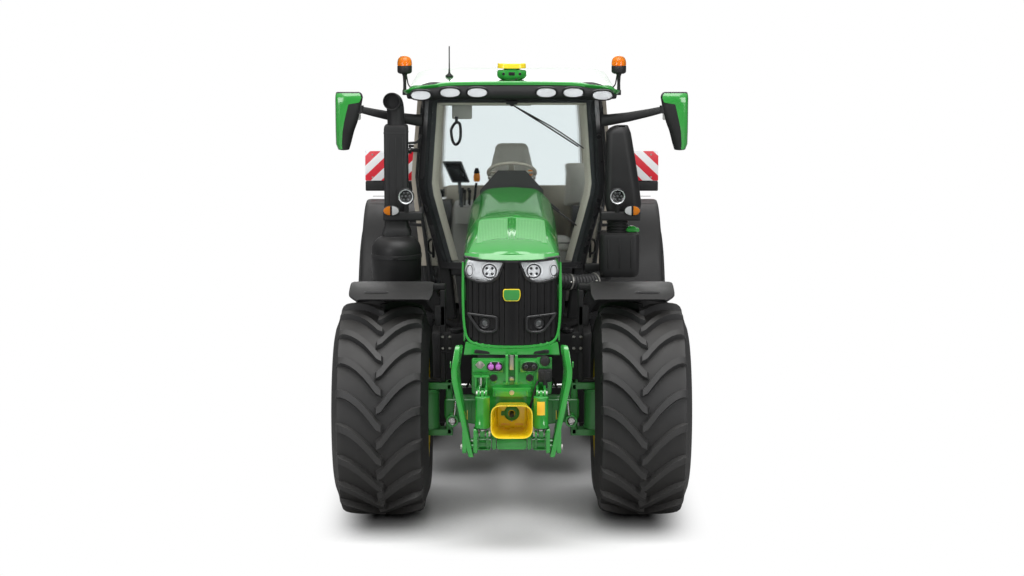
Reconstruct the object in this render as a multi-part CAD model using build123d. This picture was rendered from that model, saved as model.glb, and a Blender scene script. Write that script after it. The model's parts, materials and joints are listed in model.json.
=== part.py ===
"""Farm tractor: a four-wheel-drive row-crop machine with a glazed cab, a tilting hood, a folded front
linkage with a PTO shield, steered front wheels under swivelling mudguards and a rear three-point linkage.

Millimetres.  +Z is up and the tractor faces -Y, so +X is the driver's left-hand side.  While it is drawn,
y is measured from the front axle, and every piece is moved once at the end so that the origin lies on
the ground in the middle of the overall length.
"""
from build123d import *
import os
from math import acos, asin, cos, degrees, pi, radians, sin, sqrt, tan

os.makedirs("parts", exist_ok=True)

# ---------------------------------------------------------------- overall sizes
wheelbase = 2900
front_overhang = 1420        # front axle to the rim of the front PTO shield
rear_overhang = 1230         # rear axle to the balls of the rear lower links
front_axle_y = front_overhang - (front_overhang + wheelbase + rear_overhang) / 2
rear_y = wheelbase

gap = 5                      # running gap between pieces that move
seat = 0.3                   # gap between pieces that only rest on each other

# ---------------------------------------------------------------- wheels
front_radius, front_rim_radius = 780, 372
rear_radius, rear_rim_radius = 958, 545
lug_height = 46
rim_wall = 14


class Wheel:
    """Sizes of one kind of wheel: x is measured from the middle of the machine, half widths from the tyre's middle."""

    def __init__(self, y, radius, rim_radius, middle, half, tread, bead, lugs, lug_lead):
        self.y, self.radius, self.rim_radius = y, radius, rim_radius
        self.middle, self.half, self.tread, self.bead = middle, half, tread, bead
        self.lugs, self.lug_lead = lugs, lug_lead


front_wheel = Wheel(0, front_radius, front_rim_radius, middle=935, half=345, tread=312, bead=324, lugs=19, lug_lead=19)
rear_wheel = Wheel(rear_y, rear_radius, rear_rim_radius, middle=899, half=356, tread=342, bead=285, lugs=21, lug_lead=17.5)

# ---------------------------------------------------------------- front axle and steering
kingpin_x = 620
knuckle_radius = 92
ear_thickness = 44
kingpin_radius = 28
rod_radius = 17
fit = 0.05                   # radial clearance of a shaft in its bore
arm_length = 200             # kingpin to the track rod's eye, rearwards
track_rod_z = front_radius + 125
steer_limit = 35             # degrees each way

# ---------------------------------------------------------------- hood
hood_wall = 12
hood_rear_y = 1135
hood_pivot = (hood_rear_y - 25, 2240)    # y, z
# y, then half width and height of: lower edge, waist, shoulder, top edge, and height on the centre line
hood_sections = [
    # y,    x_low, z_low, x_waist, z_waist, x_shoulder, z_shoulder, x_top, z_top, z_crown
    (-985, 300, 1408, 312, 1925, 296, 1985, 262, 2030, 2046),
    (-830, 334, 1408, 344, 1960, 318, 2068, 268, 2104, 2116),
    (-350, 336, 1440, 345, 1950, 322, 2095, 250, 2198, 2214),
    (400, 340, 1640, 345, 1980, 312, 2120, 214, 2232, 2250),
    (hood_rear_y, 340, 1680, 345, 2010, 300, 2160, 200, 2262, 2278),
]

# ---------------------------------------------------------------- cab
# height, then x and y of the middle of the pillars: A beside the windscreen, B behind the door, C at the back
cab_levels = [
    # z,   x_a, y_a,  x_b, y_b,           x_c, y_c
    (1200, 470, 1330, 640, rear_y - 1050, 600, rear_y + 160),
    (1640, 520, 1345, 690, rear_y - 925, 640, rear_y + 160),
    (2250, 686, 1370, 762, rear_y - 850, 700, rear_y + 160),
    (2905, 640, 1390, 706, rear_y - 850, 650, rear_y + 140),
]
pillar_half = 45             # half the width and half the depth of a pillar
trumpet_radius = 190
cab_floor_z = rear_radius + trumpet_radius + 2
floor_thickness = 40
sill_height = 70
header_z = 2905              # underside of the ring that carries the roof
header_height = 40
windscreen_bow = 110         # how far the middle of the windscreen stands ahead of its corners
windscreen_foot_z = 1625
glass = 6
roof_top_z = 3070
door_bottom_z, door_top_z = cab_floor_z + 55, header_z - 8
door_hinge = (815, rear_y - 885)
wall = 12

# ================================================================ helpers
def box(x0, x1, y0, y1, z0, z1):
    """Block between two corners."""
    return Pos((x0 + x1) / 2, (y0 + y1) / 2, (z0 + z1) / 2) * Box(abs(x1 - x0), abs(y1 - y0), abs(z1 - z0))


def side_plate(points, x0, x1):
    """Outline of (y, z) points, extruded from x0 to x1."""
    return extrude(Plane.YZ.offset(x0) * make_face(Polyline(*points, close=True)), x1 - x0)


def front_plate(points, y0, y1):
    """Outline of (x, z) points, extruded from y0 back to y1."""
    flat = make_face(Polyline(*[(x, -z) for x, z in points], close=True))
    return extrude(Plane(origin=(0, y0, 0), x_dir=(1, 0, 0), z_dir=(0, 1, 0)) * flat, y1 - y0)


def level_plate(points, z0, z1):
    """Outline of (x, y) points, extruded from z0 up to z1."""
    return extrude(Plane.XY.offset(z0) * make_face(Polyline(*points, close=True)), z1 - z0)


def rod(a, b, radius):
    """Round bar from point a to point b."""
    a, b = Vector(*a), Vector(*b)
    return Plane(origin=a, z_dir=b - a) * Cylinder(radius, (b - a).length, align=(Align.CENTER, Align.CENTER, Align.MIN))


def drum(x0, x1, y, z, radius):
    """Round bar across the machine."""
    return rod((x0, y, z), (x1, y, z), radius)


def upright(x, y, z0, z1, radius):
    """Vertical round bar."""
    return rod((x, y, z0), (x, y, z1), radius)


def turned(points, y, z):
    """Outline of (x, radius) points, turned about the wheel axis at y, z."""
    flat = Plane(origin=(0, y, z), x_dir=(1, 0, 0), z_dir=(0, -1, 0)) * make_face(Polyline(*points, close=True))
    return revolve(flat, Axis((0, y, z), (1, 0, 0)))


def ruled(sections):
    """Solid ruled through wires that have the same number of corners."""
    return Solid.make_loft([Wire.make_polygon([Vector(*p) for p in s], close=True) for s in sections], True)


def other_side(shape):
    """The same piece on the right-hand side of the machine."""
    return mirror(shape, Plane.YZ)


def both(shape):
    return [shape, other_side(shape)]


nodes = {}


def keep(name, *shapes):
    """Files the solids of a node, moved to the machine's own origin."""
    solids = [s for shape in shapes for s in shape.solids()]
    nodes[name] = Compound(children=[s.moved(Location((0, front_axle_y, 0))) for s in solids])
    export_step(nodes[name], f"parts/{name}.step")


def fuse(first, *rest):
    for shape in rest:
        first = first + shape
    return first


# ================================================================ wheels
def wheel_ring(x, y, z, radius, corners):
    """Corners of a regular polygon about a wheel's axis."""
    turns = [2 * pi * i / corners for i in range(corners)]
    return [(x, y + radius * sin(turn), z + radius * cos(turn)) for turn in turns]


lug_rows = [
    # share of the tread's half width, share of the lead, drop of the top, half thickness
    (0.02, 1.00, 0, 34),
    (0.55, 0.26, 2, 28),
    (1.00, 0.00, 30, 32),
]


def lug(wheel, side, turn):
    """Bar from the middle of the tread to its shoulder; its inner end leads round the wheel."""
    sections = []
    for share, lead, drop, thickness in lug_rows:
        x = wheel.middle + side * share * wheel.tread
        angle, spread = radians(turn - lead * wheel.lug_lead), thickness / wheel.radius
        low, top = wheel.radius - lug_height - 32, wheel.radius - drop
        corners = [(-spread, low), (-spread, top), (spread, top), (spread, low)]
        sections.append([(x, wheel.y - r * cos(angle + a), wheel.radius + r * sin(angle + a)) for a, r in corners])
    return ruled(sections)


def tyre(wheel):
    """Ring with as many facets as lugs a side, and staggered lugs, of which the first stands on the ground."""
    rise = wheel.radius - wheel.rim_radius
    half_profile = [(wheel.bead, wheel.rim_radius + 16), (wheel.half, wheel.rim_radius + 0.45 * rise),
                    (wheel.tread, wheel.radius - lug_height - 16)]
    profile = [(-x, r) for x, r in half_profile] + [(x, r) for x, r in reversed(half_profile)]
    place = (wheel.y, wheel.radius)
    carcass = ruled([wheel_ring(wheel.middle + x, *place, r, wheel.lugs) for x, r in profile])
    bore_radius = wheel.rim_radius / cos(pi / wheel.lugs)
    carcass = carcass - ruled([wheel_ring(wheel.middle + x, *place, bore_radius, wheel.lugs) for x in (-wheel.half, wheel.half)])
    step, first = 360 / wheel.lugs, wheel.lug_lead - degrees(lug_rows[0][3] / wheel.radius) - 90
    turns = [(side, first + shift + i * step) for side, shift in ((1, 0), (-1, step / 2)) for i in range(wheel.lugs)]
    bars = [lug(wheel, side, turn) for side, turn in turns]
    return carcass.fuse(*bars)


def rim(wheel, flange_x, bolt_radius):
    """Barrel inside the beads and a dished disc that bolts to the hub at flange_x."""
    middle, half = wheel.middle, wheel.bead
    seat_radius = wheel.rim_radius - seat
    barrel = turned([
        (middle - half, seat_radius), (middle - half, seat_radius - rim_wall - 6),
        (middle - half * 0.5, seat_radius - 40), (middle + half * 0.5, seat_radius - 40),
        (middle + half, seat_radius - rim_wall - 6), (middle + half, seat_radius),
        (middle + half * 0.55, seat_radius - 16), (middle - half * 0.55, seat_radius - 16),
    ], wheel.y, wheel.radius)
    disc_x = middle + 75
    disc = turned([
        (flange_x, 50), (flange_x, bolt_radius + 34), (disc_x, seat_radius - 30),
        (disc_x + 20, seat_radius - 30), (flange_x + 16, bolt_radius + 40), (flange_x + 16, 50),
    ], wheel.y, wheel.radius)
    return barrel + disc


front_flange_x = kingpin_x + 190
rear_flange_x = 905
front_hub_radius = 150
spindle_radius = 62


def front_hub():
    """Planetary hub on the knuckle's spindle, turning with the wheel, with the rim's disc bolted to its face."""
    spindle = front_flange_x - 45
    return turned([
        (spindle, spindle_radius), (spindle, front_hub_radius), (front_flange_x + 2, front_hub_radius),
        (front_flange_x + 2, 58), (front_flange_x + 95, 58), (front_flange_x + 95, 0), (spindle + 14, 0), (spindle + 14, spindle_radius),
    ], 0, front_radius)


front_tyre = tyre(front_wheel)
front_rim = rim(front_wheel, front_flange_x, 115) + front_hub()
rear_tyre = tyre(rear_wheel)
rear_rim = rim(rear_wheel, rear_flange_x, 150)
rear_rim = rear_rim + turned([(rear_flange_x - 30, spindle_radius), (rear_flange_x - 30, 160), (rear_flange_x + 2, 160),
                              (rear_flange_x + 2, 130), (rear_flange_x + 60, 90), (rear_flange_x + 60, 0),
                              (rear_flange_x - 8, 0), (rear_flange_x - 8, spindle_radius)], rear_y, rear_radius)
for name, shape in (("front_tyre", front_tyre), ("front_rim", front_rim), ("rear_tyre", rear_tyre), ("rear_rim", rear_rim)):
    keep(name + "_left", shape)
    keep(name + "_right", other_side(shape))

# ================================================================ front axle, knuckles and steering
beam_top, beam_bottom = front_radius + 82, front_radius - 98
ear_top_z, ear_bottom_z = front_radius + 150, front_radius - 150
barrel_top, barrel_bottom = ear_top_z - gap, ear_bottom_z + gap


def front_axle():
    """Beam with a forked end round each knuckle, the trunnion under the frame and the steering cylinder."""
    beam = front_plate([(-490, beam_bottom + 20), (-190, beam_bottom - 20), (190, beam_bottom - 20), (490, beam_bottom + 20),
                        (490, beam_top), (-490, beam_top)], -95, 95)
    for side in (1, -1):
        for z0 in (ear_top_z, ear_bottom_z - ear_thickness):
            ear = box(side * 430, side * kingpin_x, -68, 68, z0, z0 + ear_thickness)
            ear = ear + upright(side * kingpin_x, 0, z0, z0 + ear_thickness, 68)
            beam = beam + ear
        beam = beam + box(side * 430, side * 480, -68, 68, ear_bottom_z - ear_thickness, ear_top_z + ear_thickness)
        beam = beam + upright(side * kingpin_x, 0, ear_bottom_z - 10, ear_top_z + ear_thickness + 26, kingpin_radius)
    cylinder = drum(-210, 210, arm_length, track_rod_z, 38) - drum(-220, 220, arm_length, track_rod_z, rod_radius + fit)
    bracket = box(-60, 60, 90, arm_length + 20, beam_top - 22, beam_top - 1)
    bracket = bracket + box(-60, 60, arm_length - 30, arm_length + 20, beam_top - 2, track_rod_z - 30)
    return fuse(beam, cylinder, bracket)


arm_ball_x = kingpin_x - 20
eye_half = 12


def track_rod():
    """Double-ended piston rod through the steering cylinder, with an eye over each knuckle's arm."""
    shaft = drum(-arm_ball_x, arm_ball_x, arm_length, track_rod_z, rod_radius)
    for side in (1, -1):
        shaft = shaft + upright(side * arm_ball_x, arm_length, track_rod_z - eye_half, track_rod_z + eye_half, 32)
    return shaft


def knuckle():
    """Barrel between the axle's ears, the spindle housing that carries the hub, and the arm for the track rod."""
    barrel = upright(kingpin_x, 0, barrel_bottom, barrel_top, knuckle_radius)
    housing = turned([(kingpin_x, 0), (kingpin_x, 120), (kingpin_x + 70, 138), (front_flange_x - 50, 138),
                      (front_flange_x - 50, 0)], 0, front_radius)
    spindle = drum(front_flange_x - 60, front_flange_x - 36, 0, front_radius, spindle_radius - fit)
    arm_z = track_rod_z - eye_half - gap - 26
    arm = level_plate([(kingpin_x - 45, 60), (kingpin_x + 45, 60), (arm_ball_x + 28, arm_length), (arm_ball_x - 28, arm_length)],
                      arm_z, arm_z + 26)
    arm = arm + upright(arm_ball_x, arm_length, arm_z, arm_z + 26, 28)
    body = fuse(barrel, housing, spindle, arm)
    return body - upright(kingpin_x, 0, 0, 2000, kingpin_radius + fit)


keep("front_axle", front_axle())
keep("track_rod", track_rod())
left_knuckle = knuckle()
keep("knuckle_left", left_knuckle)
keep("knuckle_right", other_side(left_knuckle))

# ---------------------------------------------------------------- swivelling front mudguards
guard_inner_radius, guard_wall = front_radius + 132, 10
guard_x0, guard_x1 = 568, 1168
guard_front, guard_rear = 22, 49      # degrees ahead of and behind the top
post_x = 500


def ring_sector(x0, x1, y, z, r0, r1, front, rear):
    """Curved sheet over a wheel, from front degrees ahead of the top to rear degrees behind it."""
    sheet = drum(x0, x1, y, z, r1) - drum(x0 - 1, x1 + 1, y, z, r0)
    reach = 3 * r1
    wedge = [(y, z), (y - reach * sin(radians(front)), z + reach * cos(radians(front))),
             (y, z + 3 * reach), (y + reach * sin(radians(rear)), z + reach * cos(radians(rear)))]
    return sheet & side_plate(wedge, x0 - 2, x1 + 2)


def front_guard():
    shell = ring_sector(guard_x0, guard_x1, 0, front_radius, guard_inner_radius, guard_inner_radius + guard_wall,
                        guard_front, guard_rear)
    foot_z = ear_top_z + ear_thickness + gap
    foot = upright(kingpin_x, 0, foot_z, foot_z + 16, 60)
    foot = foot + box(post_x - 20, kingpin_x, -45, 45, foot_z, foot_z + 16)
    foot = foot - upright(kingpin_x, 0, foot_z - 1, foot_z + 17, kingpin_radius + fit)
    top_z = front_radius + guard_inner_radius
    post = box(post_x - 20, post_x + 20, -45, 45, foot_z, top_z - 38)
    carrier = box(post_x - 20, guard_x1 - 120, -30, 30, top_z - 40, top_z + 4)
    return fuse(shell, foot, post, carrier)


left_guard = front_guard()
keep("front_mudguard_left", left_guard)
keep("front_mudguard_right", other_side(left_guard))

# ================================================================ frame and driveline
rail_x0, rail_x1 = 150, 182
rail_z0, rail_z1 = track_rod_z + 55, cab_floor_z - 10
frame_rear_y = 1330


def front_frame():
    """Two rails from the nose to the clutch housing, with the bolster over the axle."""
    bolster = box(-rail_x0, rail_x0, -130, 130, beam_top + seat, rail_z1)
    nose = box(-rail_x0, rail_x0, -1000, -880, rail_z0, rail_z1)
    clutch = box(-rail_x0, rail_x0, 1180, frame_rear_y, rail_z0, rail_z1)
    frame = fuse(bolster, nose, clutch)
    for side in (1, -1):
        frame = frame + box(side * rail_x0, side * rail_x1, -1000, frame_rear_y, rail_z0, rail_z1)
    return frame


def engine():
    """Engine and radiator as one plain mass, narrow between the rails, with the hood's hinge posts behind."""
    x, z = rail_x0 - seat, rail_z1 + 60
    block = box(-240, 240, -560, 1080, z, 1860)
    for y0, y1 in ((-560, -260), (260, 1080)):
        block = block + box(-x, x, y0, y1, rail_z0 - 220, z + 1)
    hinge_y, hinge_z = hood_pivot
    for side in (1, -1):
        post_shape = [(1030, 1850), (1078, 1850), (hinge_y + 12, hinge_z), (hinge_y - 12, hinge_z)]
        block = block + side_plate(post_shape, side * 110, side * 130)
        block = block + drum(side * 110, side * 130, hinge_y, hinge_z, 13)
    return block + drum(-130, 130, hinge_y, hinge_z, hinge_pin_radius)


hinge_pin_radius = 8
keep("front_frame", front_frame())
keep("engine", engine())


case_top_z, case_rear_y = rear_radius + 152, rear_y + 360


def driveline():
    """Gearbox case from the clutch housing to the back axle, with an axle trumpet to each rear hub."""
    gearbox = box(-170, 170, frame_rear_y + seat, rear_y - 400, rear_radius - 238, case_top_z)
    case = gearbox + box(-230, 230, rear_y - 400, case_rear_y, rear_radius - 318, case_top_z)
    for side in (1, -1):
        trumpet = turned([(side * 200, 0), (side * 200, trumpet_radius), (side * 480, 120), (side * 820, 110), (side * 820, 165),
                          (side * (rear_flange_x - 30 - gap), 165), (side * (rear_flange_x - 30 - gap), 0)], rear_y, rear_radius)
        stub = drum(side * 860, side * (rear_flange_x - 8 - gap), rear_y, rear_radius, spindle_radius - fit)
        case = case + trumpet + stub
        for y in (frame_rear_y + 120, rear_y - 200):
            case = case + upright(side * 130, y, case_top_z - 10, cab_floor_z - seat, 40)
    return case


keep("driveline", driveline())

# ================================================================ hood, grille and lamps
def hood_row(y):
    """The hood's section at place y, between the rows of the table."""
    low, high = hood_sections[0], hood_sections[1]
    for low, high in zip(hood_sections, hood_sections[1:]):
        if y <= high[0]:
            break
    t = (y - low[0]) / (high[0] - low[0])
    return [a + (b - a) * t for a, b in zip(low, high)]


def hood_outline(y, inset, drop=0):
    """Corners of the section at y, moved inwards; drop lowers the two lower corners."""
    _, xl, zl, xw, zw, xs, zs, xt, zt, zc = hood_row(y)
    i = inset
    right = [(xl - i, zl - drop), (xw - i, zw), (xs - i * 0.9, zs - i * 0.4), (xt - i * 0.5, zt - i), (0, zc - i)]
    left = [(-x, z) for x, z in reversed(right[:-1])]
    return [(x, y, z) for x, z in right + left]


nose_y = hood_sections[0][0]
nose_radius = 878            # the nose is an arc in plan
nose_depth = 110             # how far back the pieces of the nose are drawn before they are cut to the arc
chin_z0, chin_z1 = 1369, 1425
brow_z = 1985


def nose_face(depth):
    """Round body whose front is the nose's arc, set back by depth."""
    return upright(0, nose_y + depth + nose_radius, 1200, 2400, nose_radius)


def nose_layer(shape, front, back):
    """What of the shape lies between two arcs in the nose."""
    return (shape & nose_face(front)) - nose_face(back)


def hood():
    """Sheet-metal shell, open below and at the front, where the grille stands."""
    places = [row[0] for row in hood_sections]
    outer = ruled([hood_outline(y, 0) for y in places])
    inner = ruled([hood_outline(y, hood_wall, 1) for y in [nose_y - 1] + places[1:-1] + [hood_rear_y + 1]])
    shell = outer - inner
    shell = shell - (box(-400, 400, nose_y - 20, nose_y + nose_depth, 1200, 2400) - nose_face(-15))
    brow = ruled([hood_outline(nose_y - 15, 0), hood_outline(nose_y + nose_depth, 0)])
    brow = nose_layer(brow & box(-400, 400, nose_y - 20, nose_y + nose_depth, brow_z, 2200), -15, 5)
    chin = ruled([[(-x, y, chin_z0), (x, y, chin_z0), (x, y, chin_z1), (-x, y, chin_z1)]
                  for x, y in ((296, nose_y - 15), (318, nose_y + nose_depth))]) & nose_face(-15)
    body = fuse(shell, brow, chin)
    hinge_y, hinge_z = hood_pivot
    for side in (1, -1):
        lug = box(side * 92, side * 104, hinge_y - 14, hinge_y + 14, hinge_z - 15, hinge_z + 25)
        body = body + lug
    return body - drum(-200, 200, hinge_y, hinge_z, hinge_pin_radius + fit)


keep("hood", hood())
grille_depth, grille_thickness, rib_height = 10, 25, 16
rib_rows = [
    # x from, x to, upper end
    (-47, 47, brow_z - 6),
    (56, 84, 1850),
    (92, 128, 1850),
    (136, 176, 1850),
    (184, 224, 1850),
    (232, 276, 1850),
]


def grille():
    """Ribbed panel just inside the hood's nose."""
    clearance = hood_wall + seat
    panel = ruled([hood_outline(nose_y, clearance), hood_outline(nose_y + nose_depth, clearance)])
    panel = panel & box(-400, 400, nose_y, nose_y + nose_depth, chin_z1 + seat, brow_z + 30)
    panel = nose_layer(panel, grille_depth, grille_depth + grille_thickness)
    for x0, x1, top in rib_rows:
        bar = box(x0, x1, nose_y - 20, nose_y + nose_depth, chin_z1 + gap, top)
        bar = nose_layer(bar, grille_depth - rib_height, grille_depth + 2)
        panel = panel + bar + other_side(bar) if x0 > 0 else panel + bar
    return panel


keep("grille", grille())


def headlamp():
    """Six-sided lamp on the face of the grille, following the nose's arc."""
    outline = [(60, 1978), (286, 1978), (290, 1885), (240, 1862), (130, 1862), (95, 1890)]
    return nose_layer(front_plate(outline, nose_y - 30, nose_y + nose_depth), grille_depth - 28, grille_depth - seat)


keep("headlamps", *both(headlamp()))

# ================================================================ front linkage
hitch_pivot = (-1010, 735)        # y, z of the lift shaft
plate_y = -1040


lift_shaft_radius = 30
cylinder_x, cylinder_y = 200, plate_y - 155
cylinder_top_z, rod_eye_z = 1119, 836
cylinder_pin_radius = 12


def linkage_frame():
    """Plate and cheeks bolted to the nose of the frame, with the lift shaft's eyes below and the cylinder lugs above."""
    y1 = -1000 - seat
    plate = box(-275, 275, plate_y, y1, 1080, 1330)
    frame = plate + box(-150, 150, plate_y, y1, 770, 1081)
    frame = frame + box(-150, 150, plate_y - 60, plate_y, 1085, 1110)
    for side in (1, -1):
        cheek = side_plate([(plate_y, 900), (plate_y, 822), (-1060, 780), (-1060, 690), (-960, 690), (-960, 800), (y1, 900)],
                           side * 108, side * 136)
        frame = frame + cheek
        for x in (cylinder_x - 25, cylinder_x + 25):
            lug = side_plate([(plate_y, 1330), (plate_y, 1090), (cylinder_y - 20, 1100), (cylinder_y - 20, 1140)],
                             side * (x - 8), side * (x + 8))
            frame = frame + lug
        frame = frame + drum(side * (cylinder_x - 30), side * (cylinder_x + 30), cylinder_y, cylinder_top_z, cylinder_pin_radius)
    shaft_hole = drum(-400, 400, hitch_pivot[0], hitch_pivot[1], lift_shaft_radius + fit)
    shaft_bore = rod((0, plate_y - 1, pto_z), (0, -1010, pto_z), journal_radius + fit)
    return frame - shaft_hole - shaft_bore


def lift_rocker():
    """Lift shaft with forked cranks for the cylinders and an arm outside each folded link."""
    y, z = hitch_pivot
    rocker = drum(-363, 363, y, z, lift_shaft_radius)
    crank_outline = [(y - 45, z - 40), (y + 40, z - 40), (y + 40, z + 40), (y - 60, z + 60), (cylinder_y + 10, rod_eye_z + 24),
                     (cylinder_y - 26, rod_eye_z + 10), (cylinder_y - 20, rod_eye_z - 24)]
    arm_outline = [(link_y - 50, z - 45), (y + 45, z - 45), (y + 45, z + 60), (y - 60, z + 118), (link_y - 50, z + 118)]
    for side in (1, -1):
        for x in (cylinder_x - 34, cylinder_x + 34):
            rocker = rocker + side_plate(crank_outline, side * (x - 8), side * (x + 8))
        rocker = rocker + side_plate(arm_outline, side * 343, side * 363)
        rocker = rocker + drum(side * 290, side * 350, link_y, link_z, link_pin_radius)
    return rocker


link_y, link_z, link_pin_radius = -1180, 745, 16


def front_link():
    """Lower link folded up for the road: a slanting bar whose hook end stands at the top."""
    low = [(258, link_y - 50, 700), (294, link_y - 50, 700), (294, link_y + 50, 700), (258, link_y + 50, 700)]
    bend = [(366, -1205, 1200), (428, -1205, 1200), (428, -1085, 1200), (366, -1085, 1200)]
    shoulder = [(356, -1215, 1380), (416, -1215, 1380), (416, -1095, 1380), (356, -1095, 1380)]
    tip = [(362, -1185, 1420), (400, -1185, 1420), (400, -1125, 1420), (362, -1125, 1420)]
    link = ruled([low, bend]) + ruled([bend, shoulder, tip])
    return link - drum(0, 400, link_y, link_z, link_pin_radius + fit)


def lift_barrel():
    """Cylinder barrel hung from the lugs of the linkage frame."""
    barrel = upright(cylinder_x, cylinder_y, 880, 1096, 52) - upright(cylinder_x, cylinder_y, 870, 1080, 22 + fit)
    eye = box(cylinder_x - 11, cylinder_x + 11, cylinder_y - 22, cylinder_y + 22, 1090, cylinder_top_z + 20)
    return (barrel + eye) - drum(0, 300, cylinder_y, cylinder_top_z, cylinder_pin_radius + fit)


def lift_piston():
    """Piston rod with a flat eye between the plates of the crank."""
    shaft = upright(cylinder_x, cylinder_y, 862, 1074, 22)
    return shaft + drum(cylinder_x - 16, cylinder_x + 16, cylinder_y, rod_eye_z, 28)


pto_z, pto_radius, pto_length, journal_radius = 953, 17.45, 95, 24


def stub_shaft(y_inner, y_step, y_end, z):
    """Drive shaft along y: a journal in its casing, then the free stub that takes a drive shaft's yoke."""
    return rod((0, y_inner, z), (0, y_step, z), journal_radius) + rod((0, y_step, z), (0, y_end, z), pto_radius)


keep("front_linkage_frame", linkage_frame())
keep("front_lift_rocker", lift_rocker())
keep("front_links", *both(front_link()))
keep("front_lift_barrels", *both(lift_barrel()))
keep("front_lift_rods", *both(lift_piston()))


def pto_shield():
    """Open-fronted rounded hood round the stub shaft."""
    y0, y1 = -front_overhang, plate_y - seat
    x, z0, z1, r = 142, 828, 1078, 60
    back = Plane(origin=(0, y1, (z0 + z1) / 2), x_dir=(1, 0, 0), z_dir=(0, -1, 0))
    outer = loft([back * RectangleRounded(2 * x - 40, z1 - z0 - 36, r - 20),
                  back.offset(y1 - y0) * RectangleRounded(2 * x, z1 - z0, r)])
    inner = loft([back.offset(8) * RectangleRounded(2 * x - 54, z1 - z0 - 50, r - 27),
                  back.offset(y1 - y0 + 1) * RectangleRounded(2 * x - 14, z1 - z0 - 14, r - 7)])
    bore = rod((0, y1 + 5, pto_z), (0, y0, pto_z), 48)
    return outer - inner - bore


keep("front_pto_shield", pto_shield())
keep("front_pto_shaft", stub_shaft(-1015, plate_y - 10, plate_y - 10 - pto_length, pto_z))

# ================================================================ cab
def cab_row(z):
    """The pillars' places at height z, between the rows of the table."""
    low, high = cab_levels[0], cab_levels[1]
    for low, high in zip(cab_levels, cab_levels[1:]):
        if z <= high[0]:
            break
    t = (z - low[0]) / (high[0] - low[0])
    return [a + (b - a) * t for a, b in zip(low, high)]


def cab_x(z, y):
    """Half width of the cab's side at height z and place y."""
    _, xa, ya, xb, yb, xc, yc = cab_row(z)
    if y <= yb:
        return xa + (xb - xa) * (y - ya) / (yb - ya)
    return xb + (xc - xb) * (y - yb) / (yc - yb)


def post(letter, offset):
    """Function of height that gives the y of pillar A, B or C, moved by offset."""
    column = {"A": 2, "B": 4, "C": 6}[letter]
    return lambda z: cab_row(z)[column] + offset


def side_panel(z0, z1, front, rear, inner, outer):
    """Panel in the cab's side between two curves of y against height, from inner to outer offset of its x."""
    heights = [z0] + [row[0] for row in cab_levels if z0 < row[0] < z1] + [z1]
    sections = []
    for z in heights:
        y0, y1 = front(z), rear(z)
        sections.append([(cab_x(z, y0) + outer, y0, z), (cab_x(z, y1) + outer, y1, z),
                         (cab_x(z, y1) + inner, y1, z), (cab_x(z, y0) + inner, y0, z)])
    return ruled(sections)


def pillar(letter, z0):
    return side_panel(z0, header_z, post(letter, -pillar_half), post(letter, pillar_half), -pillar_half, pillar_half)


fender_inner_radius = rear_radius + 48
fender_outer_radius = fender_inner_radius + wall
fender_x0, fender_x1 = 500, 1220
fender_front, fender_rear = 64, 58
sill_z = rear_radius + fender_outer_radius + seat      # underside of the side windows' sill


door_hinge_heights = (1900, 2500)
door_pin_radius = 8
rear_hinge = (rear_y + 225, header_z + 21)       # y, z
rear_pin_radius = 6


def cab_frame():
    """Pillars and sills joined by the header ring."""
    z1 = header_z + header_height
    row = cab_row(header_z)
    xa, ya, xb, yb, xc, yc = row[1:]
    h = pillar_half
    outer = [(xa + h, ya - h), (xb + h, yb), (xc + h, yc + h), (-xc - h, yc + h), (-xb - h, yb), (-xa - h, ya - h)]
    inner = [(xa - h, ya + h), (xb - h, yb), (xc - h, yc - h), (-xc + h, yc - h), (-xb + h, yb), (-xa + h, ya + h)]
    frame = level_plate(outer, header_z, z1) - level_plate(inner, header_z - 1, z1 + 1)
    frame = frame + box(-xc, xc, yc - h, yc + h, sill_z, sill_z + sill_height)
    for side in (1, -1):
        parts = [pillar("A", cab_floor_z + floor_thickness), pillar("B", cab_floor_z + floor_thickness),
                 pillar("C", sill_z), side_panel(sill_z, sill_z + sill_height, post("B", 0), post("C", 0), -h, h)]
        for part in parts:
            frame = frame + (part if side == 1 else other_side(part))
        for z in door_hinge_heights:
            x, y = door_hinge
            lug = box(cab_x(z, y) + 10, x + 13, y - 12, y + 14, z, z + 20) + upright(x, y, z - 30, z + 5, door_pin_radius)
            frame = frame + (lug if side == 1 else other_side(lug))
        y, z = rear_hinge
        lug = box(side * 440, side * 460, y - 60, y + 7, z - 5, z + 10)
        frame = frame + lug + drum(side * 420, side * 460, y, z, rear_pin_radius)
    foot = box(-470, 470, 1285, 1375, windscreen_foot_z - 60, windscreen_foot_z + 15)
    return frame + foot


def cab_shell():
    """Floor, firewall, back wall and the side walls that stand on the fenders."""
    z0, z1 = cab_floor_z, cab_floor_z + floor_thickness - seat
    x, y_b, y_c = fender_x0 - seat, rear_y - 1005, rear_y + 160
    floor = level_plate([(425, 1285), (685, y_b), (x, y_b), (x, y_c), (-x, y_c), (-x, y_b), (-685, y_b), (-425, 1285)], z0, z1)
    firewall = front_plate([(-390, z0), (390, z0), (438, windscreen_foot_z - 60 - seat), (-438, windscreen_foot_z - 60 - seat)],
                           1290, 1330)
    back = box(-x, x, y_c - 30, y_c, z0, sill_z - seat)
    return fuse(floor, firewall, back)


def quarter_wall():
    """Wall between the B pillar, the window sill and the top of the fender."""
    sheet = side_panel(cab_floor_z + floor_thickness, sill_z - seat, post("B", pillar_half + seat), post("C", pillar_half), -10, 10)
    wheel_house = drum(0, 2000, rear_y, rear_radius, fender_outer_radius + seat)
    sheet = sheet - wheel_house
    return sheet & box(0, 2000, 0, rear_y + 400, rear_radius + 200, sill_z)


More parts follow.
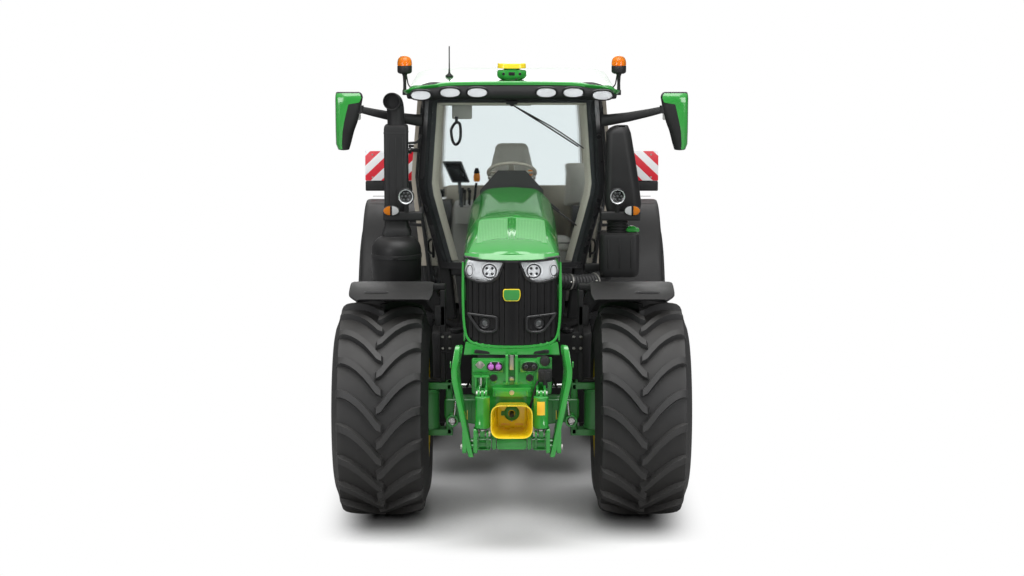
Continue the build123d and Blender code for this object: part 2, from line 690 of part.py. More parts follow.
cowl_y0, cowl_y1 = hood_rear_y + 25, hood_rear_y + 42


def cowl():
    """Upright fairing between the hood and the windscreen, on a foot from the firewall."""
    sections = [(250, 1490), (250, 1700), (243, 2250), (105, 2400)]
    fairing = ruled([[(-x, cowl_y0, z), (x, cowl_y0, z), (x, cowl_y1, z), (-x, cowl_y1, z)] for x, z in sections])
    return fairing + box(-200, 200, cowl_y1 - 5, 1290, 1500, 1550)


keep("cab_frame", cab_frame())
keep("cab_shell", cab_shell(), cowl(), *both(quarter_wall()))


def windscreen():
    """Curved glass bonded to the front faces of the A pillars."""
    heights = [windscreen_foot_z] + [row[0] for row in cab_levels if windscreen_foot_z < row[0] < header_z] + [header_z + 30]
    wires = []
    for z in heights:
        _, xa, ya, *_ = cab_row(min(z, header_z))
        x, y = xa + 30, ya - pillar_half - seat
        front, back = [(x, y - glass), (0, y - glass - windscreen_bow), (-x, y - glass)], [(-x, y), (0, y - windscreen_bow), (x, y)]
        edges = [ThreePointArc(*[(px, py, z) for px, py in front]), Line((-x, y - glass, z), (-x, y, z)),
                 ThreePointArc(*[(px, py, z) for px, py in back]), Line((x, y, z), (x, y - glass, z))]
        wires.append(Wire(edges))
    return Solid.make_loft(wires, True)


def side_window():
    return side_panel(sill_z + sill_height + seat, header_z - seat, post("B", pillar_half + seat), post("C", -pillar_half - seat), 10, 10 + glass)


keep("fixed_glass", windscreen(), *both(side_window()))


def door():
    """Slim frame round the glass, from the A pillar to the B pillar, with a lug at each hinge."""
    front, rear = pillar_half + gap, -pillar_half - gap
    leaf = side_panel(door_bottom_z, door_top_z, post("A", front), post("B", rear), -20, 22)
    opening = side_panel(door_bottom_z + 70, door_top_z - 55, post("A", front + 50), post("B", rear - 50), -60, 60)
    leaf = leaf - opening
    x, y = door_hinge
    for z in door_hinge_heights:
        pillar_y = post("B", 0)(z)
        x_leaf, x_clear = cab_x(z, pillar_y - 70) + 5, cab_x(z, pillar_y) + pillar_half + 7
        outline = [(x_leaf, pillar_y - 92), (x_leaf, pillar_y - 54), (x_clear, pillar_y - 52), (x - 15, y + 13),
                   (x + 15, y + 13), (x + 15, y - 15), (x_leaf + 30, pillar_y - 92)]
        leaf = leaf + level_plate(outline, z - 28, z - gap)
    return leaf - upright(x, y, 0, header_z, door_pin_radius + fit)


def door_glass():
    front, rear = pillar_half + gap + 50 + seat, -pillar_half - gap - 50 - seat
    return side_panel(door_bottom_z + 70 + seat, door_top_z - 55 - seat, post("A", front), post("B", rear), 5, 5 + glass)


left_door, left_door_glass = door(), door_glass()
for name, shape in (("door", left_door), ("door_glass", left_door_glass)):
    keep(name + "_left", shape)
    keep(name + "_right", other_side(shape))


def rear_window():
    """Frame of the rear window, hinged at its top edge behind the C pillars."""
    _, _, _, _, _, x0, y = cab_row(sill_z + sill_height)
    y0 = y + pillar_half + gap
    x_low, x_high = 640, 600
    z0, z1 = sill_z + 30, header_z + 6
    outer = front_plate([(-x_low, z0), (x_low, z0), (x_high, z1), (-x_high, z1)], y0, y0 + 30)
    inner = front_plate([(-x_low + 50, z0 + 50), (x_low - 50, z0 + 50), (x_high - 50, z1 - 50), (-x_high + 50, z1 - 50)], y0 - 1, y0 + 31)
    pane = front_plate([(-x_low + 50 + seat, z0 + 50 + seat), (x_low - 50 - seat, z0 + 50 + seat), (x_high - 50 - seat, z1 - 50 - seat),
                        (-x_high + 50 + seat, z1 - 50 - seat)], y0 + 12, y0 + 12 + glass)
    frame = outer - inner
    hinge_y, hinge_z = rear_hinge
    for side in (1, -1):
        frame = frame + box(side * 422, side * 434, hinge_y - 10, hinge_y + 10, z1 - 2, hinge_z + 10)
    return frame - drum(-500, 500, hinge_y, hinge_z, rear_pin_radius + fit), pane


rear_window_frame, rear_window_pane = rear_window()
keep("rear_window_frame", rear_window_frame)
keep("rear_window_glass", rear_window_pane)

# ---------------------------------------------------------------- roof
roof_z = header_z + header_height + seat
roof_front_y, roof_rear_y = 1180, rear_y + 330


def roof_level(x, y0, y1, cut, z):
    """Eight-cornered outline with its corners cut back."""
    return [(x, y0 + cut, z), (x, y1 - cut, z), (x - cut, y1, z), (-x + cut, y1, z), (-x, y1 - cut, z), (-x, y0 + cut, z),
            (-x + cut, y0, z), (x - cut, y0, z)]


def roof_cap():
    return ruled([roof_level(790, roof_front_y, roof_rear_y, 90, roof_z), roof_level(806, roof_front_y, roof_rear_y, 90, 2985),
                  roof_level(770, roof_front_y, roof_rear_y - 40, 120, 3040),
                  roof_level(700, roof_front_y, roof_rear_y - 110, 160, roof_top_z)])


visor_y = 1062


def roof_visor():
    """Overhang ahead of the roof that holds the lamps."""
    y1 = roof_front_y - seat
    return ruled([
        [(800, y1, 2950), (690, 1090, 2948), (-690, 1090, 2948), (-800, y1, 2950)],
        [(806, y1, 2985), (740, visor_y, 2985), (-740, visor_y, 2985), (-806, y1, 2985)],
        [(716, y1, 3040), (640, visor_y + 10, 3035), (-640, visor_y + 10, 3035), (-716, y1, 3040)],
        [(640, y1, 3062), (600, 1100, 3058), (-600, 1100, 3058), (-640, y1, 3062)],
    ])


def oval_lamp(x, y, z, width, height, depth):
    """Lamp with an oval face towards the front."""
    face = Plane(origin=(x, y, z), x_dir=(1, 0, 0), z_dir=(0, 1, 0)) * Ellipse(width / 2, height / 2)
    return extrude(face, depth)


keep("roof_cap", roof_cap())
keep("roof_visor", roof_visor())
roof_lamp_rows = [
    # x,  z
    (265, 3008),
    (470, 3008),
    (690, 2988),
]
lamp_depth = 20
roof_lamps = [oval_lamp(x, visor_y - seat - lamp_depth, z, 150, 74, lamp_depth) for x, z in roof_lamp_rows]
front_lamp_y, front_lamp_z = 970, 2220
work_lamp = oval_lamp(806, front_lamp_y, front_lamp_z, 110, 110, 50)
keep("work_lamps", *[s for lamp in roof_lamps + [work_lamp] for s in both(lamp)])

# ---------------------------------------------------------------- things on the roof
beacon_x, beacon_y, beacon_base_z = 825, 1350, 3150
beacon_radius, beacon_height = 56, 120


def beacon():
    """Stem at the edge of the roof with a round base for the beacon."""
    x, y, z = beacon_x, beacon_y, beacon_base_z
    stem = upright(x, y, roof_z + 21, z - 16, 12) + box(806 + seat, x + 12, y - 14, y + 14, roof_z + 21, roof_z + 45)
    return stem + upright(x, y, z - 18, z, beacon_radius + 2)


def receiver():
    """Satellite receiver on the middle of the roof."""
    y, z = roof_front_y + 20, roof_top_z
    return ruled([roof_level(80, y + 40, y + 200, 30, z + seat), roof_level(113, y, y + 220, 45, z + 40),
                  roof_level(113, y, y + 220, 45, z + 110), roof_level(85, y + 30, y + 190, 40, z + 149)])


antenna_length = 244
antenna = upright(-495, 1900, roof_top_z + seat, roof_top_z + 30, 22)
antenna = antenna + upright(-495, 1900, roof_top_z + 30, roof_top_z + antenna_length, 5)
keep("receiver", receiver())


def mirror_head():
    """Arm from the A pillar and the tall mirror at its end."""
    x = cab_x(2735, 1395) + pillar_half + seat - 8
    arm = ruled([
        [(x + 12, 1350, 2735), (x + 12, 1395, 2735), (x + 12, 1395, 2805), (x + 12, 1350, 2805)],
        [(1160, 1190, 2845), (1160, 1230, 2845), (1160, 1230, 2885), (1160, 1190, 2885)],
    ])
    head = ruled([
        [(1210, 1190, 2550), (1275, 1190, 2550), (1275, 1240, 2550), (1210, 1240, 2550)],
        [(1140, 1160, 2760), (1350, 1160, 2760), (1350, 1260, 2760), (1140, 1260, 2760)],
        [(1140, 1160, 2960), (1350, 1160, 2960), (1350, 1260, 2960), (1140, 1260, 2960)],
        [(1160, 1180, 3000), (1350, 1180, 3000), (1350, 1240, 3000), (1160, 1240, 3000)],
    ])
    return arm + head + box(x + 8, x + 20, 1350, 1395, 2735, 2805)


keep("mirrors", *both(mirror_head()))

# ---------------------------------------------------------------- exhaust and air intake
stack_x, stack_y = 885, 1150
canister_y, canister_radius = 1090, 190      # ahead of the stack, clear of the opening door


def exhaust():
    """Upright exhaust cleaner, square stack and pipe whose mouth faces forward."""
    canister = upright(-stack_x, canister_y, 1300, 1850, canister_radius)
    shoulder = Pos(-stack_x, canister_y, 1875) * Cone(canister_radius, canister_radius - 60, 50)
    neck = rod((-stack_x, stack_y, 1870), (-stack_x, stack_y, 1970), 110)
    stack = box(-stack_x - 91, -stack_x + 91, stack_y - 91, stack_y + 91, 1965, 2760)
    pipe = upright(-stack_x, stack_y, 2760, 2935, 71)
    elbow = rod((-stack_x, stack_y, 2935), (-stack_x - 5, stack_y - 110, 2965), 71)
    knee = Pos(-stack_x, stack_y, 2935) * Sphere(71)
    pillar_x = cab_x(2520, 1400) + pillar_half + seat
    bracket = box(-800, -770, 1235, 1400, 2520, 2550) + box(-800, -pillar_x, 1370, 1400, 2520, 2550)
    side = -cab_x(1400, 1320) - pillar_half - seat
    foot = level_plate([(side, 1170), (side, 1306), (side - 50, 1306), (-700, 1280), (-765, 1280), (-765, 1170)], 1340, 1400)
    return fuse(canister, shoulder, neck, stack, pipe, elbow, knee, bracket, foot)


def intake():
    """Air-cleaner box with a bellows and a tall tapering stack above it."""
    body = box(676, 981, 1050, 1290, 1583, 1930)
    neck = rod((814, 1170, 1928), (814, 1170, 2080), 80)
    tower = front_plate([(733, 2060), (985, 2060), (996, 2150), (908, 2700), (890, 2747), (800, 2747), (724, 2690), (715, 2150)], 1075, 1265)
    foot = box(cab_x(1660, 1335) + pillar_half + seat, 700, 1270, 1335, 1600, 1660)
    return fuse(body, neck, tower, foot)


keep("exhaust", exhaust())
keep("intake", intake())


def lamp_arm():
    """Arm from the A pillar that holds a round work lamp and an oval turn lamp ahead of the stack."""
    y = front_lamp_y + 50 + seat
    pillar_x = cab_x(2090, 1395) + pillar_half + seat
    arm = box(pillar_x, 985, y, y + 30, 2040, 2090) + box(pillar_x, 711, y, 1395, 2040, 2090)
    stalk = box(790, 820, y, y + 20, 2085, 2250)
    return arm + stalk


keep("lamp_brackets", *both(lamp_arm()), *both(beacon()), antenna)
turn_lamp = oval_lamp(920, front_lamp_y + 50 - 35, 2108, 120, 76, 35)
beacon_lamp = upright(beacon_x, beacon_y, beacon_base_z + seat, beacon_base_z + beacon_height, beacon_radius)
keep("amber_lamps", *both(turn_lamp), *both(beacon_lamp))

# ---------------------------------------------------------------- rear fenders and boards
def rear_fender():
    """Arched sheet over the wheel with the wheel-house wall at its inner edge."""
    sheet = ring_sector(fender_x0, fender_x1, rear_y, rear_radius, fender_inner_radius, fender_outer_radius, fender_front, fender_rear)
    inner = drum(fender_x0, fender_x0 + wall, rear_y, rear_radius, fender_outer_radius - 2)
    inner = inner & box(fender_x0 - 1, fender_x0 + wall + 1, rear_y - 940, rear_y + 160, cab_floor_z, sill_z + 200)
    return sheet + inner


board_x, board_y = fender_x1 + 42, rear_y + 600      # outer edge, and the bar's front face
board_width, board_height = 422, 255
bar_z0 = rear_radius + fender_outer_radius - 2
bar_height = 95


def board():
    """Striped board ahead of the bar that stands on the fender."""
    z0 = bar_z0 + bar_height + 5
    return box(board_x - board_width, board_x, board_y - 6, board_y, z0, z0 + board_height)


def board_bar():
    """Bar behind the board, with a backing plate for it and a post down to the fender."""
    y = board_y + seat
    bar = box(board_x - 502, board_x, y, board_y + 70, bar_z0, bar_z0 + bar_height)
    backing = box(board_x - 362, board_x - 62, y, board_y + 15, bar_z0 + bar_height - 9, bar_z0 + 326)
    foot = box(board_x - 362, board_x - 302, y, board_y + 60, rear_radius, bar_z0 + 16)
    return fuse(bar, backing, foot) - drum(0, 2000, rear_y, rear_radius, fender_outer_radius - 2)


keep("rear_fenders", *both(rear_fender() + board_bar()))
keep("boards", *both(board()))

# ---------------------------------------------------------------- tank, toolbox and steps
tank_x0, tank_x1 = 240, 625
tank_y0, tank_y1 = 1120, rear_y - rear_radius - 122
tank_z0, tank_z1 = 430, cab_floor_z - 50
step_count, step_width = 4, 170


def tank():
    """Tank hung on brackets beside the gearbox, with the steps up to the door on its outer side."""
    body = box(tank_x0, tank_x1, tank_y0, tank_y1, tank_z0, tank_z1)
    for y in (tank_y1 - 420, tank_y1 - 120):
        body = body + box(170 + seat, tank_x0 + 10, y, y + 60, case_top_z - 210, case_top_z - 130)
    step_y0, step_y1, top = tank_y1 - 490, tank_y1 - 28, tank_z1 + 30
    for y in (step_y0, step_y1 - 12):
        rail = front_plate([(900, tank_z0), (960, tank_z0), (760, top), (tank_x1 - 5, top), (tank_x1 - 5, top - 70)], y, y + 12)
        body = body + rail
    for i in range(step_count):
        x, z = 925 - 55 * i, tank_z0 + 10 + 210 * i
        if z < tank_z1:
            body = body + box(max(x - step_width, tank_x1 - 5), x, step_y0, step_y1, z, z + 20)
    return body


keep("tanks_and_steps", *both(tank()))

# ---------------------------------------------------------------- inside of the cab
floor_top = cab_floor_z + floor_thickness


wheel_centre, wheel_tilt = (0, 1730, 2325), 30
wheel_plane = Plane(origin=wheel_centre, x_dir=(1, 0, 0), z_dir=(0, sin(radians(wheel_tilt)), cos(radians(wheel_tilt))))


def dash():
    """Steering column console, with the column up to the wheel."""
    console = ruled([
        [(-110, 1380, floor_top), (110, 1380, floor_top), (110, 1600, floor_top), (-110, 1600, floor_top)],
        [(-130, 1420, 1900), (130, 1420, 1900), (130, 1640, 1900), (-130, 1640, 1900)],
        [(-190, 1440, 2170), (190, 1440, 2170), (190, 1640, 2200), (-190, 1640, 2200)],
    ])
    tip = wheel_plane * Pos(0, 0, -17)
    column = tip * Pos(0, 0, -110) * Cylinder(32, 220) + wheel_plane * Pos(0, 0, -16) * Cylinder(12, 24)
    return console + column


def steering_wheel():
    rim_ring = wheel_plane * Torus(185, 15)
    hub = wheel_plane * Cylinder(45, 24) - wheel_plane * Pos(0, 0, -12) * Cylinder(12 + fit, 20)
    spokes = wheel_plane * Box(350, 32, 14) + wheel_plane * Pos(0, -92, 0) * Box(32, 180, 14)
    return fuse(rim_ring, hub, spokes - wheel_plane * Cylinder(30, 40))


seat_y = rear_y - 400        # foot of the driver's backrest
seat_base_z, second_base_z = floor_top + 370, floor_top + 410
cushion_thickness = 130


def cushion_level(x, y0, y1, z):
    return [(-x, y0, z), (x, y0, z), (x, y1, z), (-x, y1, z)]


def seat_bases():
    """Sprung pedestal of the driver's seat with its back frame, and the box under the instructor's seat."""
    pedestal = box(-170, 170, seat_y - 370, seat_y - 30, floor_top, seat_base_z)
    pan = box(-220, 220, seat_y - 100, seat_y + 140, seat_base_z - 30, seat_base_z)
    back_frame = box(-200, 200, seat_y + 125, seat_y + 140, seat_base_z - 30, seat_base_z + 340)
    return [fuse(pedestal, pan, back_frame), box(300, 490, seat_y - 350, seat_y + 60, floor_top, second_base_z)]


def seat_cushions():
    """Cushions and backs of both seats."""
    low, y1 = seat_base_z + seat, seat_y + 124
    cushion = box(-250, 250, seat_y - 440, seat_y - 5, low, seat_base_z + cushion_thickness)
    back = ruled([cushion_level(235, seat_y, y1, low), cushion_level(215, seat_y + 30, y1, seat_base_z + 590),
                  cushion_level(150, seat_y + 60, y1, seat_base_z + 930)])
    y0, y1 = seat_y - 10, seat_y + 60
    second = box(300, 490, seat_y - 350, seat_y - 20, second_base_z + seat, second_base_z + 90)
    second_back = ruled([[(310, y0, z), (488, y0, z), (488, y1, z), (310, y1, z)] for z in (second_base_z + seat, sill_z + 14)])
    wing = ruled([[(x0, y0, z), (x1, y0, z), (x1, y1, z), (x0, y1, z)] for x0, x1, z in ((330, 640, sill_z + 10), (430, 650, sill_z + 364))])
    return [cushion, back, second, second_back + wing]


keep("seat_bases", *seat_bases())
keep("seat_cushions", *seat_cushions())


def armrest():
    """Right-hand control console beside the seat, with the display and the lever."""
    y, z = seat_y - 600, floor_top + 790
    console = box(-480, -300, y + 150, seat_y, floor_top, z) + box(-460, -300, y, y + 200, z - 130, z + 5)
    display = ruled([
        [(-548, y - 10, z + 210), (-360, y - 10, z + 210), (-360, y + 25, z + 210), (-548, y + 25, z + 210)],
        [(-548, y + 10, z + 420), (-380, y + 10, z + 420), (-380, y + 45, z + 420), (-548, y + 45, z + 420)],
    ])
    stalk = rod((-430, y + 60, z - 10), (-440, y + 25, z + 230), 14)
    lever = rod((-320, y + 100, z - 5), (-300, y + 85, z + 330), 12)
    return fuse(console, display, stalk, lever)


keep("consoles", dash(), armrest())
keep("steering_wheel", steering_wheel())

# ================================================================ rear linkage
lower_pivot = (rear_y + 250, rear_radius - 318)      # y, z
lower_pin_radius = 19
lower_hook_radius, top_hook_radius = 18.65, 16.1       # bores for an implement's pins
ball_radius = 45
ball_x, ball_y, ball_z = 430, rear_y + rear_overhang - ball_radius, lower_pivot[1] + 15
lift_shaft_y, lift_shaft_z = rear_y + 300, rear_radius + 197
lift_arm_end = (lift_shaft_y + 420, lift_shaft_z + 5)
rod_x = 424
rod_pin_radius = 12
rod_foot = (lift_arm_end[0] - 20, lower_pivot[1] + 12)
top_pivot = (rear_y + 475, rear_radius - 23)
top_tip = (top_pivot[0] + 185, top_pivot[1] + 405)
rear_pto_z = rear_radius - 238
drawbar_z = rear_radius - 558


def lower_link():
    """Lower link with an eye at its pivot, a pin for the lift rod and a hook at its end."""
    y, z = lower_pivot
    bar = ruled([
        [(286, y - 10, z - 40), (314, y - 10, z - 40), (314, y - 10, z + 40), (286, y - 10, z + 40)],
        [(288, y + 90, z - 42), (316, y + 90, z - 42), (316, y + 90, z + 42), (288, y + 90, z + 42)],
        [(368, y + 550, z - 38), (398, y + 550, z - 38), (398, y + 550, z + 62), (368, y + 550, z + 62)],
        [(ball_x - 15, ball_y, ball_z - 35), (ball_x + 15, ball_y, ball_z - 35), (ball_x + 15, ball_y, ball_z + 35),
         (ball_x - 15, ball_y, ball_z + 35)],
    ])
    eye = drum(283, 317, y, z, 45)
    hook = drum(ball_x - 25, ball_x + 25, ball_y, ball_z, ball_radius)
    pin = drum(370, rod_x - 20 - gap, *rod_foot, 26)
    link = fuse(bar, eye, hook, pin) - drum(0, 400, y, z, lower_pin_radius + fit)
    return link - drum(0, 600, ball_y, ball_z, lower_hook_radius)


def rear_frame():
    """Casting behind the back axle with the ears for the links, the lift shaft and the drawbar."""
    y0, y1 = case_rear_y + seat, case_rear_y + 70
    y, z = lower_pivot
    frame = box(-180, 180, y0, y1, lower_pivot[1] - 80, case_top_z)
    for side in (1, -1):
        inner_ear = box(side * 248, side * 276, y - 90, y1, z - 60, z + 60)
        outer_ear = box(side * 324, side * 352, y - 90, y + 45, z - 60, z + 60)
        front_web = box(side * 248, side * 352, y - 90, y - 55, z - 60, z + 60)
        root = box(side * 170, side * 276, y0, y1, z - 60, z + 60)
        pin = drum(side * 250, side * 350, y, z, lower_pin_radius)
        clevis = box(side * 33, side * 51, y1 - 5, top_pivot[0] + 25, top_pivot[1] - 40, top_pivot[1] + 40)
        ys, zs = lift_shaft_y, lift_shaft_z
        bearing = side_plate([(ys - 50, case_top_z + seat), (y0, case_top_z + seat), (y0, zs - 155), (y1, zs - 155), (y1, zs + 5),
                              (ys + 50, zs + 57), (ys - 50, zs + 57)], side * 150, side * 180)
        frame = fuse(frame, inner_ear, outer_ear, front_web, root, pin, clevis, bearing)
    top_pin = drum(-45, 45, *top_pivot, rod_pin_radius)
    drawbar = box(-60, 60, rear_y + 100, rear_y + 1000, drawbar_z, drawbar_z + 40)
    drawbar = drawbar + box(-90, 90, y0, y1, drawbar_z + 39, lower_pivot[1] - 79)
    frame = fuse(frame, top_pin, drawbar) - upright(0, rear_y + 960, drawbar_z - 100, drawbar_z + 100, 16)
    frame = frame - drum(-400, 400, lift_shaft_y, lift_shaft_z, 40 + fit)
    return frame - rod((0, y0 - 60, rear_pto_z), (0, y1 + 70, rear_pto_z), journal_radius + fit)


def lift_arms():
    """Cross shaft with an arm to each lift rod."""
    y, z = lift_shaft_y, lift_shaft_z
    arms = drum(-330, 330, y, z, 40)
    for side in (1, -1):
        sections = [
            [(290, y - 50, z - 45), (330, y - 50, z - 45), (330, y - 50, z + 45), (290, y - 50, z + 45)],
            [(368, lift_arm_end[0] + 30, z - 25), (398, lift_arm_end[0] + 30, z - 25), (398, lift_arm_end[0] + 30, z + 35),
             (368, lift_arm_end[0] + 30, z + 35)]]
        arm = ruled(sections)
        arm = arm + drum(380, rod_x + 16, *lift_arm_end, rod_pin_radius)
        arms = arms + (arm if side == 1 else other_side(arm))
    return arms


def lift_rod():
    """Rod from the lift arm's pin to the lower link."""
    bar = rod((rod_x, *lift_arm_end), (rod_x, *rod_foot), 20)
    for y, z in (lift_arm_end, rod_foot):
        bar = bar + drum(rod_x - 11, rod_x + 11, y, z, 30)
    return bar - drum(300, 500, *lift_arm_end, rod_pin_radius + fit)


def top_link():
    """Upper link, folded up behind the cab."""
    bar = rod((0, *top_pivot), (0, *top_tip), 26)
    bar = bar + drum(-28, 28, *top_pivot, 34) + drum(-28, 28, *top_tip, 38)
    bar = bar - drum(-60, 60, *top_tip, top_hook_radius)
    return bar - drum(-60, 60, *top_pivot, rod_pin_radius + fit)


keep("rear_frame", rear_frame())
keep("lower_links", *both(lower_link()))
keep("lift_arms", lift_arms())
keep("lift_rods", *both(lift_rod()))
keep("top_link", top_link())
keep("rear_pto_shaft", stub_shaft(case_rear_y + 20, case_rear_y + 75, case_rear_y + 75 + pto_length, rear_pto_z))

print(len(nodes), "nodes")
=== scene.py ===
# %% [markdown]
# # A farm tractor, dressed around its working parts
# The engineering model gives every bar, axle, panel and wheel at its real size, and this notebook gives
# them their looks. Plain parts keep their own solid and get a finish. Parts with a richer shape, such as
# lugged tyres, the hood and the lamps, are drawn again here as smooth surfaces and ride on the same bodies.

# %% Load the frame
import json
import math
import bmesh
import bpy
import numpy as np
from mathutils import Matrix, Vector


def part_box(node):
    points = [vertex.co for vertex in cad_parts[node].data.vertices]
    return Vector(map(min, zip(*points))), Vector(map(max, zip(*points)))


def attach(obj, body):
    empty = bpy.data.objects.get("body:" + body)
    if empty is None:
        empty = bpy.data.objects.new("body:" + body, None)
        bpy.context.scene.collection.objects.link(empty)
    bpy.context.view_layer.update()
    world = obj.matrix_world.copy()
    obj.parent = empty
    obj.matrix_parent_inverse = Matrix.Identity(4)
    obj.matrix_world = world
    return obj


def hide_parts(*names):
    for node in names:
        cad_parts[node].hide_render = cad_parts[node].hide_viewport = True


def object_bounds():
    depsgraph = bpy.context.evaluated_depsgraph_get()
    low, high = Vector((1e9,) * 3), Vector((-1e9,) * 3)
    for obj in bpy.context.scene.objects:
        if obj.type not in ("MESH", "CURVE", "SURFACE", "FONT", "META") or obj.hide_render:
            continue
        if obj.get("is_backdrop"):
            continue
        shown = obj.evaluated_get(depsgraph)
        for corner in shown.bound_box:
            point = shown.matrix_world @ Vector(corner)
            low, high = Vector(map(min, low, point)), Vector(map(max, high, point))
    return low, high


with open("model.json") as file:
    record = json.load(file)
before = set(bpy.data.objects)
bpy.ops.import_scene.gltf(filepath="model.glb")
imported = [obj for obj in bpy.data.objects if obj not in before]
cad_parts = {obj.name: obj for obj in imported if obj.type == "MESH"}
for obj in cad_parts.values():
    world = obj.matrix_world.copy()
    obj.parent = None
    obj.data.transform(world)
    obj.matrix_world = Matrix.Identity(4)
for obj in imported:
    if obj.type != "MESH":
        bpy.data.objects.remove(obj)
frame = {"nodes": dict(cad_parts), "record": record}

cad_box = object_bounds()

# %% [markdown]
# ## Where things are
# Lengths are written in millimetres, the way a workshop drawing gives them. y is counted from the front
# axle towards the back, +x is the driver's left and z is the height above the ground. One function moves
# a finished surface into the frame, so the front axle is found once, from the front tyre's own box.

# %% Measures taken from the frame
MM = 0.001


def span(node, axis):
    """Lowest and highest coordinate of a node along an axis, in millimetres from the front axle."""
    low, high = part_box(node)
    shift = front_axle_y if axis == "y" else 0.0
    k = "xyz".index(axis)
    return (low[k] - shift) / MM, (high[k] - shift) / MM


tyre_low, tyre_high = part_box("front_tyre_left")
front_axle_y = (tyre_low.y + tyre_high.y) / 2
front_radius = span("front_tyre_left", "z")[1] / 2
rear_radius = span("rear_tyre_left", "z")[1] / 2
wheelbase = sum(span("rear_tyre_left", "y")) / 2
print(f"front tyre {front_radius:.0f} mm, rear tyre {rear_radius:.0f} mm, wheelbase {wheelbase:.0f} mm")

# %% [markdown]
# ## Surfaces from arrays
# A shape here is a pair: an array of points and a list of faces. Almost everything comes from one idea, a
# grid of points with rows and columns whose neighbours are joined by quads. Rows or columns may wrap
# round to close a ring, and the first and last row may be closed by a cap.

# %% Grid surfaces
def sheet(points, wrap_rows=False, wrap=True, caps=True):
    """Quads between neighbours of a rows x columns grid; wrap joins the last column to the first."""
    rows, cols = points.shape[:2]
    i, j = np.meshgrid(np.arange(rows if wrap_rows else rows - 1), np.arange(cols if wrap else cols - 1),
                       indexing="ij")
    here, beside = i * cols + j, i * cols + (j + 1) % cols
    under, under_beside = (i + 1) % rows * cols + j, (i + 1) % rows * cols + (j + 1) % cols
    faces = np.stack([here, beside, under_beside, under], -1).reshape(-1, 4).tolist()
    if caps and wrap and not wrap_rows:
        faces += [list(range(cols)), list(range((rows - 1) * cols, rows * cols))]
    return points.reshape(-1, 3), faces


def weld(shape):
    """The same surface with doubled points merged, and faces that this collapses dropped."""
    points, faces = shape
    _, first, same = np.unique(np.round(points, 3), axis=0, return_index=True, return_inverse=True)
    same = same.reshape(-1)
    merged = [list(dict.fromkeys(same[face].tolist())) for face in faces]
    return points[first], [face for face in merged if len(face) > 2]


def join(*shapes):
    """Several shapes as one, with each one's face numbers moved up by the points before it."""
    starts = np.cumsum([0] + [len(points) for points, _ in shapes])
    faces = [[k + int(start) for k in face] for (_, fs), start in zip(shapes, starts) for face in fs]
    return np.concatenate([points for points, _ in shapes]), faces


# %% Moving and repeating
AXES = {"x": 0, "y": 1, "z": 2}


def moved(shape, dx=0.0, dy=0.0, dz=0.0):
    """The same shape, shifted."""
    return shape[0] + np.array([dx, dy, dz], float), shape[1]


def mirrored(shape):
    """The same shape on the other side of the machine: x changes sign and the faces turn round."""
    return shape[0] * np.array([-1.0, 1.0, 1.0]), [face[::-1] for face in shape[1]]


def both(shape):
    """The shape and its mirror image, as one."""
    return join(shape, mirrored(shape))


def rotated(shape, axis, degrees, centre=(0, 0, 0)):
    """Points turned about an axis through centre: the two other coordinates mix by cos and sin."""
    k = AXES[axis]
    a, b = (k + 1) % 3, (k + 2) % 3
    c, s = math.cos(math.radians(degrees)), math.sin(math.radians(degrees))
    p = shape[0] - np.array(centre, float)
    q = p.copy()
    q[:, a], q[:, b] = p[:, a] * c - p[:, b] * s, p[:, a] * s + p[:, b] * c
    return q + np.array(centre, float), shape[1]


def repeated(shape, offsets):
    """Copies of a shape, one moved by each offset."""
    offsets = np.array(offsets, float).reshape(-1, 3)
    points = (offsets[:, None, :] + shape[0][None, :, :]).reshape(-1, 3)
    size = len(shape[0])
    faces = [[k + n * size for k in face] for n in range(len(offsets)) for face in shape[1]]
    return points, faces


def around(shape, axis, centre, angles):
    """Copies of a shape turned about an axis by each angle."""
    return join(*[rotated(shape, axis, angle, centre) for angle in angles])


# %% [markdown]
# ## Outlines
# Plates, panels and rounded blocks start as a flat outline. Its corners are rounded with a small
# quadratic curve, and it can be drawn in by a distance, which gives the chamfer round a plate's edge.

# %% Flat outlines
def rounded(outline, radius, steps=4):
    """Each corner becomes a quadratic curve from radius before it to radius after it."""
    p = np.array(outline, float)
    radius = np.broadcast_to(np.array(radius, float), len(p))[:, None]
    back, ahead = np.roll(p, 1, 0) - p, np.roll(p, -1, 0) - p
    back_length, ahead_length = np.linalg.norm(back, axis=1)[:, None], np.linalg.norm(ahead, axis=1)[:, None]
    start = p + back / back_length * np.minimum(radius, back_length * 0.49)
    end = p + ahead / ahead_length * np.minimum(radius, ahead_length * 0.49)
    t = np.linspace(0, 1, steps + 1)[None, :, None]
    curve = (1 - t) ** 2 * start[:, None] + 2 * t * (1 - t) * p[:, None] + t ** 2 * end[:, None]
    return curve.reshape(-1, p.shape[1])


def drawn_in(outline, distance):
    """Every point of an outline moved inwards along the mitre of its two edges."""
    p = np.array(outline, float)
    ahead, back = np.roll(p, -1, 0) - p, p - np.roll(p, 1, 0)
    area = np.sum(p[:, 0] * np.roll(p[:, 1], -1) - np.roll(p[:, 0], -1) * p[:, 1])
    unit = lambda v: v / np.maximum(np.linalg.norm(v, axis=1), 1e-6)[:, None]
    normal = lambda v: np.stack([-v[:, 1], v[:, 0]], 1) * np.sign(area)
    n0, n1 = normal(unit(back)), normal(unit(ahead))
    mitre = (n0 + n1) / np.maximum(1 + np.sum(n0 * n1, 1), 0.4)[:, None]
    return p + mitre * distance


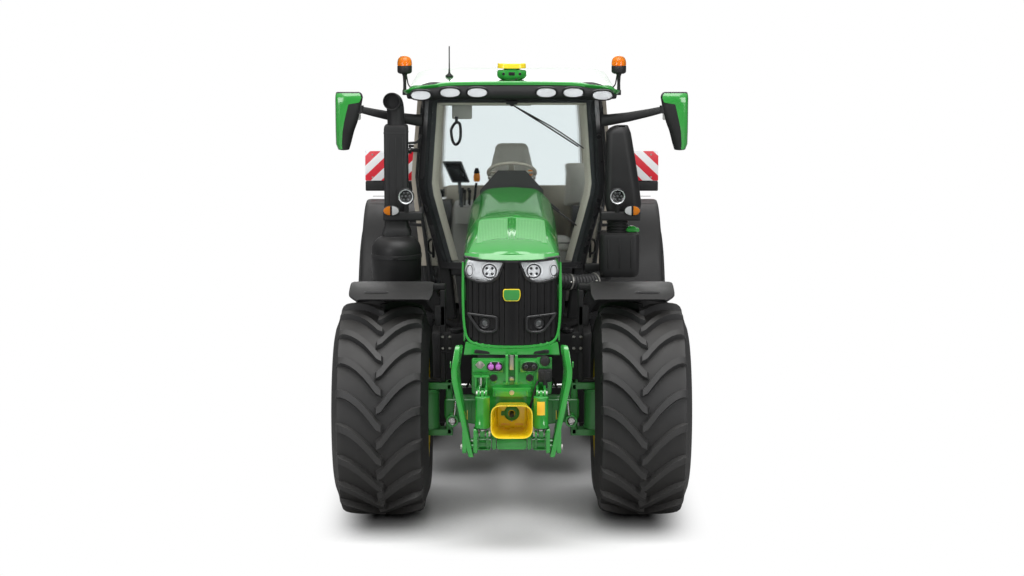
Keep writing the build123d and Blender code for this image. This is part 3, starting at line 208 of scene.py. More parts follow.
def oval(width, height, steps=32, power=2.0):
    """Closed curve x = w/2 |cos a|^(2/p), y = h/2 |sin a|^(2/p): an ellipse at power 2, squarer above it."""
    a = np.linspace(0, 2 * np.pi, steps, endpoint=False)
    c, s = np.cos(a), np.sin(a)
    return np.stack([width / 2 * np.sign(c) * np.abs(c) ** (2 / power), height / 2 * np.sign(s)
                     * np.abs(s) ** (2 / power)], 1)


def rectangle(x0, x1, y0, y1):
    """Four corners, once round."""
    return np.array([(x0, y0), (x1, y0), (x1, y1), (x0, y1)], float)


# %% Solids from outlines
PLANES = {"x": (1, 2, 0), "y": (0, 2, 1), "z": (0, 1, 2)}       # the outline's two axes, then its depth


def stacked(levels, axis):
    """Solid through outlines that stand at given depths: levels holds (outline, depth) pairs."""
    a, b, depth = PLANES[axis]
    points = np.zeros((len(levels), len(levels[0][0]), 3))
    for row, (outline, where) in zip(points, levels):
        row[:, a], row[:, b], row[:, depth] = outline[:, 0], outline[:, 1], where
    return sheet(points)


def plate(outline, start, end, axis, edge=2.0, steps=2):
    """Outline carried from start to end; both rims are drawn in along a quarter round of radius edge."""
    outline = np.array(outline, float)
    direction = 1 if end > start else -1
    turn = np.linspace(0, np.pi / 2, steps + 1)
    inset, depth = edge * (1 - np.sin(turn)), edge * (1 - np.cos(turn))
    levels = [(drawn_in(outline, i), start + direction * d) for i, d in zip(inset, depth)]
    levels += [(drawn_in(outline, i), end - direction * d) for i, d in zip(inset[::-1], depth[::-1])]
    return stacked(levels, axis)


def block(x0, x1, y0, y1, z0, z1, edge=4.0, corner=None, axis="z"):
    """Rounded block between two corners, built as a plate along the given axis."""
    a, b, depth = PLANES[axis]
    ends = [(x0, x1), (y0, y1), (z0, z1)]
    ends = [(min(e), max(e)) for e in ends]
    outline = rounded(rectangle(*ends[a], *ends[b]), corner or edge)
    return plate(outline, *ends[depth], axis, edge)


# %% [markdown]
# ## Turned and swept shapes
# A wheel, a lamp or a bolt is a profile turned round an axis. A pipe, a hose or a bent bar is a profile
# carried along a path, held upright by the cross product of the path's direction and a fixed up vector.

# %% Turned shapes
def turned(profile, centre, axis, steps=48, closed=False):
    """Points (distance, radius) of a profile carried round an axis through centre: centre + distance *
    axis + radius * (cos, sin)."""
    p = np.array(profile, float)
    k = AXES[axis]
    u, v = (k + 1) % 3, (k + 2) % 3
    angle = np.radians(np.linspace(0, 360, steps, endpoint=False))
    points = np.zeros((steps, len(p), 3))
    points[..., k] = p[None, :, 0]
    points[..., u] = p[None, :, 1] * np.cos(angle)[:, None]
    points[..., v] = p[None, :, 1] * np.sin(angle)[:, None]
    shape = sheet(points + np.array(centre, float), wrap_rows=True, wrap=closed, caps=closed)
    return weld(shape)


def hexagon(axis, across=18.0, height=9.0):
    """Bolt head: a six-sided turned profile with a chamfered top."""
    return turned([(0, 0), (0, across * 0.56), (height * 0.8, across * 0.56), (height, across * 0.47),
                   (height, 0)], (0, 0, 0), axis, steps=6)


def washer_bolt(axis, across=18.0, height=9.0):
    """Bolt head on a thin round washer."""
    washer = turned([(0, 0), (0, across * 0.85), (2, across * 0.85), (2, 0)], (0, 0, 0), axis, steps=16)
    return join(washer, hexagon(axis, across, height + 2))


# %% Swept shapes
def curved(points, steps=6):
    """Smooth path: quadratic curves between the middles of the runs, with each given point as a control
    point."""
    p = np.array(points, float)
    middle = (p[1:] + p[:-1]) / 2
    start, end = np.concatenate([p[:1], middle[1:]]), np.concatenate([middle[:-1], p[-1:]])
    start, end, control = start[:len(p) - 2], end[-(len(p) - 2):], p[1:-1]
    t = np.linspace(0, 1, steps, endpoint=False)[(None, slice(None)) + (None,) * (p.ndim - 1)]
    curve = (1 - t) ** 2 * start[:, None] + 2 * t * (1 - t) * control[:, None] + t ** 2 * end[:, None]
    return np.concatenate([curve.reshape((-1,) + p.shape[1:]), p[-1:]])


def swept(profile, path, up=(0, 0, 1), sizes=None):
    """Profile (side, up) carried along a path: point = path + side * (direction x up) + up * the third
    direction."""
    profile, path = np.array(profile, float), np.array(path, float)
    ahead = np.gradient(path, axis=0)
    ahead /= np.linalg.norm(ahead, axis=1)[:, None]
    side = np.cross(ahead, np.array(up, float))
    side /= np.linalg.norm(side, axis=1)[:, None]
    over = np.cross(side, ahead)
    size = np.ones(len(path)) if sizes is None else np.array(sizes, float)
    across = profile[None, :, 0, None] * side[:, None] + profile[None, :, 1, None] * over[:, None]
    return sheet(path[:, None] + size[:, None, None] * across)


def pipe(path, radius, up=(0, 0, 1), sides=12):
    return swept(oval(2 * radius, 2 * radius, sides), path, up)


def rod(a, b, radius, sides=16):
    """Round bar between two points with slightly broken edges."""
    a, b = np.array(a, float), np.array(b, float)
    along = (b - a) / np.linalg.norm(b - a)
    up = (0, 0, 1) if abs(along[2]) < 0.9 else (0, 1, 0)
    edge = min(2.0, radius * 0.2)
    path = np.stack([a, a + along * edge, b - along * edge, b])
    return swept(oval(2 * radius, 2 * radius, sides), path, up,
                 sizes=[1 - edge / radius, 1, 1, 1 - edge / radius])


print("shape helpers ready")

# %% [markdown]
# ## Effects that several finishes share
# Paint, plastic, rubber and iron all need the same few effects: a soft change of colour over a large
# panel, a fine grain that breaks up the gloss, dust that settles on what faces up, and edges that have
# rubbed a little paler. Each is one node group with named inputs, so every material sets its own amounts.

# %% Node group helpers
def new_group(name, inputs, outputs):
    """Empty node group with named sockets; inputs and outputs are (name, kind) pairs."""
    group = bpy.data.node_groups.new(name, "ShaderNodeTree")
    for label, kind in inputs:
        group.interface.new_socket(label, in_out="INPUT", socket_type="NodeSocket" + kind)
    for label, kind in outputs:
        group.interface.new_socket(label, in_out="OUTPUT", socket_type="NodeSocket" + kind)
    return group, group.nodes.new("NodeGroupInput"), group.nodes.new("NodeGroupOutput")


def node(tree, kind, settings=None, links=None):
    """Adds a node, sets its options or socket values, and links its inputs to the outputs given."""
    new = tree.nodes.new("ShaderNode" + kind)
    for key, value in (settings or {}).items():
        if isinstance(key, str) and hasattr(new, key):
            setattr(new, key, value)
        else:
            new.inputs[key].default_value = value
    for key, output in (links or {}).items():
        tree.links.new(output, new.inputs[key])
    return new


def new_material(name):
    """Fresh material with its node tree and its principled shader."""
    material = bpy.data.materials.new(name)
    material.use_nodes = True
    return material, material.node_tree, material.node_tree.nodes["Principled BSDF"]


def maths(tree, operation, values, links=None):
    """One Math node; values and links go to its numbered inputs."""
    return node(tree, "Math", {"operation": operation, **values}, links)


# %% Soft colour change
mottle, inside, outside = new_group("mottle",
                                    [("Place", "Vector"), ("Colour", "Color"), ("Second Colour", "Color"),
                                     ("Scale", "Float")],
                                    [("Colour", "Color"), ("Mask", "Float")])
clouds = node(mottle, "TexNoise", {"Detail": 5.0, "Roughness": 0.6},
              {"Vector": inside.outputs["Place"], "Scale": inside.outputs["Scale"]})
spread = node(mottle, "MapRange", {"From Min": 0.35, "From Max": 0.68}, {"Value": clouds.outputs["Fac"]})
blend = node(mottle, "Mix", {"data_type": "RGBA"}, {0: spread.outputs[0], 6: inside.outputs["Colour"],
        7: inside.outputs["Second Colour"]})
mottle.links.new(blend.outputs[2], outside.inputs["Colour"])
mottle.links.new(spread.outputs[0], outside.inputs["Mask"])

# %% Fine grain
grain, inside, outside = new_group("grain", [("Place", "Vector"), ("Scale", "Float")], [("Height", "Float")])
cells = node(grain, "TexVoronoi", {"Randomness": 1.0},
             {"Vector": inside.outputs["Place"], "Scale": inside.outputs["Scale"]})
haze = node(grain, "TexNoise", {"Detail": 4.0},
            {"Vector": inside.outputs["Place"], "Scale": inside.outputs["Scale"]})
both_grains = maths(grain, "MULTIPLY", {}, {0: cells.outputs["Distance"], 1: haze.outputs["Fac"]})
grain.links.new(both_grains.outputs[0], outside.inputs["Height"])

# %% Settled dust
dust, inside, outside = new_group("dust", [("Place", "Vector"), ("Colour", "Color"), ("Dust Colour", "Color"),
                                           ("Amount", "Float")],
                                  [("Colour", "Color"), ("Mask", "Float")])
facing = node(dust, "NewGeometry")
up_part = node(dust, "SeparateXYZ", links={0: facing.outputs["Normal"]})
height = node(dust, "SeparateXYZ", links={0: inside.outputs["Place"]})
upward = node(dust, "MapRange", {"From Min": 0.1, "From Max": 1.0, "To Max": 0.7},
              {"Value": up_part.outputs["Z"]})
low = node(dust, "MapRange", {"From Min": 1.1, "From Max": 0.0, "To Max": 0.8},
           {"Value": height.outputs["Z"]})
patches = node(dust, "TexNoise", {"Scale": 9.0, "Detail": 6.0, "Roughness": 0.65},
               {"Vector": inside.outputs["Place"]})
sum_of = maths(dust, "MAXIMUM", {}, {0: upward.outputs[0], 1: low.outputs[0]})
patchy = maths(dust, "MULTIPLY", {}, {0: sum_of.outputs[0], 1: patches.outputs["Fac"]})
amount = maths(dust, "MULTIPLY", {"use_clamp": True}, {0: patchy.outputs[0], 1: inside.outputs["Amount"]})
laid = node(dust, "Mix", {"data_type": "RGBA"}, {0: amount.outputs[0], 6: inside.outputs["Colour"],
        7: inside.outputs["Dust Colour"]})
dust.links.new(laid.outputs[2], outside.inputs["Colour"])
dust.links.new(amount.outputs[0], outside.inputs["Mask"])

# %% Rubbed edges
rub, inside, outside = new_group("rubbed_edges", [("Colour", "Color"), ("Worn Colour", "Color"),
        ("Amount", "Float")],
                                 [("Colour", "Color"), ("Mask", "Float")])
shape_of = node(rub, "NewGeometry")
ridge = node(rub, "MapRange", {"From Min": 0.51, "From Max": 0.62}, {"Value": shape_of.outputs["Pointiness"]})
share = maths(rub, "MULTIPLY", {"use_clamp": True}, {0: ridge.outputs[0], 1: inside.outputs["Amount"]})
paled = node(rub, "Mix", {"data_type": "RGBA"}, {0: share.outputs[0], 6: inside.outputs["Colour"],
        7: inside.outputs["Worn Colour"]})
rub.links.new(paled.outputs[2], outside.inputs["Colour"])
rub.links.new(share.outputs[0], outside.inputs["Mask"])
print("four shared effects ready")

# %% [markdown]
# ## One recipe for opaque finishes
# Every opaque finish follows one chain: base colour with a soft change, rubbed edges, dust, then a
# roughness that varies with the grain, and a bump from the same grain. What differs is the numbers.

# %% The opaque recipe
finishes = {}
DUST = (0.42, 0.37, 0.29, 1)


def opaque(name, colour, second, rough, worn=None, rub_amount=0.3, dusty=0.25, scale=2.5, grain_scale=400.0,
           bump=0.05, metallic=0.0, coat=0.0, coat_rough=0.05, specular=0.5):
    """Principled material with the four shared effects; rough is the (lowest, highest) roughness."""
    material, tree, shader = new_material(name)
    place = node(tree, "TexCoord").outputs["Object"]
    worn = worn or tuple(min(1.0, c * 1.6 + 0.02) for c in colour)
    tone = tree.nodes.new("ShaderNodeGroup")
    tone.node_tree = mottle
    tree.links.new(place, tone.inputs["Place"])
    tone.inputs["Colour"].default_value = (*colour, 1)
    tone.inputs["Second Colour"].default_value = (*second, 1)
    tone.inputs["Scale"].default_value = scale
    edge = tree.nodes.new("ShaderNodeGroup")
    edge.node_tree = rub
    edge.inputs["Worn Colour"].default_value = (*worn, 1)
    edge.inputs["Amount"].default_value = rub_amount
    tree.links.new(tone.outputs["Colour"], edge.inputs["Colour"])
    dirt = tree.nodes.new("ShaderNodeGroup")
    dirt.node_tree = dust
    dirt.inputs["Dust Colour"].default_value = DUST
    dirt.inputs["Amount"].default_value = dusty
    tree.links.new(place, dirt.inputs["Place"])
    tree.links.new(edge.outputs["Colour"], dirt.inputs["Colour"])
    tree.links.new(dirt.outputs["Colour"], shader.inputs["Base Color"])
    fine = tree.nodes.new("ShaderNodeGroup")
    fine.node_tree = grain
    fine.inputs["Scale"].default_value = grain_scale
    tree.links.new(place, fine.inputs["Place"])
    gloss = node(tree, "MapRange", {"To Min": rough[0], "To Max": rough[1]}, {"Value": tone.outputs["Mask"]})
    dulled = maths(tree, "ADD", {"use_clamp": True}, {0: gloss.outputs[0], 1: dirt.outputs["Mask"]})
    tree.links.new(dulled.outputs[0], shader.inputs["Roughness"])
    relief = node(tree, "Bump", {"Strength": bump, "Distance": 0.001}, {"Height": fine.outputs["Height"]})
    tree.links.new(relief.outputs["Normal"], shader.inputs["Normal"])
    shader.inputs["Metallic"].default_value = metallic
    shader.inputs["Coat Weight"].default_value = coat
    shader.inputs["Coat Roughness"].default_value = coat_rough
    shader.inputs["Specular IOR Level"].default_value = specular
    finishes[name] = material
    return material


# %% [markdown]
# ## The finishes
# The body is bright green lacquer under a clear coat, the chassis the same green a little duller. Rims,
# shield and receiver cap are warm yellow. Moulded plastic is nearly black with a fine stipple, and rubber
# is darker still and quite dull.

# %% Painted and moulded finishes
opaque("green_lacquer", (0.018, 0.255, 0.030), (0.022, 0.285, 0.036), (0.18, 0.26), dusty=0.02,
       rub_amount=0.1, coat=0.8, bump=0.01, worn=(0.10, 0.42, 0.12))
opaque("green_chassis", (0.016, 0.185, 0.026), (0.022, 0.225, 0.034), (0.28, 0.42), dusty=0.06,
       rub_amount=0.35, coat=0.2, bump=0.05, worn=(0.11, 0.36, 0.13))
opaque("yellow_lacquer", (0.86, 0.62, 0.004), (0.90, 0.67, 0.006), (0.22, 0.32), dusty=0.05, coat=0.5,
       bump=0.02, worn=(0.85, 0.68, 0.15))
opaque("black_plastic", (0.011, 0.011, 0.0115), (0.016, 0.016, 0.0165), (0.42, 0.58), dusty=0.03,
       specular=0.3, bump=0.25, grain_scale=900.0, worn=(0.05, 0.05, 0.052))
opaque("grille_black", (0.005, 0.005, 0.0055), (0.008, 0.008, 0.0085), (0.40, 0.55), dusty=0.01, specular=0.2,
       bump=0.1, grain_scale=900.0, worn=(0.03, 0.03, 0.03))
opaque("cab_slate", (0.055, 0.06, 0.062), (0.075, 0.08, 0.082), (0.3, 0.45), dusty=0.02, bump=0.05)
opaque("black_smooth", (0.010, 0.010, 0.011), (0.014, 0.014, 0.015), (0.22, 0.34), dusty=0.02, bump=0.05,
       worn=(0.04, 0.04, 0.042))
opaque("black_metal", (0.011, 0.011, 0.012), (0.015, 0.015, 0.016), (0.36, 0.5), dusty=0.03, specular=0.35,
       bump=0.12, grain_scale=600.0, worn=(0.07, 0.07, 0.072))
opaque("iron_casting", (0.020, 0.021, 0.022), (0.030, 0.030, 0.032), (0.45, 0.62), dusty=0.12, bump=0.5,
       grain_scale=220.0, worn=(0.09, 0.09, 0.09))
opaque("rubber", (0.013, 0.013, 0.0135), (0.018, 0.018, 0.0185), (0.55, 0.72), dusty=0.07, bump=0.35,
       grain_scale=500.0, rub_amount=0.4, worn=(0.055, 0.055, 0.056))
opaque("rubber_soft", (0.009, 0.009, 0.010), (0.013, 0.013, 0.014), (0.50, 0.65), dusty=0.02, bump=0.15,
       worn=(0.03, 0.03, 0.03))
opaque("cab_beige", (0.40, 0.36, 0.29), (0.44, 0.40, 0.33), (0.5, 0.62), dusty=0.02, bump=0.2,
       grain_scale=900.0)
opaque("cab_grey", (0.25, 0.235, 0.21), (0.29, 0.275, 0.245), (0.5, 0.62), dusty=0.02, bump=0.2,
       grain_scale=900.0)
opaque("orange_plastic", (0.86, 0.24, 0.02), (0.90, 0.29, 0.03), (0.28, 0.36), dusty=0.0, bump=0.05)
opaque("purple_plastic", (0.36, 0.10, 0.42), (0.42, 0.13, 0.47), (0.35, 0.45), dusty=0.0, bump=0.05)
opaque("yellow_label", (0.85, 0.48, 0.03), (0.80, 0.44, 0.03), (0.3, 0.4), dusty=0.0, bump=0.03)

# %% Metal finishes
opaque("bright_steel", (0.52, 0.52, 0.51), (0.62, 0.62, 0.60), (0.18, 0.32), dusty=0.02, metallic=1.0,
       bump=0.06, scale=14.0, worn=(0.8, 0.8, 0.8))
opaque("zinc", (0.42, 0.41, 0.38), (0.55, 0.53, 0.48), (0.3, 0.45), dusty=0.05, metallic=0.9, bump=0.1,
       scale=30.0, worn=(0.7, 0.7, 0.68))
opaque("lamp_silver", (0.60, 0.62, 0.63), (0.68, 0.70, 0.71), (0.16, 0.26), dusty=0.0, metallic=0.35,
       bump=0.01, worn=(0.95, 0.95, 0.95))
print(len(finishes), "opaque finishes")

# %% [markdown]
# ## Glass, lamps and woven cloth
# Clear things don't follow the opaque recipe. Window glass is a thin, faintly green pane that lets most
# light through. Lamp covers are clear and colourless, beacons and turn lamps are amber. Seat cloth has a
# weave made of two crossing waves, and the boards' stripes are bands that run across at an angle.

# %% Window glass
def clear(name, colour, rough, transmission, ior=1.45, alpha=1.0, streaks=0.0):
    """Principled glass: its transmission and metallic are plain numbers, only its roughness carries faint
    streaks."""
    material, tree, shader = new_material(name)
    place = node(tree, "TexCoord").outputs["Object"]
    wiped = node(tree, "TexNoise", {"Scale": 3.0, "Detail": 5.0}, {"Vector": place})
    haze = node(tree, "MapRange", {"From Min": 0.45, "From Max": 0.75, "To Min": rough, "To Max": rough
                                   + streaks}, {"Value": wiped.outputs["Fac"]})
    tree.links.new(haze.outputs[0], shader.inputs["Roughness"])
    tint = node(tree, "Mix", {"data_type": "RGBA", 6: (*colour, 1), 7: (*[c * 0.94 for c in colour], 1)},
                {0: wiped.outputs["Fac"]})
    tree.links.new(tint.outputs[2], shader.inputs["Base Color"])
    shader.inputs["Transmission Weight"].default_value = transmission
    shader.inputs["IOR"].default_value = ior
    shader.inputs["Alpha"].default_value = alpha
    finishes[name] = material
    return material


clear("window_glass", (0.72, 0.82, 0.83), 0.0, 1.0, ior=1.03, alpha=0.42, streaks=0.02)
clear("lamp_cover", (0.97, 0.98, 1.0), 0.02, 1.0, ior=1.18, alpha=0.35, streaks=0.02)
clear("amber_lens", (1.0, 0.30, 0.02), 0.12, 0.55, ior=1.4, streaks=0.06)
clear("clear_lens", (0.93, 0.95, 0.96), 0.10, 0.6, ior=1.4, streaks=0.05)


# %% Woven seat cloth
def woven(name, colour, second, threads=520.0):
    """Cloth whose colour and height come from two crossing sine waves in the seat's own width and length."""
    material, tree, shader = new_material(name)
    place = node(tree, "TexCoord").outputs["Object"]
    across = node(tree, "TexWave", {"bands_direction": "X", "Scale": threads / 6.28, "Distortion": 1.2,
                                    "Detail": 2.0}, {"Vector": place})
    along = node(tree, "TexWave", {"bands_direction": "DIAGONAL", "Scale": threads / 6.28, "Distortion": 1.2,
                                   "Detail": 2.0}, {"Vector": place})
    crossing = maths(tree, "MULTIPLY", {}, {0: across.outputs["Fac"], 1: along.outputs["Fac"]})
    worn_place = node(tree, "TexNoise", {"Scale": 6.0, "Detail": 4.0}, {"Vector": place})
    shade = maths(tree, "ADD", {1: -0.25}, {0: worn_place.outputs["Fac"]})
    factor = maths(tree, "ADD", {"use_clamp": True}, {0: crossing.outputs[0], 1: shade.outputs[0]})
    tone = node(tree, "Mix", {"data_type": "RGBA", 6: (*second, 1), 7: (*colour, 1)}, {0: factor.outputs[0]})
    tree.links.new(tone.outputs[2], shader.inputs["Base Color"])
    relief = node(tree, "Bump", {"Strength": 0.5, "Distance": 0.0008}, {"Height": crossing.outputs[0]})
    tree.links.new(relief.outputs["Normal"], shader.inputs["Normal"])
    shader.inputs["Roughness"].default_value = 0.85
    shader.inputs["Sheen Weight"].default_value = 0.3
    finishes[name] = material
    return material


woven("seat_cloth", (0.60, 0.57, 0.51), (0.42, 0.40, 0.35))
woven("seat_edge", (0.085, 0.08, 0.07), (0.05, 0.047, 0.04))
woven("belt_web", (0.035, 0.035, 0.036), (0.018, 0.018, 0.018), 900.0)


# %% Striped board foil
def striped(name, pitch=0.14, slope=1.0):
    """Red and white bands: the sign of sin(2 pi (z - slope * |x|) / pitch) picks the colour, so both
    boards mirror each other."""
    material, tree, shader = new_material(name)
    place = node(tree, "SeparateXYZ", links={0: node(tree, "TexCoord").outputs["Object"]})
    sideways = maths(tree, "ABSOLUTE", {}, {0: place.outputs["X"]})
    leaning = maths(tree, "MULTIPLY_ADD", {1: slope}, {0: sideways.outputs[0], 2: place.outputs["Z"]})
    phase = maths(tree, "MULTIPLY", {1: 2 * math.pi / pitch}, {0: leaning.outputs[0]})
    wave = maths(tree, "SINE", {}, {0: phase.outputs[0]})
    band = node(tree, "MapRange", {"From Min": -0.02, "From Max": 0.02}, {"Value": wave.outputs[0]})
    beads = node(tree, "TexVoronoi", {"Scale": 1400.0}, {"Vector": node(tree, "TexCoord").outputs["Object"]})
    foil = node(tree, "Mix", {"data_type": "RGBA", 6: (0.86, 0.86, 0.87, 1), 7: (0.70, 0.012, 0.03, 1)},
                {0: band.outputs[0]})
    tree.links.new(foil.outputs[2], shader.inputs["Base Color"])
    relief = node(tree, "Bump", {"Strength": 0.2, "Distance": 0.0004}, {"Height": beads.outputs["Distance"]})
    tree.links.new(relief.outputs["Normal"], shader.inputs["Normal"])
    shader.inputs["Roughness"].default_value = 0.3
    finishes[name] = material
    return material


striped("board_foil", pitch=0.17, slope=0.95)

# %% Screened vents
def screened(name, colour, hole, pitch=0.0105, open_share=0.5):
    """Perforated sheet: a lattice of dark round holes from sin * sin of the two sheet directions."""
    material, tree, shader = new_material(name)
    place = node(tree, "SeparateXYZ", links={0: node(tree, "TexCoord").outputs["Object"]})
    waves = []
    for axis in "XY":
        turn = maths(tree, "MULTIPLY", {1: math.pi / pitch}, {0: place.outputs[axis]})
        swing = maths(tree, "SINE", {}, {0: turn.outputs[0]})
        waves.append(maths(tree, "ABSOLUTE", {}, {0: swing.outputs[0]}).outputs[0])
    lattice = maths(tree, "MULTIPLY", {}, {0: waves[0], 1: waves[1]})
    opening = node(tree, "MapRange", {"From Min": open_share - 0.12, "From Max": open_share + 0.12},
                   {"Value": lattice.outputs[0]})
    tone = node(tree, "Mix", {"data_type": "RGBA", 6: (*colour, 1), 7: (*hole, 1)}, {0: opening.outputs[0]})
    tree.links.new(tone.outputs[2], shader.inputs["Base Color"])
    relief = node(tree, "Bump", {"Strength": 0.6, "Distance": 0.002}, {"Height": lattice.outputs[0]})
    tree.links.new(relief.outputs["Normal"], shader.inputs["Normal"])
    shader.inputs["Roughness"].default_value = 0.35
    finishes[name] = material
    return material


# The green screen's sheet is a much paler green than the hood's own paint: a painted highlight for the light
# the screens catch. Its holes are about the hood's own green.
screened("green_screen_painted_highlight", (0.17, 0.46, 0.18), (0.05, 0.22, 0.06))
screened("black_screen", (0.02, 0.02, 0.021), (0.004, 0.004, 0.004))
print(len(finishes), "finishes in all")

# %% [markdown]
# ## Making a piece
# Every new piece goes through one function: it joins the shapes, moves them into the frame, points the
# faces outwards, rounds the shading below a crease angle, hangs the piece on the body that carries it,
# gives it its finish and hides the plain nodes that it stands for.

# %% The piece maker
usual_slot = {
    "green_lacquer": "body_green", "black_screen": "black_plastic", "black_plastic": "black_plastic",
    "black_smooth": "black_plastic", "rubber_soft": "black_plastic", "yellow_lacquer": "yellow",
    "yellow_label": "yellow", "green_chassis": "chassis_green", "cab_slate": "lamp_glass",
    "lamp_silver": "lamp_glass", "lamp_cover": "glass", "zinc": "steel", "bright_steel": "steel",
    "black_metal": "black_metal", "cab_beige": "cab_plastic", "cab_grey": "cab_plastic",
    "orange_plastic": "amber",
}


def piece(name, shapes, finish, body="chassis", slot=None, crease=38, replaces=()):
    """Mesh object from one shape or a list of shapes, on its body and in its finish; slot is not used."""
    slot = slot or usual_slot[finish]
    shapes = shapes if isinstance(shapes, list) else [shapes]
    points, faces = join(*[weld(shape) for shape in shapes])
    mesh = bpy.data.meshes.new(name)
    mesh.from_pydata(points * MM + np.array([0, front_axle_y, 0]), [], faces)
    work = bmesh.new()
    work.from_mesh(mesh)
    bmesh.ops.recalc_face_normals(work, faces=work.faces)
    work.to_mesh(mesh)
    work.free()
    mesh.shade_smooth()
    mesh.set_sharp_from_angle(angle=math.radians(crease))
    mesh.materials.append(finishes[finish])
    made = bpy.data.objects.new(name, mesh)
    bpy.context.scene.collection.objects.link(made)
    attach(made, body)
    if replaces:
        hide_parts(*replaces)
    return made


# %% [markdown]
# ## Finishes for the plain nodes
# The record names a slot for every node. Nodes whose solid is already right keep it and only take the
# finish that belongs to their slot.

# %% Dress the plain nodes
slot_finish = {
    "body_green": "green_lacquer", "chassis_green": "green_chassis", "black_plastic": "black_plastic",
    "black_metal": "black_metal", "casting": "iron_casting", "yellow": "yellow_lacquer", "tyre": "rubber",
    "glass": "window_glass", "lamp_glass": "lamp_silver", "amber": "amber_lens", "seat_fabric": "seat_cloth",
    "cab_plastic": "cab_grey", "board": "board_foil", "steel": "bright_steel",
}
for part in frame["record"]["subparts"]:
    mesh = frame["nodes"][part["node"]].data
    mesh.materials.clear()
    mesh.materials.append(finishes[slot_finish[part["material_slot"]]])

# %% [markdown]
# ## The studio
# The machine stands on a white floor. Under it and close round the tyres the floor takes real shadow,
# and its colour is darkened there as well by painted shade from an occlusion mask. A step further out it
# glows to pure white, for camera rays only, so no horizon shows. The sky is bright overhead and dim at the
# horizon for reflections, which keeps the green deep on the sides.

# %% Floor
stage_size = 70.0


def white_floor():
    """White floor: its own light fades in with the distance from a rounded box round the wheels, (|x| - a,
    |y| - b) clipped at zero."""
    material = bpy.data.materials.new("studio_floor")
    material.use_nodes = True
    tree = material.node_tree
    tree.nodes.remove(tree.nodes["Principled BSDF"])
    output = tree.nodes["Material Output"]
    place = node(tree, "TexCoord").outputs["Object"]
    apart = node(tree, "SeparateXYZ", links={0: place})
    beyond = []
    for axis, reach in (("X", 0.99), ("Y", 2.30)):
        size = maths(tree, "ABSOLUTE", {}, {0: apart.outputs[axis]})
        beyond.append(maths(tree, "SUBTRACT", {1: reach}, {0: size.outputs[0]}))
    clipped = [maths(tree, "MAXIMUM", {1: 0.0}, {0: part.outputs[0]}) for part in beyond]
    offset = node(tree, "CombineXYZ", links={0: clipped[0].outputs[0], 1: clipped[1].outputs[0]})
    far = node(tree, "VectorMath", {"operation": "LENGTH"}, {0: offset.outputs[0]})
    fade = node(tree, "MapRange", {"interpolation_type": "SMOOTHSTEP", "From Min": 0.0, "From Max": 0.44},
                {"Value": far.outputs["Value"]})
    speckle = node(tree, "TexNoise", {"Scale": 30.0}, {"Vector": place})
    tone = node(tree, "MapRange", {"To Min": 0.84, "To Max": 0.88}, {"Value": speckle.outputs["Fac"]})
    # Painted shade: an occlusion mask darkens the floor's colour under and close round the machine, on top of
    # the lamps' real shadow.
    painted_contact_shade = tree.nodes.new("ShaderNodeAmbientOcclusion")
    painted_contact_shade.inputs["Distance"].default_value = 0.50
    painted_contact_shade.samples = 8
    deep = maths(tree, "POWER", {1: 0.92}, {0: painted_contact_shade.outputs["AO"]})
    painted_shade_tone = maths(tree, "MULTIPLY", {}, {0: tone.outputs[0], 1: deep.outputs[0]})
    rays = node(tree, "LightPath")
    dim = node(tree, "MapRange", {"To Min": 0.42, "To Max": 1.0}, {"Value": rays.outputs["Is Camera Ray"]})
    albedo = maths(tree, "MULTIPLY", {}, {0: painted_shade_tone.outputs[0], 1: dim.outputs[0]})
    matte = node(tree, "BsdfDiffuse", links={"Color": albedo.outputs[0]})
    seen = maths(tree, "MAXIMUM", {},
                 {0: rays.outputs["Is Camera Ray"], 1: rays.outputs["Is Transmission Ray"]})
    white = node(tree, "Emission", {"Strength": 1.0})
    share = maths(tree, "MULTIPLY", {}, {0: fade.outputs[0], 1: seen.outputs[0]})
    whole = node(tree, "MixShader", links={0: share.outputs[0], 1: matte.outputs[0], 2: white.outputs[0]})
    tree.links.new(whole.outputs[0], output.inputs["Surface"])
    return material


floor_mesh = bpy.data.meshes.new("floor")
corner = stage_size / 2
floor_mesh.from_pydata([(-corner, -corner, 0), (corner, -corner, 0), (corner, corner, 0),
                        (-corner, corner, 0)], [], [(0, 1, 2, 3)])
floor_mesh.materials.append(white_floor())
floor = bpy.data.objects.new("floor", floor_mesh)
bpy.context.scene.collection.objects.link(floor)
floor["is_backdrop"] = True

# %% World
world = bpy.data.worlds.new("studio")
bpy.context.scene.world = world
world.use_nodes = True
tree = world.node_tree
background = tree.nodes["Background"]
background.inputs["Color"].default_value = (1, 1, 1, 1)
rays = node(tree, "LightPath")
through = maths(tree, "MAXIMUM", {},
                {0: rays.outputs["Is Camera Ray"], 1: rays.outputs["Is Transmission Ray"]})
bounced = maths(tree, "GREATER_THAN", {1: 0.5}, {0: rays.outputs["Glossy Depth"]})
direct = maths(tree, "SUBTRACT", {0: 1.0}, {1: bounced.outputs[0]})
seen = maths(tree, "MULTIPLY", {}, {0: through.outputs[0], 1: direct.outputs[0]})
way = node(tree, "SeparateXYZ", links={0: node(tree, "TexCoord").outputs["Generated"]})
overhead = node(tree, "MapRange", {"interpolation_type": "SMOOTHSTEP", "From Min": 0.15, "From Max": 0.85,
                                   "To Min": 0.10, "To Max": 0.85}, {"Value": way.outputs["Z"]})
panels = maths(tree, "ADD", {}, {0: rays.outputs["Transmission Depth"], 1: rays.outputs["Transparent Depth"]})
clear_way = maths(tree, "LESS_THAN", {1: 0.5}, {0: panels.outputs[0]})
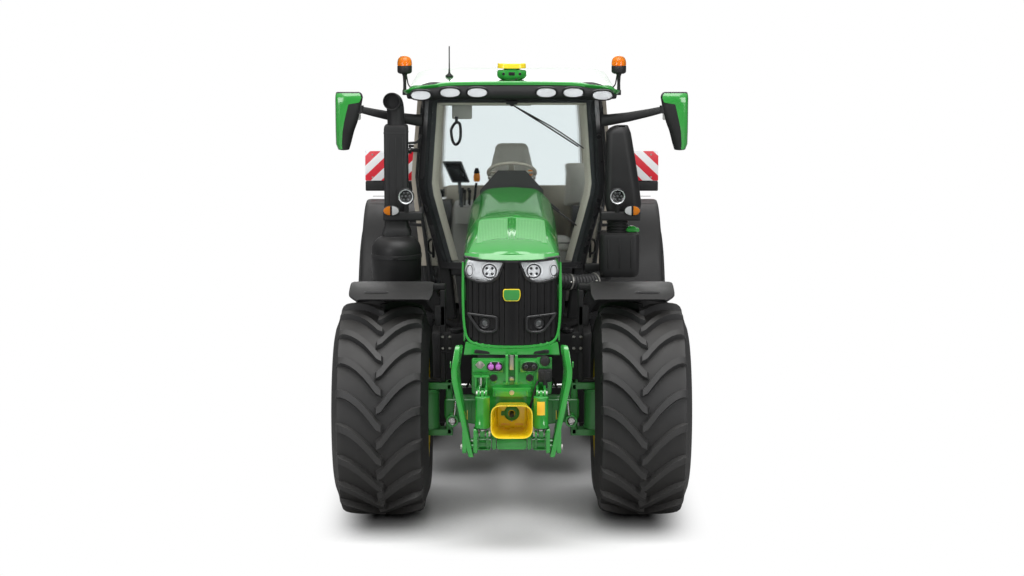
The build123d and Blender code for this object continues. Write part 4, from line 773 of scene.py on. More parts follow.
lobe = node(tree, "MapRange", {"interpolation_type": "SMOOTHSTEP", "From Min": 0.955, "From Max": 0.988},
            {"Value": way.outputs["Y"]})
backdrop = maths(tree, "MULTIPLY", {}, {0: lobe.outputs[0], 1: clear_way.outputs[0]})
sky = maths(tree, "MAXIMUM", {}, {0: overhead.outputs[0], 1: backdrop.outputs[0]})
reflected = maths(tree, "MAXIMUM", {}, {0: rays.outputs["Is Glossy Ray"], 1: bounced.outputs[0]})
mirrored_sky = node(tree, "Mix", {"data_type": "FLOAT"}, {0: reflected.outputs[0], 3: sky.outputs[0]})
mirrored_sky.inputs[2].default_value = 0.38
strength = node(tree, "Mix", {"data_type": "FLOAT"}, {0: seen.outputs[0], 2: mirrored_sky.outputs[0]})
strength.inputs[3].default_value = 1.0
tree.links.new(strength.outputs[0], background.inputs["Strength"])
bpy.context.scene.view_settings.view_transform = "Standard"


# %% Lamps
def soft_lamp(name, place, target, size, power):
    """Square area lamp at place, turned so that its -Z axis points at target."""
    data = bpy.data.lights.new(name, "AREA")
    data.shape, data.size, data.energy = "SQUARE", size, power
    lamp = bpy.data.objects.new(name, data)
    bpy.context.scene.collection.objects.link(lamp)
    lamp.location = place
    aim = np.array(target, float) - np.array(place, float)
    yaw, pitch = math.atan2(aim[0], -aim[1]), math.atan2(math.hypot(aim[0], aim[1]), -aim[2])
    lamp.rotation_euler = (pitch, 0, yaw + math.pi)
    return lamp


soft_lamp("key_above", (0.0, -3.5, 9.0), (0, -0.3, 1.4), 7.0, 700)
soft_lamp("front_left", (-6.5, -9.0, 4.4), (0, -0.5, 1.3), 4.0, 300)
soft_lamp("front_right", (6.5, -9.0, 4.4), (0, -0.5, 1.3), 4.0, 300)
rear_lamp = soft_lamp("behind", (0.0, 9.0, 6.0), (0, 0.8, 1.6), 5.0, 200)
rear_lamp.visible_transmission = False
low_lamp = soft_lamp("front_low", (0.0, -9.5, 1.3), (0, -1.0, 0.9), 3.0, 90)
low_lamp.visible_glossy = low_lamp.visible_transmission = False

# %% [markdown]
# ## The camera
# A long lens from well in front and a little above the roof, looking slightly down along the machine's
# middle. Seen from this far the front wheels look only a little larger than the rear ones.

# %% Camera
camera_distance, camera_height, camera_pitch, focal_length = 17.84, 4.352, 8.57, 87.4
camera_data = bpy.data.cameras.new("camera")
camera_data.lens, camera_data.sensor_width, camera_data.clip_end = focal_length, 36.0, 200.0
camera = bpy.data.objects.new("camera", camera_data)
bpy.context.scene.collection.objects.link(camera)
camera.location = (0.002, front_axle_y - camera_distance, camera_height)
camera.rotation_euler = (math.radians(90 - camera_pitch), 0, 0)
bpy.context.scene.camera = camera
print("studio and camera ready")

# %% [markdown]
# ## Tyres
# A field tyre is a rounded ring with bars of rubber standing on it. Each bar starts nearly square at the
# shoulder and curls round towards the middle, and the two sides are half a step apart. Ring and bars are
# made from arrays: the ring is turned, and one bar is drawn as a grid and repeated round the wheel.

# %% Tyre ring
lug_height = 46.0
tyre_rows = {
    # wheel: y, radius, rim radius, middle of the width, half width, share of the tread, share of the
    # bead, bars a side, advance of a bar
    "front": (0.0, front_radius, 372.0, 935.0, 345.0, 0.904, 0.94, 19, 19.0),
    "rear": (wheelbase, rear_radius, 545.0, 899.0, 356.0, 0.960, 0.80, 21, 17.5),
}


def tyre_ring(y, radius, rim_radius, middle, half, tread, bead):
    """Turned outline: crown drop grows with the cube of the distance from the middle, then the sidewall
    bulges to full width."""
    rise = radius - rim_radius
    u = np.linspace(-0.86, 0.86, 19)
    crown = np.stack([u * tread, (radius - lug_height - 26 * np.abs(u) ** 3 - rim_radius) / rise], 1)
    above = np.array([(0.0, 0.86), (0.15, 0.80), (0.35, 0.74), (0.55, 0.66), (0.85, 0.56), (1.0, 0.47)])
    below = np.array([(0.985, 0.42), (1.03, 0.41), (1.03, 0.39), (0.96, 0.38), (0.75, 0.28), (0.5, 0.19),
                      (0.56, 0.18), (0.56, 0.16),
                      (0.4, 0.15), (0.15, 0.08), (0.05, 0.055), (0.1, 0.035), (0.0, 0.0)])
    start = tread * 0.94
    side = np.concatenate([np.stack([start + (1 - start) * above[:, 0], above[:, 1] - 0.02], 1),
                           np.stack([bead + (1 - bead) * below[:, 0], below[:, 1]], 1)])
    side[:, 0] = np.minimum(side[:, 0], 0.999)
    outline = np.concatenate([side[::-1] * (-1, 1), crown, side])
    profile = np.stack([outline[:, 0] * half, rim_radius + outline[:, 1] * rise], 1)
    return turned(profile, (middle, y, radius), "x", steps=120, closed=True)


# %% Tyre bars
def tyre_bars(y, radius, middle, half, count, advance):
    """Bars along a curve: at width fraction u the bar runs ahead of its shoulder by advance * (1 - u)^1.7,
    and its half width grows by the curve's slope."""
    top = np.array([(-0.05, 3), (0.06, 1), (0.2, 1), (0.35, 2), (0.5, 5), (0.64, 9), (0.76, 14), (0.86, 22),
                    (0.93, 38), (0.965, 62), (0.985, 100), (0.99, 140)])
    root = np.array([(-0.10, 52), (0.05, 52), (0.2, 52), (0.35, 53), (0.5, 56), (0.64, 60), (0.74, 66),
                     (0.82, 76), (0.86, 90), (0.90, 110), (0.94, 132), (0.96, 150)])
    lead = advance * np.clip(1 - np.clip(top[:, 0], 0, None) / 0.93, 0, 1) ** 1.7
    slope = np.gradient(np.radians(lead) * radius) / np.gradient(top[:, 0] * half)
    stretch = np.sqrt(1 + np.clip(slope, -1.6, 1.6) ** 2)
    body = np.interp(top[:, 0], [-0.05, 0.0, 0.3, 0.86, 0.99], [18, 22, 21, 27, 34]) * stretch
    ring = [(root, -1.35), (top + (0, 4), -1.0), (top, -0.93), (top, 0.93), (top + (0, 4), 1.0), (root, 1.35)]
    starts = np.arange(count) * 360.0 / count
    bars = []
    for side, shift in ((1, 0.0), (-1, 180.0 / count)):
        lines = []
        for line, share in ring:
            reach = radius - line[:, 1]
            angle = np.radians(-lead + shift) + share * body / radius
            lines.append(np.stack([side * line[:, 0] * half, -reach * np.cos(angle), reach * np.sin(angle)],
                                  1))
        grid = np.stack(lines, 1)
        bars += [rotated(sheet(grid), "x", -start) for start in starts]
    return moved(join(*bars), middle, y, radius)


for wheel, (y, radius, rim_radius, middle, half, tread, bead, count, advance) in tyre_rows.items():
    ring = tyre_ring(y, radius, rim_radius, middle, half, tread, bead)
    bars = tyre_bars(y, radius, middle, half * tread, count, advance)
    for side in ("left", "right"):
        shapes = [ring, bars] if side == "left" else [mirrored(ring), mirrored(bars)]
        made = piece(f"{wheel}_tyre_tread_{side}", shapes, "rubber", body=f"{wheel}_wheel_{side}",
                     slot="tyre", crease=24,
                     replaces=[f"{wheel}_tyre_{side}"])
    print(wheel, "tyre", len(made.data.polygons), "faces")

# %% [markdown]
# ## Rims and hubs
# The rim is a rolled barrel with a deep dished disc inside it, all in yellow lacquer. The front hub is a
# green planetary housing that stands out of the dish; the rear one is flatter. Nuts, a valve and a ring of
# cover bolts finish them.

# %% Rims
def rim_barrel(middle, half, bead, y, radius):
    """Closed turned outline of the barrel: rolled lips at both sides, a drop centre between."""
    lip = [(half, bead - 8), (half + 4, bead + 6), (half + 10, bead + 13), (half + 15, bead + 11),
           (half + 15, bead + 5), (half + 8, bead - 6),
           (half + 6, bead - 18), (half * 0.82, bead - 24), (half * 0.60, bead - 42)]
    top = [(half * 0.60, bead - 30), (half * 0.82, bead - 12)]
    outline = lip + [(-x, r) for x, r in lip[::-1]] + [(-x, r) for x, r in top[::-1]] + top
    return turned([(x, r) for x, r in outline], (middle, y, radius), "x", steps=96, closed=True)


def rim_disc(stations, thickness, y, radius):
    """Dished disc: outline through (x, r) stations, carried back by the thickness."""
    face = curved(np.array(stations, float), 5)
    outline = np.concatenate([face + (thickness, 0), face[::-1]])
    return turned(outline, (0, y, radius), "x", steps=96, closed=True)


rim_rows = [
    # wheel, y, radius, bead, barrel half, disc stations, nut circle, nuts, nut x
    ("front", 0.0, front_radius, 371.0, 314.0, [(810, 56), (810, 150), (816, 190), (900, 240), (1004, 290),
            (1020, 340)], 118, 10, 824),
    ("rear", wheelbase, rear_radius, 544.0, 276.0, [(907, 56), (907, 190), (912, 240), (950, 330), (978, 430),
            (984, 512)], 160, 10, 921),
]
for wheel, y, radius, bead, half, stations, circle, nuts, nut_x in rim_rows:
    middle = tyre_rows[wheel][3]
    barrel, disc = rim_barrel(middle, half, bead, y, radius), rim_disc(stations, 14.0, y, radius)
    gussets = around(block(middle + half * 0.35, middle + half * 0.62, y - 5, y + 5, radius + bead - 70,
                           radius + bead - 26, 3), "x",
                     (0, y, radius), np.arange(8) * 45.0 + 22.5)
    nut = moved(washer_bolt("x", 30, 22), nut_x, y, radius + circle)
    ring_of_nuts = around(nut, "x", (0, y, radius), np.arange(nuts) * 360.0 / nuts)
    valve = rod((stations[-2][0] + 12, y, radius + bead - 62), (stations[-2][0] + 52, y, radius + bead - 70),
                5)
    for side in ("left", "right"):
        turn = (lambda shape: shape) if side == "left" else mirrored
        body = f"{wheel}_wheel_{side}"
        piece(f"{wheel}_rim_dish_{side}", [turn(barrel), turn(disc), turn(gussets)], "yellow_lacquer",
              body=body, replaces=[f"{wheel}_rim_{side}"])
        piece(f"{wheel}_wheel_nuts_{side}", [turn(ring_of_nuts), turn(valve)], "zinc", body=body)

# %% Hubs
front_hub = [(795, 0), (795, 148), (812, 148), (824, 96), (850, 92), (880, 84), (892, 74), (902, 60),
             (904, 0)]
rear_hub = [(876, 0), (876, 158), (908, 158), (921, 136), (930, 128), (950, 104), (962, 84), (966, 0)]
for wheel, outline, y, radius, face_x, circle in (("front", front_hub, 0.0, front_radius, 880, 76),
    ("rear", rear_hub, wheelbase, rear_radius, 935, 112)):
    case = turned(outline, (0, y, radius), "x", steps=64)
    cover_bolts = around(moved(hexagon("x", 15, 12), face_x - 4, y, radius + circle), "x", (0, y, radius),
                         np.arange(12) * 30.0)
    plug = moved(hexagon("x", 26, 10), outline[-1][0] - 3, y, radius + 28)
    for side in ("left", "right"):
        turn = (lambda shape: shape) if side == "left" else mirrored
        piece(f"{wheel}_hub_case_{side}", turn(case), "green_chassis" if wheel == "front"
              else "yellow_lacquer", body=f"{wheel}_wheel_{side}", slot="chassis_green" if wheel == "front"
              else "yellow")
        piece(f"{wheel}_hub_bolts_{side}", [turn(cover_bolts), turn(plug)], "zinc",
              body=f"{wheel}_wheel_{side}")
print("wheels done")

# %% [markdown]
# ## The hood
# The hood is one long pressed shell: nearly upright flanks, a rounded shoulder and a shallow roof with a
# crease along its middle. Its section changes slowly from nose to cab, so it is drawn as a grid: each row
# is a section, the rows are eased into each other, and an inner skin gives the sheet its thickness.

# %% Hood sections
# y, then x and z of: lower edge, waist, shoulder, roof edge, beside the crease, and height of the crease
hood_rows = np.array([
    (-985, 331, 1440, 335, 1930, 318, 1990, 300, 2022, 40, 2046, 2050),
    (-960, 333, 1420, 337, 1935, 318, 2010, 296, 2044, 40, 2064, 2070),
    (-830, 334, 1410, 344, 1955, 318, 2050, 268, 2100, 30, 2114, 2120),
    (-560, 335, 1420, 345, 1955, 320, 2080, 256, 2158, 26, 2172, 2180),
    (-290, 336, 1450, 345, 1952, 320, 2094, 248, 2196, 20, 2210, 2216),
    (-276, 336, 1452, 345, 1953, 320, 2096, 246, 2206, 16, 2222, 2226),
    (400, 340, 1640, 345, 1980, 312, 2122, 214, 2234, 12, 2248, 2252),
    (900, 340, 1672, 345, 2002, 302, 2150, 204, 2255, 10, 2268, 2271),
    (1135, 340, 1680, 345, 2010, 298, 2160, 198, 2262, 10, 2276, 2278),
], float)
nose_bow = 62.0


def bow(x, y):
    """How far a point ahead of y = -700 moves back with the square of its distance from the middle."""
    share = np.clip((-700 - y) / 285, 0, 1)
    return nose_bow * share * (x / 330) ** 2


def hood_skin(inset):
    """Grid of the hood's surface, moved inwards by inset: rows eased along y, each section with its
    corners rounded."""
    half = []
    for pair, depth_x, depth_z in (((1, 2), 1, 0), ((3, 4), 1, 0), ((5, 6), 0.9, 0.4), ((7, 8), 0.5, 0.9),
                                   ((9, 10), 0, 1)):
        half.append(np.stack([hood_rows[:, pair[0]] - inset * depth_x, hood_rows[:, 0], hood_rows[:, pair[1]]
                              - inset * depth_z], 1))
    crest = np.stack([0 * hood_rows[:, 0], hood_rows[:, 0], hood_rows[:, 11] - inset], 1)
    control = np.stack(half + [crest] + [p * (-1, 1, 1) for p in half[::-1]], 1)
    rows = curved(control, 6)
    low, high = rows[:, :1], rows[:, -1:]
    inner = rows[:, 1:-1]
    before, after = rows[:, :-2], rows[:, 2:]
    reach = np.array([0.42, 0.30, 0.30, 0.22, 0.40, 0.22, 0.30, 0.30, 0.42])[None, :, None]
    start, end = inner + (before - inner) * reach, inner + (after - inner) * reach
    t = np.linspace(0, 1, 6)[None, None, :, None]
    arcs = (1 - t) ** 2 * start[:, :, None] + 2 * t * (1 - t) * inner[:, :, None] + t ** 2 * end[:, :, None]
    grid = np.concatenate([low, arcs.reshape(len(rows), -1, 3), high], 1)
    grid[..., 1] += bow(grid[..., 0], grid[..., 1])
    return grid


def shell(outer, inner):
    """Closed sheet between two grids of the same size: outer and inner skins joined along their four
    edges."""
    rows, cols = outer.shape[:2]
    ring = np.concatenate([outer, inner[:, ::-1]], 1)
    points, faces = sheet(ring, caps=False)
    for row in (0, rows - 1):
        j = np.arange(cols - 1)
        base = row * 2 * cols
        faces += np.stack([base + j, base + j + 1, base + 2 * cols - 2 - j, base + 2 * cols - 1 - j],
                          1).tolist()
    return points, faces


hood_outer = hood_skin(0.0)
hood_shell = shell(hood_outer, hood_skin(9.0))
hinge_y, hinge_z = 1110.0, 2240.0
hinge_ears = both(block(92, 104, hinge_y - 14, hinge_y + 14, hinge_z - 15, hinge_z + 22, 3))
piece("hood_panel", [hood_shell, hinge_ears], "green_lacquer", body="hood_body", crease=32, replaces=["hood"])
print("hood grid", hood_outer.shape[:2])


# %% Reading the hood's surface
def hood_top_z(x, y):
    """Height of the hood's outer skin over (x, y): the row nearest to y, read off at |x| by linear steps."""
    x, y = np.broadcast_arrays(np.abs(np.array(x, float)), np.array(y, float))
    rows = hood_outer[:, :, 1].mean(1)
    flat = []
    for px, py in zip(x.reshape(-1), y.reshape(-1)):
        k = int(np.clip(np.searchsorted(rows, py), 1, len(rows) - 1))
        t = np.clip((py - rows[k - 1]) / (rows[k] - rows[k - 1]), 0, 1)
        line = hood_outer[k - 1] * (1 - t) + hood_outer[k] * t
        keep = (line[:, 0] >= 0) & (line[:, 2] > 1990)
        side = line[keep][np.argsort(line[keep][:, 0])]
        flat.append(np.interp(px, side[:, 0], side[:, 2]))
    return np.array(flat).reshape(x.shape)


def over_hood(x0, x1, y0, y1, lift, depth, columns=8, rows=18, taper=0.0):
    """Thin panel that follows the hood's roof: lift above it and depth thick; taper narrows it towards the
    cab."""
    v = np.linspace(y0, y1, rows)
    narrow = np.linspace(0, taper, rows)
    x = np.linspace(x0, x1, columns)[None, :] - narrow[:, None] * np.linspace(0, 1, columns)[None, :]
    y = np.repeat(v[:, None], columns, 1)
    z = hood_top_z(x, y)
    top = np.stack([x, y, z + lift], -1)
    under = np.stack([x, y, z + lift - depth], -1)
    return shell(top, under)


# %% [markdown]
# ## Screens and side vents
# Two finely drilled screens lie in the front of the roof, on either side of the crease, each with a slim
# raised rim. In the flanks long louvres stand over a dark screen and let the engine breathe.

# %% Hood screens
# The screens wear the pale green finish, a painted highlight; their own paint is the hood's green.
screens = both(over_hood(30, 243, -808, -302, 1.6, 4.0, taper=12))
piece("hood_screens", screens, "green_screen_painted_highlight", body="hood_body", slot="body_green", crease=60)
rims = [over_hood(24, 30, -812, -298, 3.0, 6.0, columns=3),
        over_hood(243, 249, -812, -298, 3.0, 6.0, columns=3, taper=11),
        over_hood(24, 249, -816, -808, 3.0, 6.0, columns=10, rows=3)]
piece("hood_screen_rims", [both(rim) for rim in rims], "green_lacquer", body="hood_body")
catch = [over_hood(14, 60, -250, -222, 4.0, 6.0, columns=5, rows=4)]
piece("hood_catch", catch, "green_lacquer", body="hood_body")


# %% Side louvres
def flank_x(z, y):
    """Half width of the hood's flank at height z: a straight line between its lower edge and its waist."""
    rows = hood_rows
    at = lambda column: np.interp(y, rows[:, 0], rows[:, column])
    return at(1) + (at(3) - at(1)) * np.clip((z - at(2)) / (at(4) - at(2)), 0, 1)


def flank_panel(corners, lift, depth, columns=14, rows=8):
    """Panel on the flank between four (y, z) corners, blended across the grid, lifted off the skin."""
    c = np.array(corners, float)
    s, t = np.linspace(0, 1, columns)[None, :, None], np.linspace(0, 1, rows)[:, None, None]
    yz = (c[0] * (1 - s) + c[1] * s) * (1 - t) + (c[3] * (1 - s) + c[2] * s) * t
    x = flank_x(yz[..., 1], yz[..., 0])
    place = lambda offset: np.stack([x + offset, yz[..., 0] + bow(x, yz[..., 0]), yz[..., 1]], -1)
    return shell(place(lift), place(lift - depth))


vent = flank_panel([(-880, 1480), (-140, 1520), (-60, 1900), (-860, 1850)], 1.5, 5)
piece("hood_side_screens", both(vent), "black_screen", body="hood_body", crease=60)
louvres = [flank_panel([(-870 + 8 * k, 1500 + 46 * k), (-135 + 9 * k, 1536 + 46 * k),
                        (-133 + 9 * k, 1548 + 46 * k), (-868 + 8 * k, 1512 + 46 * k)], 5, 8, rows=2)
           for k in range(8)]
piece("hood_side_louvres", [both(louvre) for louvre in louvres], "black_plastic", body="hood_body")
print("hood trim done")

# %% [markdown]
# ## The nose
# The nose is a black panel of upright slats between two lamp housings, framed by the hood's green edge,
# which runs down both sides and across the chin. The slats are slim bars with rounded faces in front of a
# dark screen. Everything is bowed in plan, so the corners of the nose lie further back than its middle.

# %% Bowing the nose
def on_nose(shape):
    """The shape with each point moved back by the nose's bow."""
    points = shape[0].copy()
    points[:, 1] += nose_bow * (points[:, 0] / 330) ** 2
    return points, shape[1]


def fine(outline, pitch=26.0):
    """Outline with points added along its long edges, so that a flat plate can follow the bow."""
    p = np.array(outline, float)
    ahead = np.roll(p, -1, 0) - p
    counts = np.maximum(1, np.ceil(np.linalg.norm(ahead, axis=1) / pitch).astype(int))
    return np.concatenate([start + step * np.linspace(0, 1, n, endpoint=False)[:, None] for start, step,
                           n in zip(p, ahead, counts)])


# %% Grille slats
def slat(x0, x1, z0, z1, front, depth=18.0, crown=5.0):
    """Upright bar with a rounded face: a grid across its width whose front follows a parabola."""
    t = np.linspace(-1, 1, 7)
    face = np.stack([(x0 + x1) / 2 + t * (x1 - x0) / 2, front + crown * t ** 2], 1)
    back = np.array([(x1, front + depth), (x0, front + depth)])
    ring = np.concatenate([face, back])
    levels = [(ring, z) for z in np.linspace(z0, z1, 12)]
    return on_nose(stacked(levels, "z"))


grille_front = -987.0
slat_rows = [
    # x0, x1, lower end, upper end
    (-47, 47, 1412, 2002), (52, 84, 1414, 1944), (89, 128, 1416, 1886), (133, 176, 1420, 1852),
    (181, 224, 1426, 1858),
    (229, 268, 1440, 1866), (273, 302, 1462, 1880),
]
slats = [slat(*row, grille_front) for row in slat_rows]
slats += [mirrored(shape) for shape in slats[1:]]
backing = on_nose(
                  plate(fine([(-308, 1428), (308, 1428), (318, 1880), (306, 1990), (60, 2008), (-60, 2008),
                              (-306, 1990), (-318, 1880)]), -962, -950, "y", 1))
piece("grille_slats", slats, "grille_black", body="hood_body", slot="black_plastic", crease=50,
      replaces=["grille"])
piece("grille_backing", backing, "black_screen", body="hood_body")

# %% Badge plate, left blank
badge_outline = rounded([(-50, 1722), (50, 1722), (62, 1760), (58, 1806), (-58, 1806), (-62, 1760)], 16, 6)
piece("blank_badge_rim", on_nose(plate(badge_outline, -999, -988, "y", 3)), "yellow_lacquer",
      body="hood_body")
piece("blank_badge_face", on_nose(plate(drawn_in(badge_outline, 5), -1000.5, -990, "y", 1)), "green_chassis",
      body="hood_body", slot="body_green")

# %% [markdown]
# ## Lower lamp bezels
# Low in the slats sit two angular bezels, each with a small round lamp deep inside.

# %% Bezels
bezel_outline = rounded([(98, 1520), (96, 1606), (112, 1618), (312, 1636), (308, 1622), (232, 1512),
                         (196, 1496), (128, 1500)], 12)
bezel_hole = rounded([(112, 1528), (110, 1598), (122, 1604), (286, 1618), (218, 1524), (190, 1512),
                      (134, 1514)], 10)


def framed(outer, inner, front, back, rim=3.0):
    """Frame between two outlines with the same number of points: a ring carried through front, rim and
    back."""
    rows = [(outer, back), (outer, front + rim), (drawn_in(outer, rim), front),
            (drawn_in(inner, -rim), front), (inner, front + rim), (inner, back)]
    grid = np.zeros((len(rows), len(outer), 3))
    for row, (outline, y) in zip(grid, rows):
        row[:, 0], row[:, 1], row[:, 2] = outline[:, 0], y, outline[:, 1]
    return sheet(grid, wrap_rows=True)


def resampled(outline, count=72):
    """The same closed outline with points at even steps along its length."""
    p = np.vstack([outline, outline[:1]])
    run = np.concatenate([[0], np.cumsum(np.linalg.norm(np.diff(p, axis=0), axis=1))])
    where = np.linspace(0, run[-1], count, endpoint=False)
    return np.stack([np.interp(where, run, p[:, 0]), np.interp(where, run, p[:, 1])], 1)


bezel = on_nose(framed(resampled(bezel_outline), resampled(bezel_hole), -1003, -972))
cup = on_nose(plate(fine(bezel_hole), -976, -968, "y", 1))
small_lamp = turned([(-4, 0), (-4, 14), (-7, 18), (-7, 31), (-12, 36), (0, 40), (6, 40), (6, 0)],
                    (186, -980, 1566), "y", steps=40)
small_glass = turned([(-9, 0), (-8, 14), (-5, 22), (-2, 24), (-2, 0)], (186, -980, 1566), "y", steps=40)
piece("lower_lamp_bezels", [both(bezel), both(cup), both(on_nose(small_lamp))], "black_smooth",
      body="hood_body")
piece("lower_lamp_glasses", both(on_nose(small_glass)), "cab_slate", body="hood_body")

# %% [markdown]
# ## Headlamps
# Each headlamp is a silver bowl of six sides with a round inner lamp of four small lenses and an oval outer
# lamp, under a clear cover. A black lid runs round the bowl and reaches back along the flank.

# %% Headlamp bowls
lamp_outline = rounded([(60, 1988), (323, 2012), (326, 1926), (300, 1884), (232, 1862), (158, 1858),
                        (104, 1888)], [6, 8, 16, 16, 24, 34, 26], 5)
lid_outline = rounded([(46, 2004), (331, 2030), (334, 1915), (306, 1868), (236, 1844), (150, 1840),
                       (88, 1876)], [6, 8, 20, 22, 30, 40, 34], 5)
lid = on_nose(framed(resampled(lid_outline, 96), resampled(lamp_outline, 96), -1001, -966, 4))
bowl = on_nose(plate(fine(lamp_outline), -974, -968, "y", 1))
inner_x, outer_x, lamp_z = 152.0, 289.0, 1926.0


def lamp_ring(x, z, radius, width, front, depth, squash=1.0):
    """Turned collar round a lens; squash narrows it sideways into an oval."""
    ring = turned([(0, radius), (-depth, radius + 1), (-depth, radius + width), (0, radius + width + 3)],
                  (0, 0, 0), "y", steps=48, closed=True)
    return ring[0] * (squash, 1, 1) + np.array([x, front, z]), ring[1]


inner_ring, inner_dark = lamp_ring(inner_x, lamp_z, 50, 9, -972, 7), lamp_ring(inner_x, lamp_z, 41, 6, -972,
    10)
outer_ring, outer_dark = lamp_ring(outer_x, lamp_z, 40, 8, -974, 8, 0.6), lamp_ring(outer_x, lamp_z, 33, 4,
    -974, 10, 0.6)
led_bowl = turned([(2, 0), (-1, 8), (-5, 15), (-5, 19), (2, 20)], (0, 0, 0), "y", steps=24)
led_dark = turned([(-1, 0), (-3, 9), (-1, 12), (0, 12)], (0, 0, 0), "y", steps=16)
led_places = [(inner_x + dx, -974, lamp_z + dz) for dx in (-19, 19) for dz in (-19, 19)]
bowls = [both(bowl)] + [both(on_nose(shape))
                        for shape in (inner_ring, outer_ring, repeated(led_bowl, led_places))]
floor_disc = turned([(0, 0), (0, 42), (4, 42), (4, 0)], (inner_x, -975, lamp_z), "y", steps=32)
oval_floor = turned([(0, 0), (-3, 14), (0, 34), (4, 34), (4, 0)], (0, 0, 0), "y", steps=32)
oval_floor = (oval_floor[0] * (0.6, 1, 1) + np.array([outer_x, -977, lamp_z]), oval_floor[1])
piece("headlamp_bowls", bowls + [both(on_nose(floor_disc)), both(on_nose(oval_floor))], "lamp_silver",
      body="hood_body", replaces=["headlamps"])
piece("headlamp_lids", [both(lid)], "black_smooth", body="hood_body")
piece("headlamp_inner_rings",
      [both(on_nose(shape)) for shape in (inner_dark, outer_dark, repeated(led_dark, led_places))],
      "black_smooth", body="hood_body")
cover = on_nose(plate(fine(drawn_in(lamp_outline, 1.0)), -997, -994, "y", 1))
piece("headlamp_covers", both(cover), "lamp_cover", body="hood_body")

# %% [markdown]
# ## Brow, edge and chin
# Above the lamps the hood ends in a brow: an upright band with a kink above it. From its ends a slim green
# edge runs down beside the slats and turns in along the chin.

# %% Brow
def brow_row(z, front, half_width, droop):
    """One line across the brow: x from side to side, moved back by the bow, and its ends droop or rise."""
    x = np.linspace(-half_width, half_width, 41)
    share = np.abs(x) / half_width
    return np.stack([x, front + nose_bow * (x / 330) ** 2 + 26 * share ** 8, z + droop * share ** 2], 1)


brow_lines = [brow_row(1994, -972, 316, 8), brow_row(2004, -1000, 326, 8), brow_row(2008, -1004, 327, 8),
              brow_row(2046, -982, 322, -2),
              brow_row(2050, -978, 318, -8), brow_row(2062, -962, 308, -18), brow_row(2040, -960, 306, -18),
              brow_row(2000, -960, 314, 0)]
brow_grid = np.stack(brow_lines, 1)
piece("hood_brow", sheet(brow_grid), "green_lacquer", body="hood_body", crease=30)
seal_lines = [brow_row(1986, -966, 318, 12), brow_row(1988, -994, 323, 12), brow_row(2002, -996, 324, 9),
              brow_row(2004, -966, 318, 9)]
piece("brow_seal", sheet(np.stack(seal_lines, 1)), "rubber_soft", body="hood_body")

# %% Green edge beside the slats
edge_front = -985
edge_path = [(334, edge_front, 1985), (336, edge_front, 1900), (338, edge_front, 1760),
             (334, edge_front, 1600), (322, edge_front, 1490), (296, edge_front, 1436),
             (240, edge_front, 1414),
             (120, edge_front, 1404), (0, edge_front, 1402)]
edge_path = edge_path + [(-x, y, z) for x, y, z in edge_path[-2::-1]]
edge_profile = rounded(rectangle(-9, 9, -8, 10), 5, 2)
edge_line = curved(np.array(edge_path, float), 5)
edge_line[:, 1] += nose_bow * (edge_line[:, 0] / 330) ** 2 - 8
edge = swept(edge_profile[:, ::-1], edge_line, up=(0, -1, 0))
piece("hood_edge", edge, "green_lacquer", body="hood_body")
chin_lines = []
chin_rows = (
    (1398, -990, 306, 34), (1392, -1000, 316, 36), (1378, -1002, 322, 30), (1350, -1000, 330, -8),
    (1346, -990, 332, -12),
    (1350, -960, 332, -8), (1392, -960, 318, 34),
)
for z, front, half_width, lift in chin_rows:
    x = np.linspace(-half_width, half_width, 33)
    share = np.abs(x) / half_width
    chin_lines.append(np.stack([x, front + nose_bow * (x / 330) ** 2, z + lift * share ** 3], 1))
# The chin's slots are flat black plates laid on the green chin: painted shade standing for recesses that are
# not cut into it.
slot_outline = rounded([(150, 1352), (150, 1362), (164, 1372), (246, 1382), (258, 1374), (258, 1352)],
                       [3, 4, 6, 6, 5, 3])
chin_slot_painted_shade = both(on_nose(plate(fine(slot_outline), -1003, -996, "y", 1)))
piece("chin_slot_painted_shade", chin_slot_painted_shade, "black_smooth", body="hood_body")
notches = both(
               join(*[block(x - 7, x + 7, -1000 + nose_bow * (x / 330) ** 2, edge_front + nose_bow
                            * (x / 330) ** 2, 1396, 1410 + 0.0004 * x * x, 3)
                      for x in (24, 68, 112, 156, 200, 244)]))
piece("hood_chin", [sheet(np.stack(chin_lines, 1)), notches], "green_lacquer", body="hood_body")
print("nose done")

# %% [markdown]
# ## Front linkage
# Between the wheels stands the front linkage: a plate with the couplers and sockets, two lift cylinders,
# the cross tube with its forks, and the two lower links, folded up beside the nose for the road.

# %% Plate and brackets
plate_face = -1040.0


def slab(outline, thickness, y=plate_face, edge=3.0):
    """Upright plate standing out towards the front from y by its thickness."""
    return plate(outline, y - thickness, y, "y", edge)


main_outline = rounded([(-275, 1082), (-152, 1082), (-150, 772), (150, 772), (152, 1082), (275, 1082),
                        (275, 1330), (-275, 1330)],
                       [20, 6, 12, 12, 6, 20, 14, 14])
linkage_shapes = [plate(main_outline, plate_face, -1000.5, "y", 4)]
linkage_shapes += [slab(rounded(rectangle(-272, -56, 1236, 1318), 8), 9)]
linkage_shapes += [slab(rounded(rectangle(56, 170, 1236, 1318), 8), 9)]
linkage_shapes += [both(slab(rounded([(104, 1162), (144, 1150), (152, 1236), (96, 1236)], 14), 7))]
linkage_shapes += [both(block(23, 43, -1098, plate_face, 1166, 1366, 4, 8, "x")),
                   both(block(14, 60, -1062, plate_face, 1150, 1172, 4, 5, "y"))]
linkage_shapes += [block(-132, 132, -1100, plate_face, 1128, 1136, 2, 4),
                   plate(rounded([(-132, 1076), (132, 1076), (128, 1132), (-128, 1132)], 6), -1100, -1090,
                         "y", 2)]
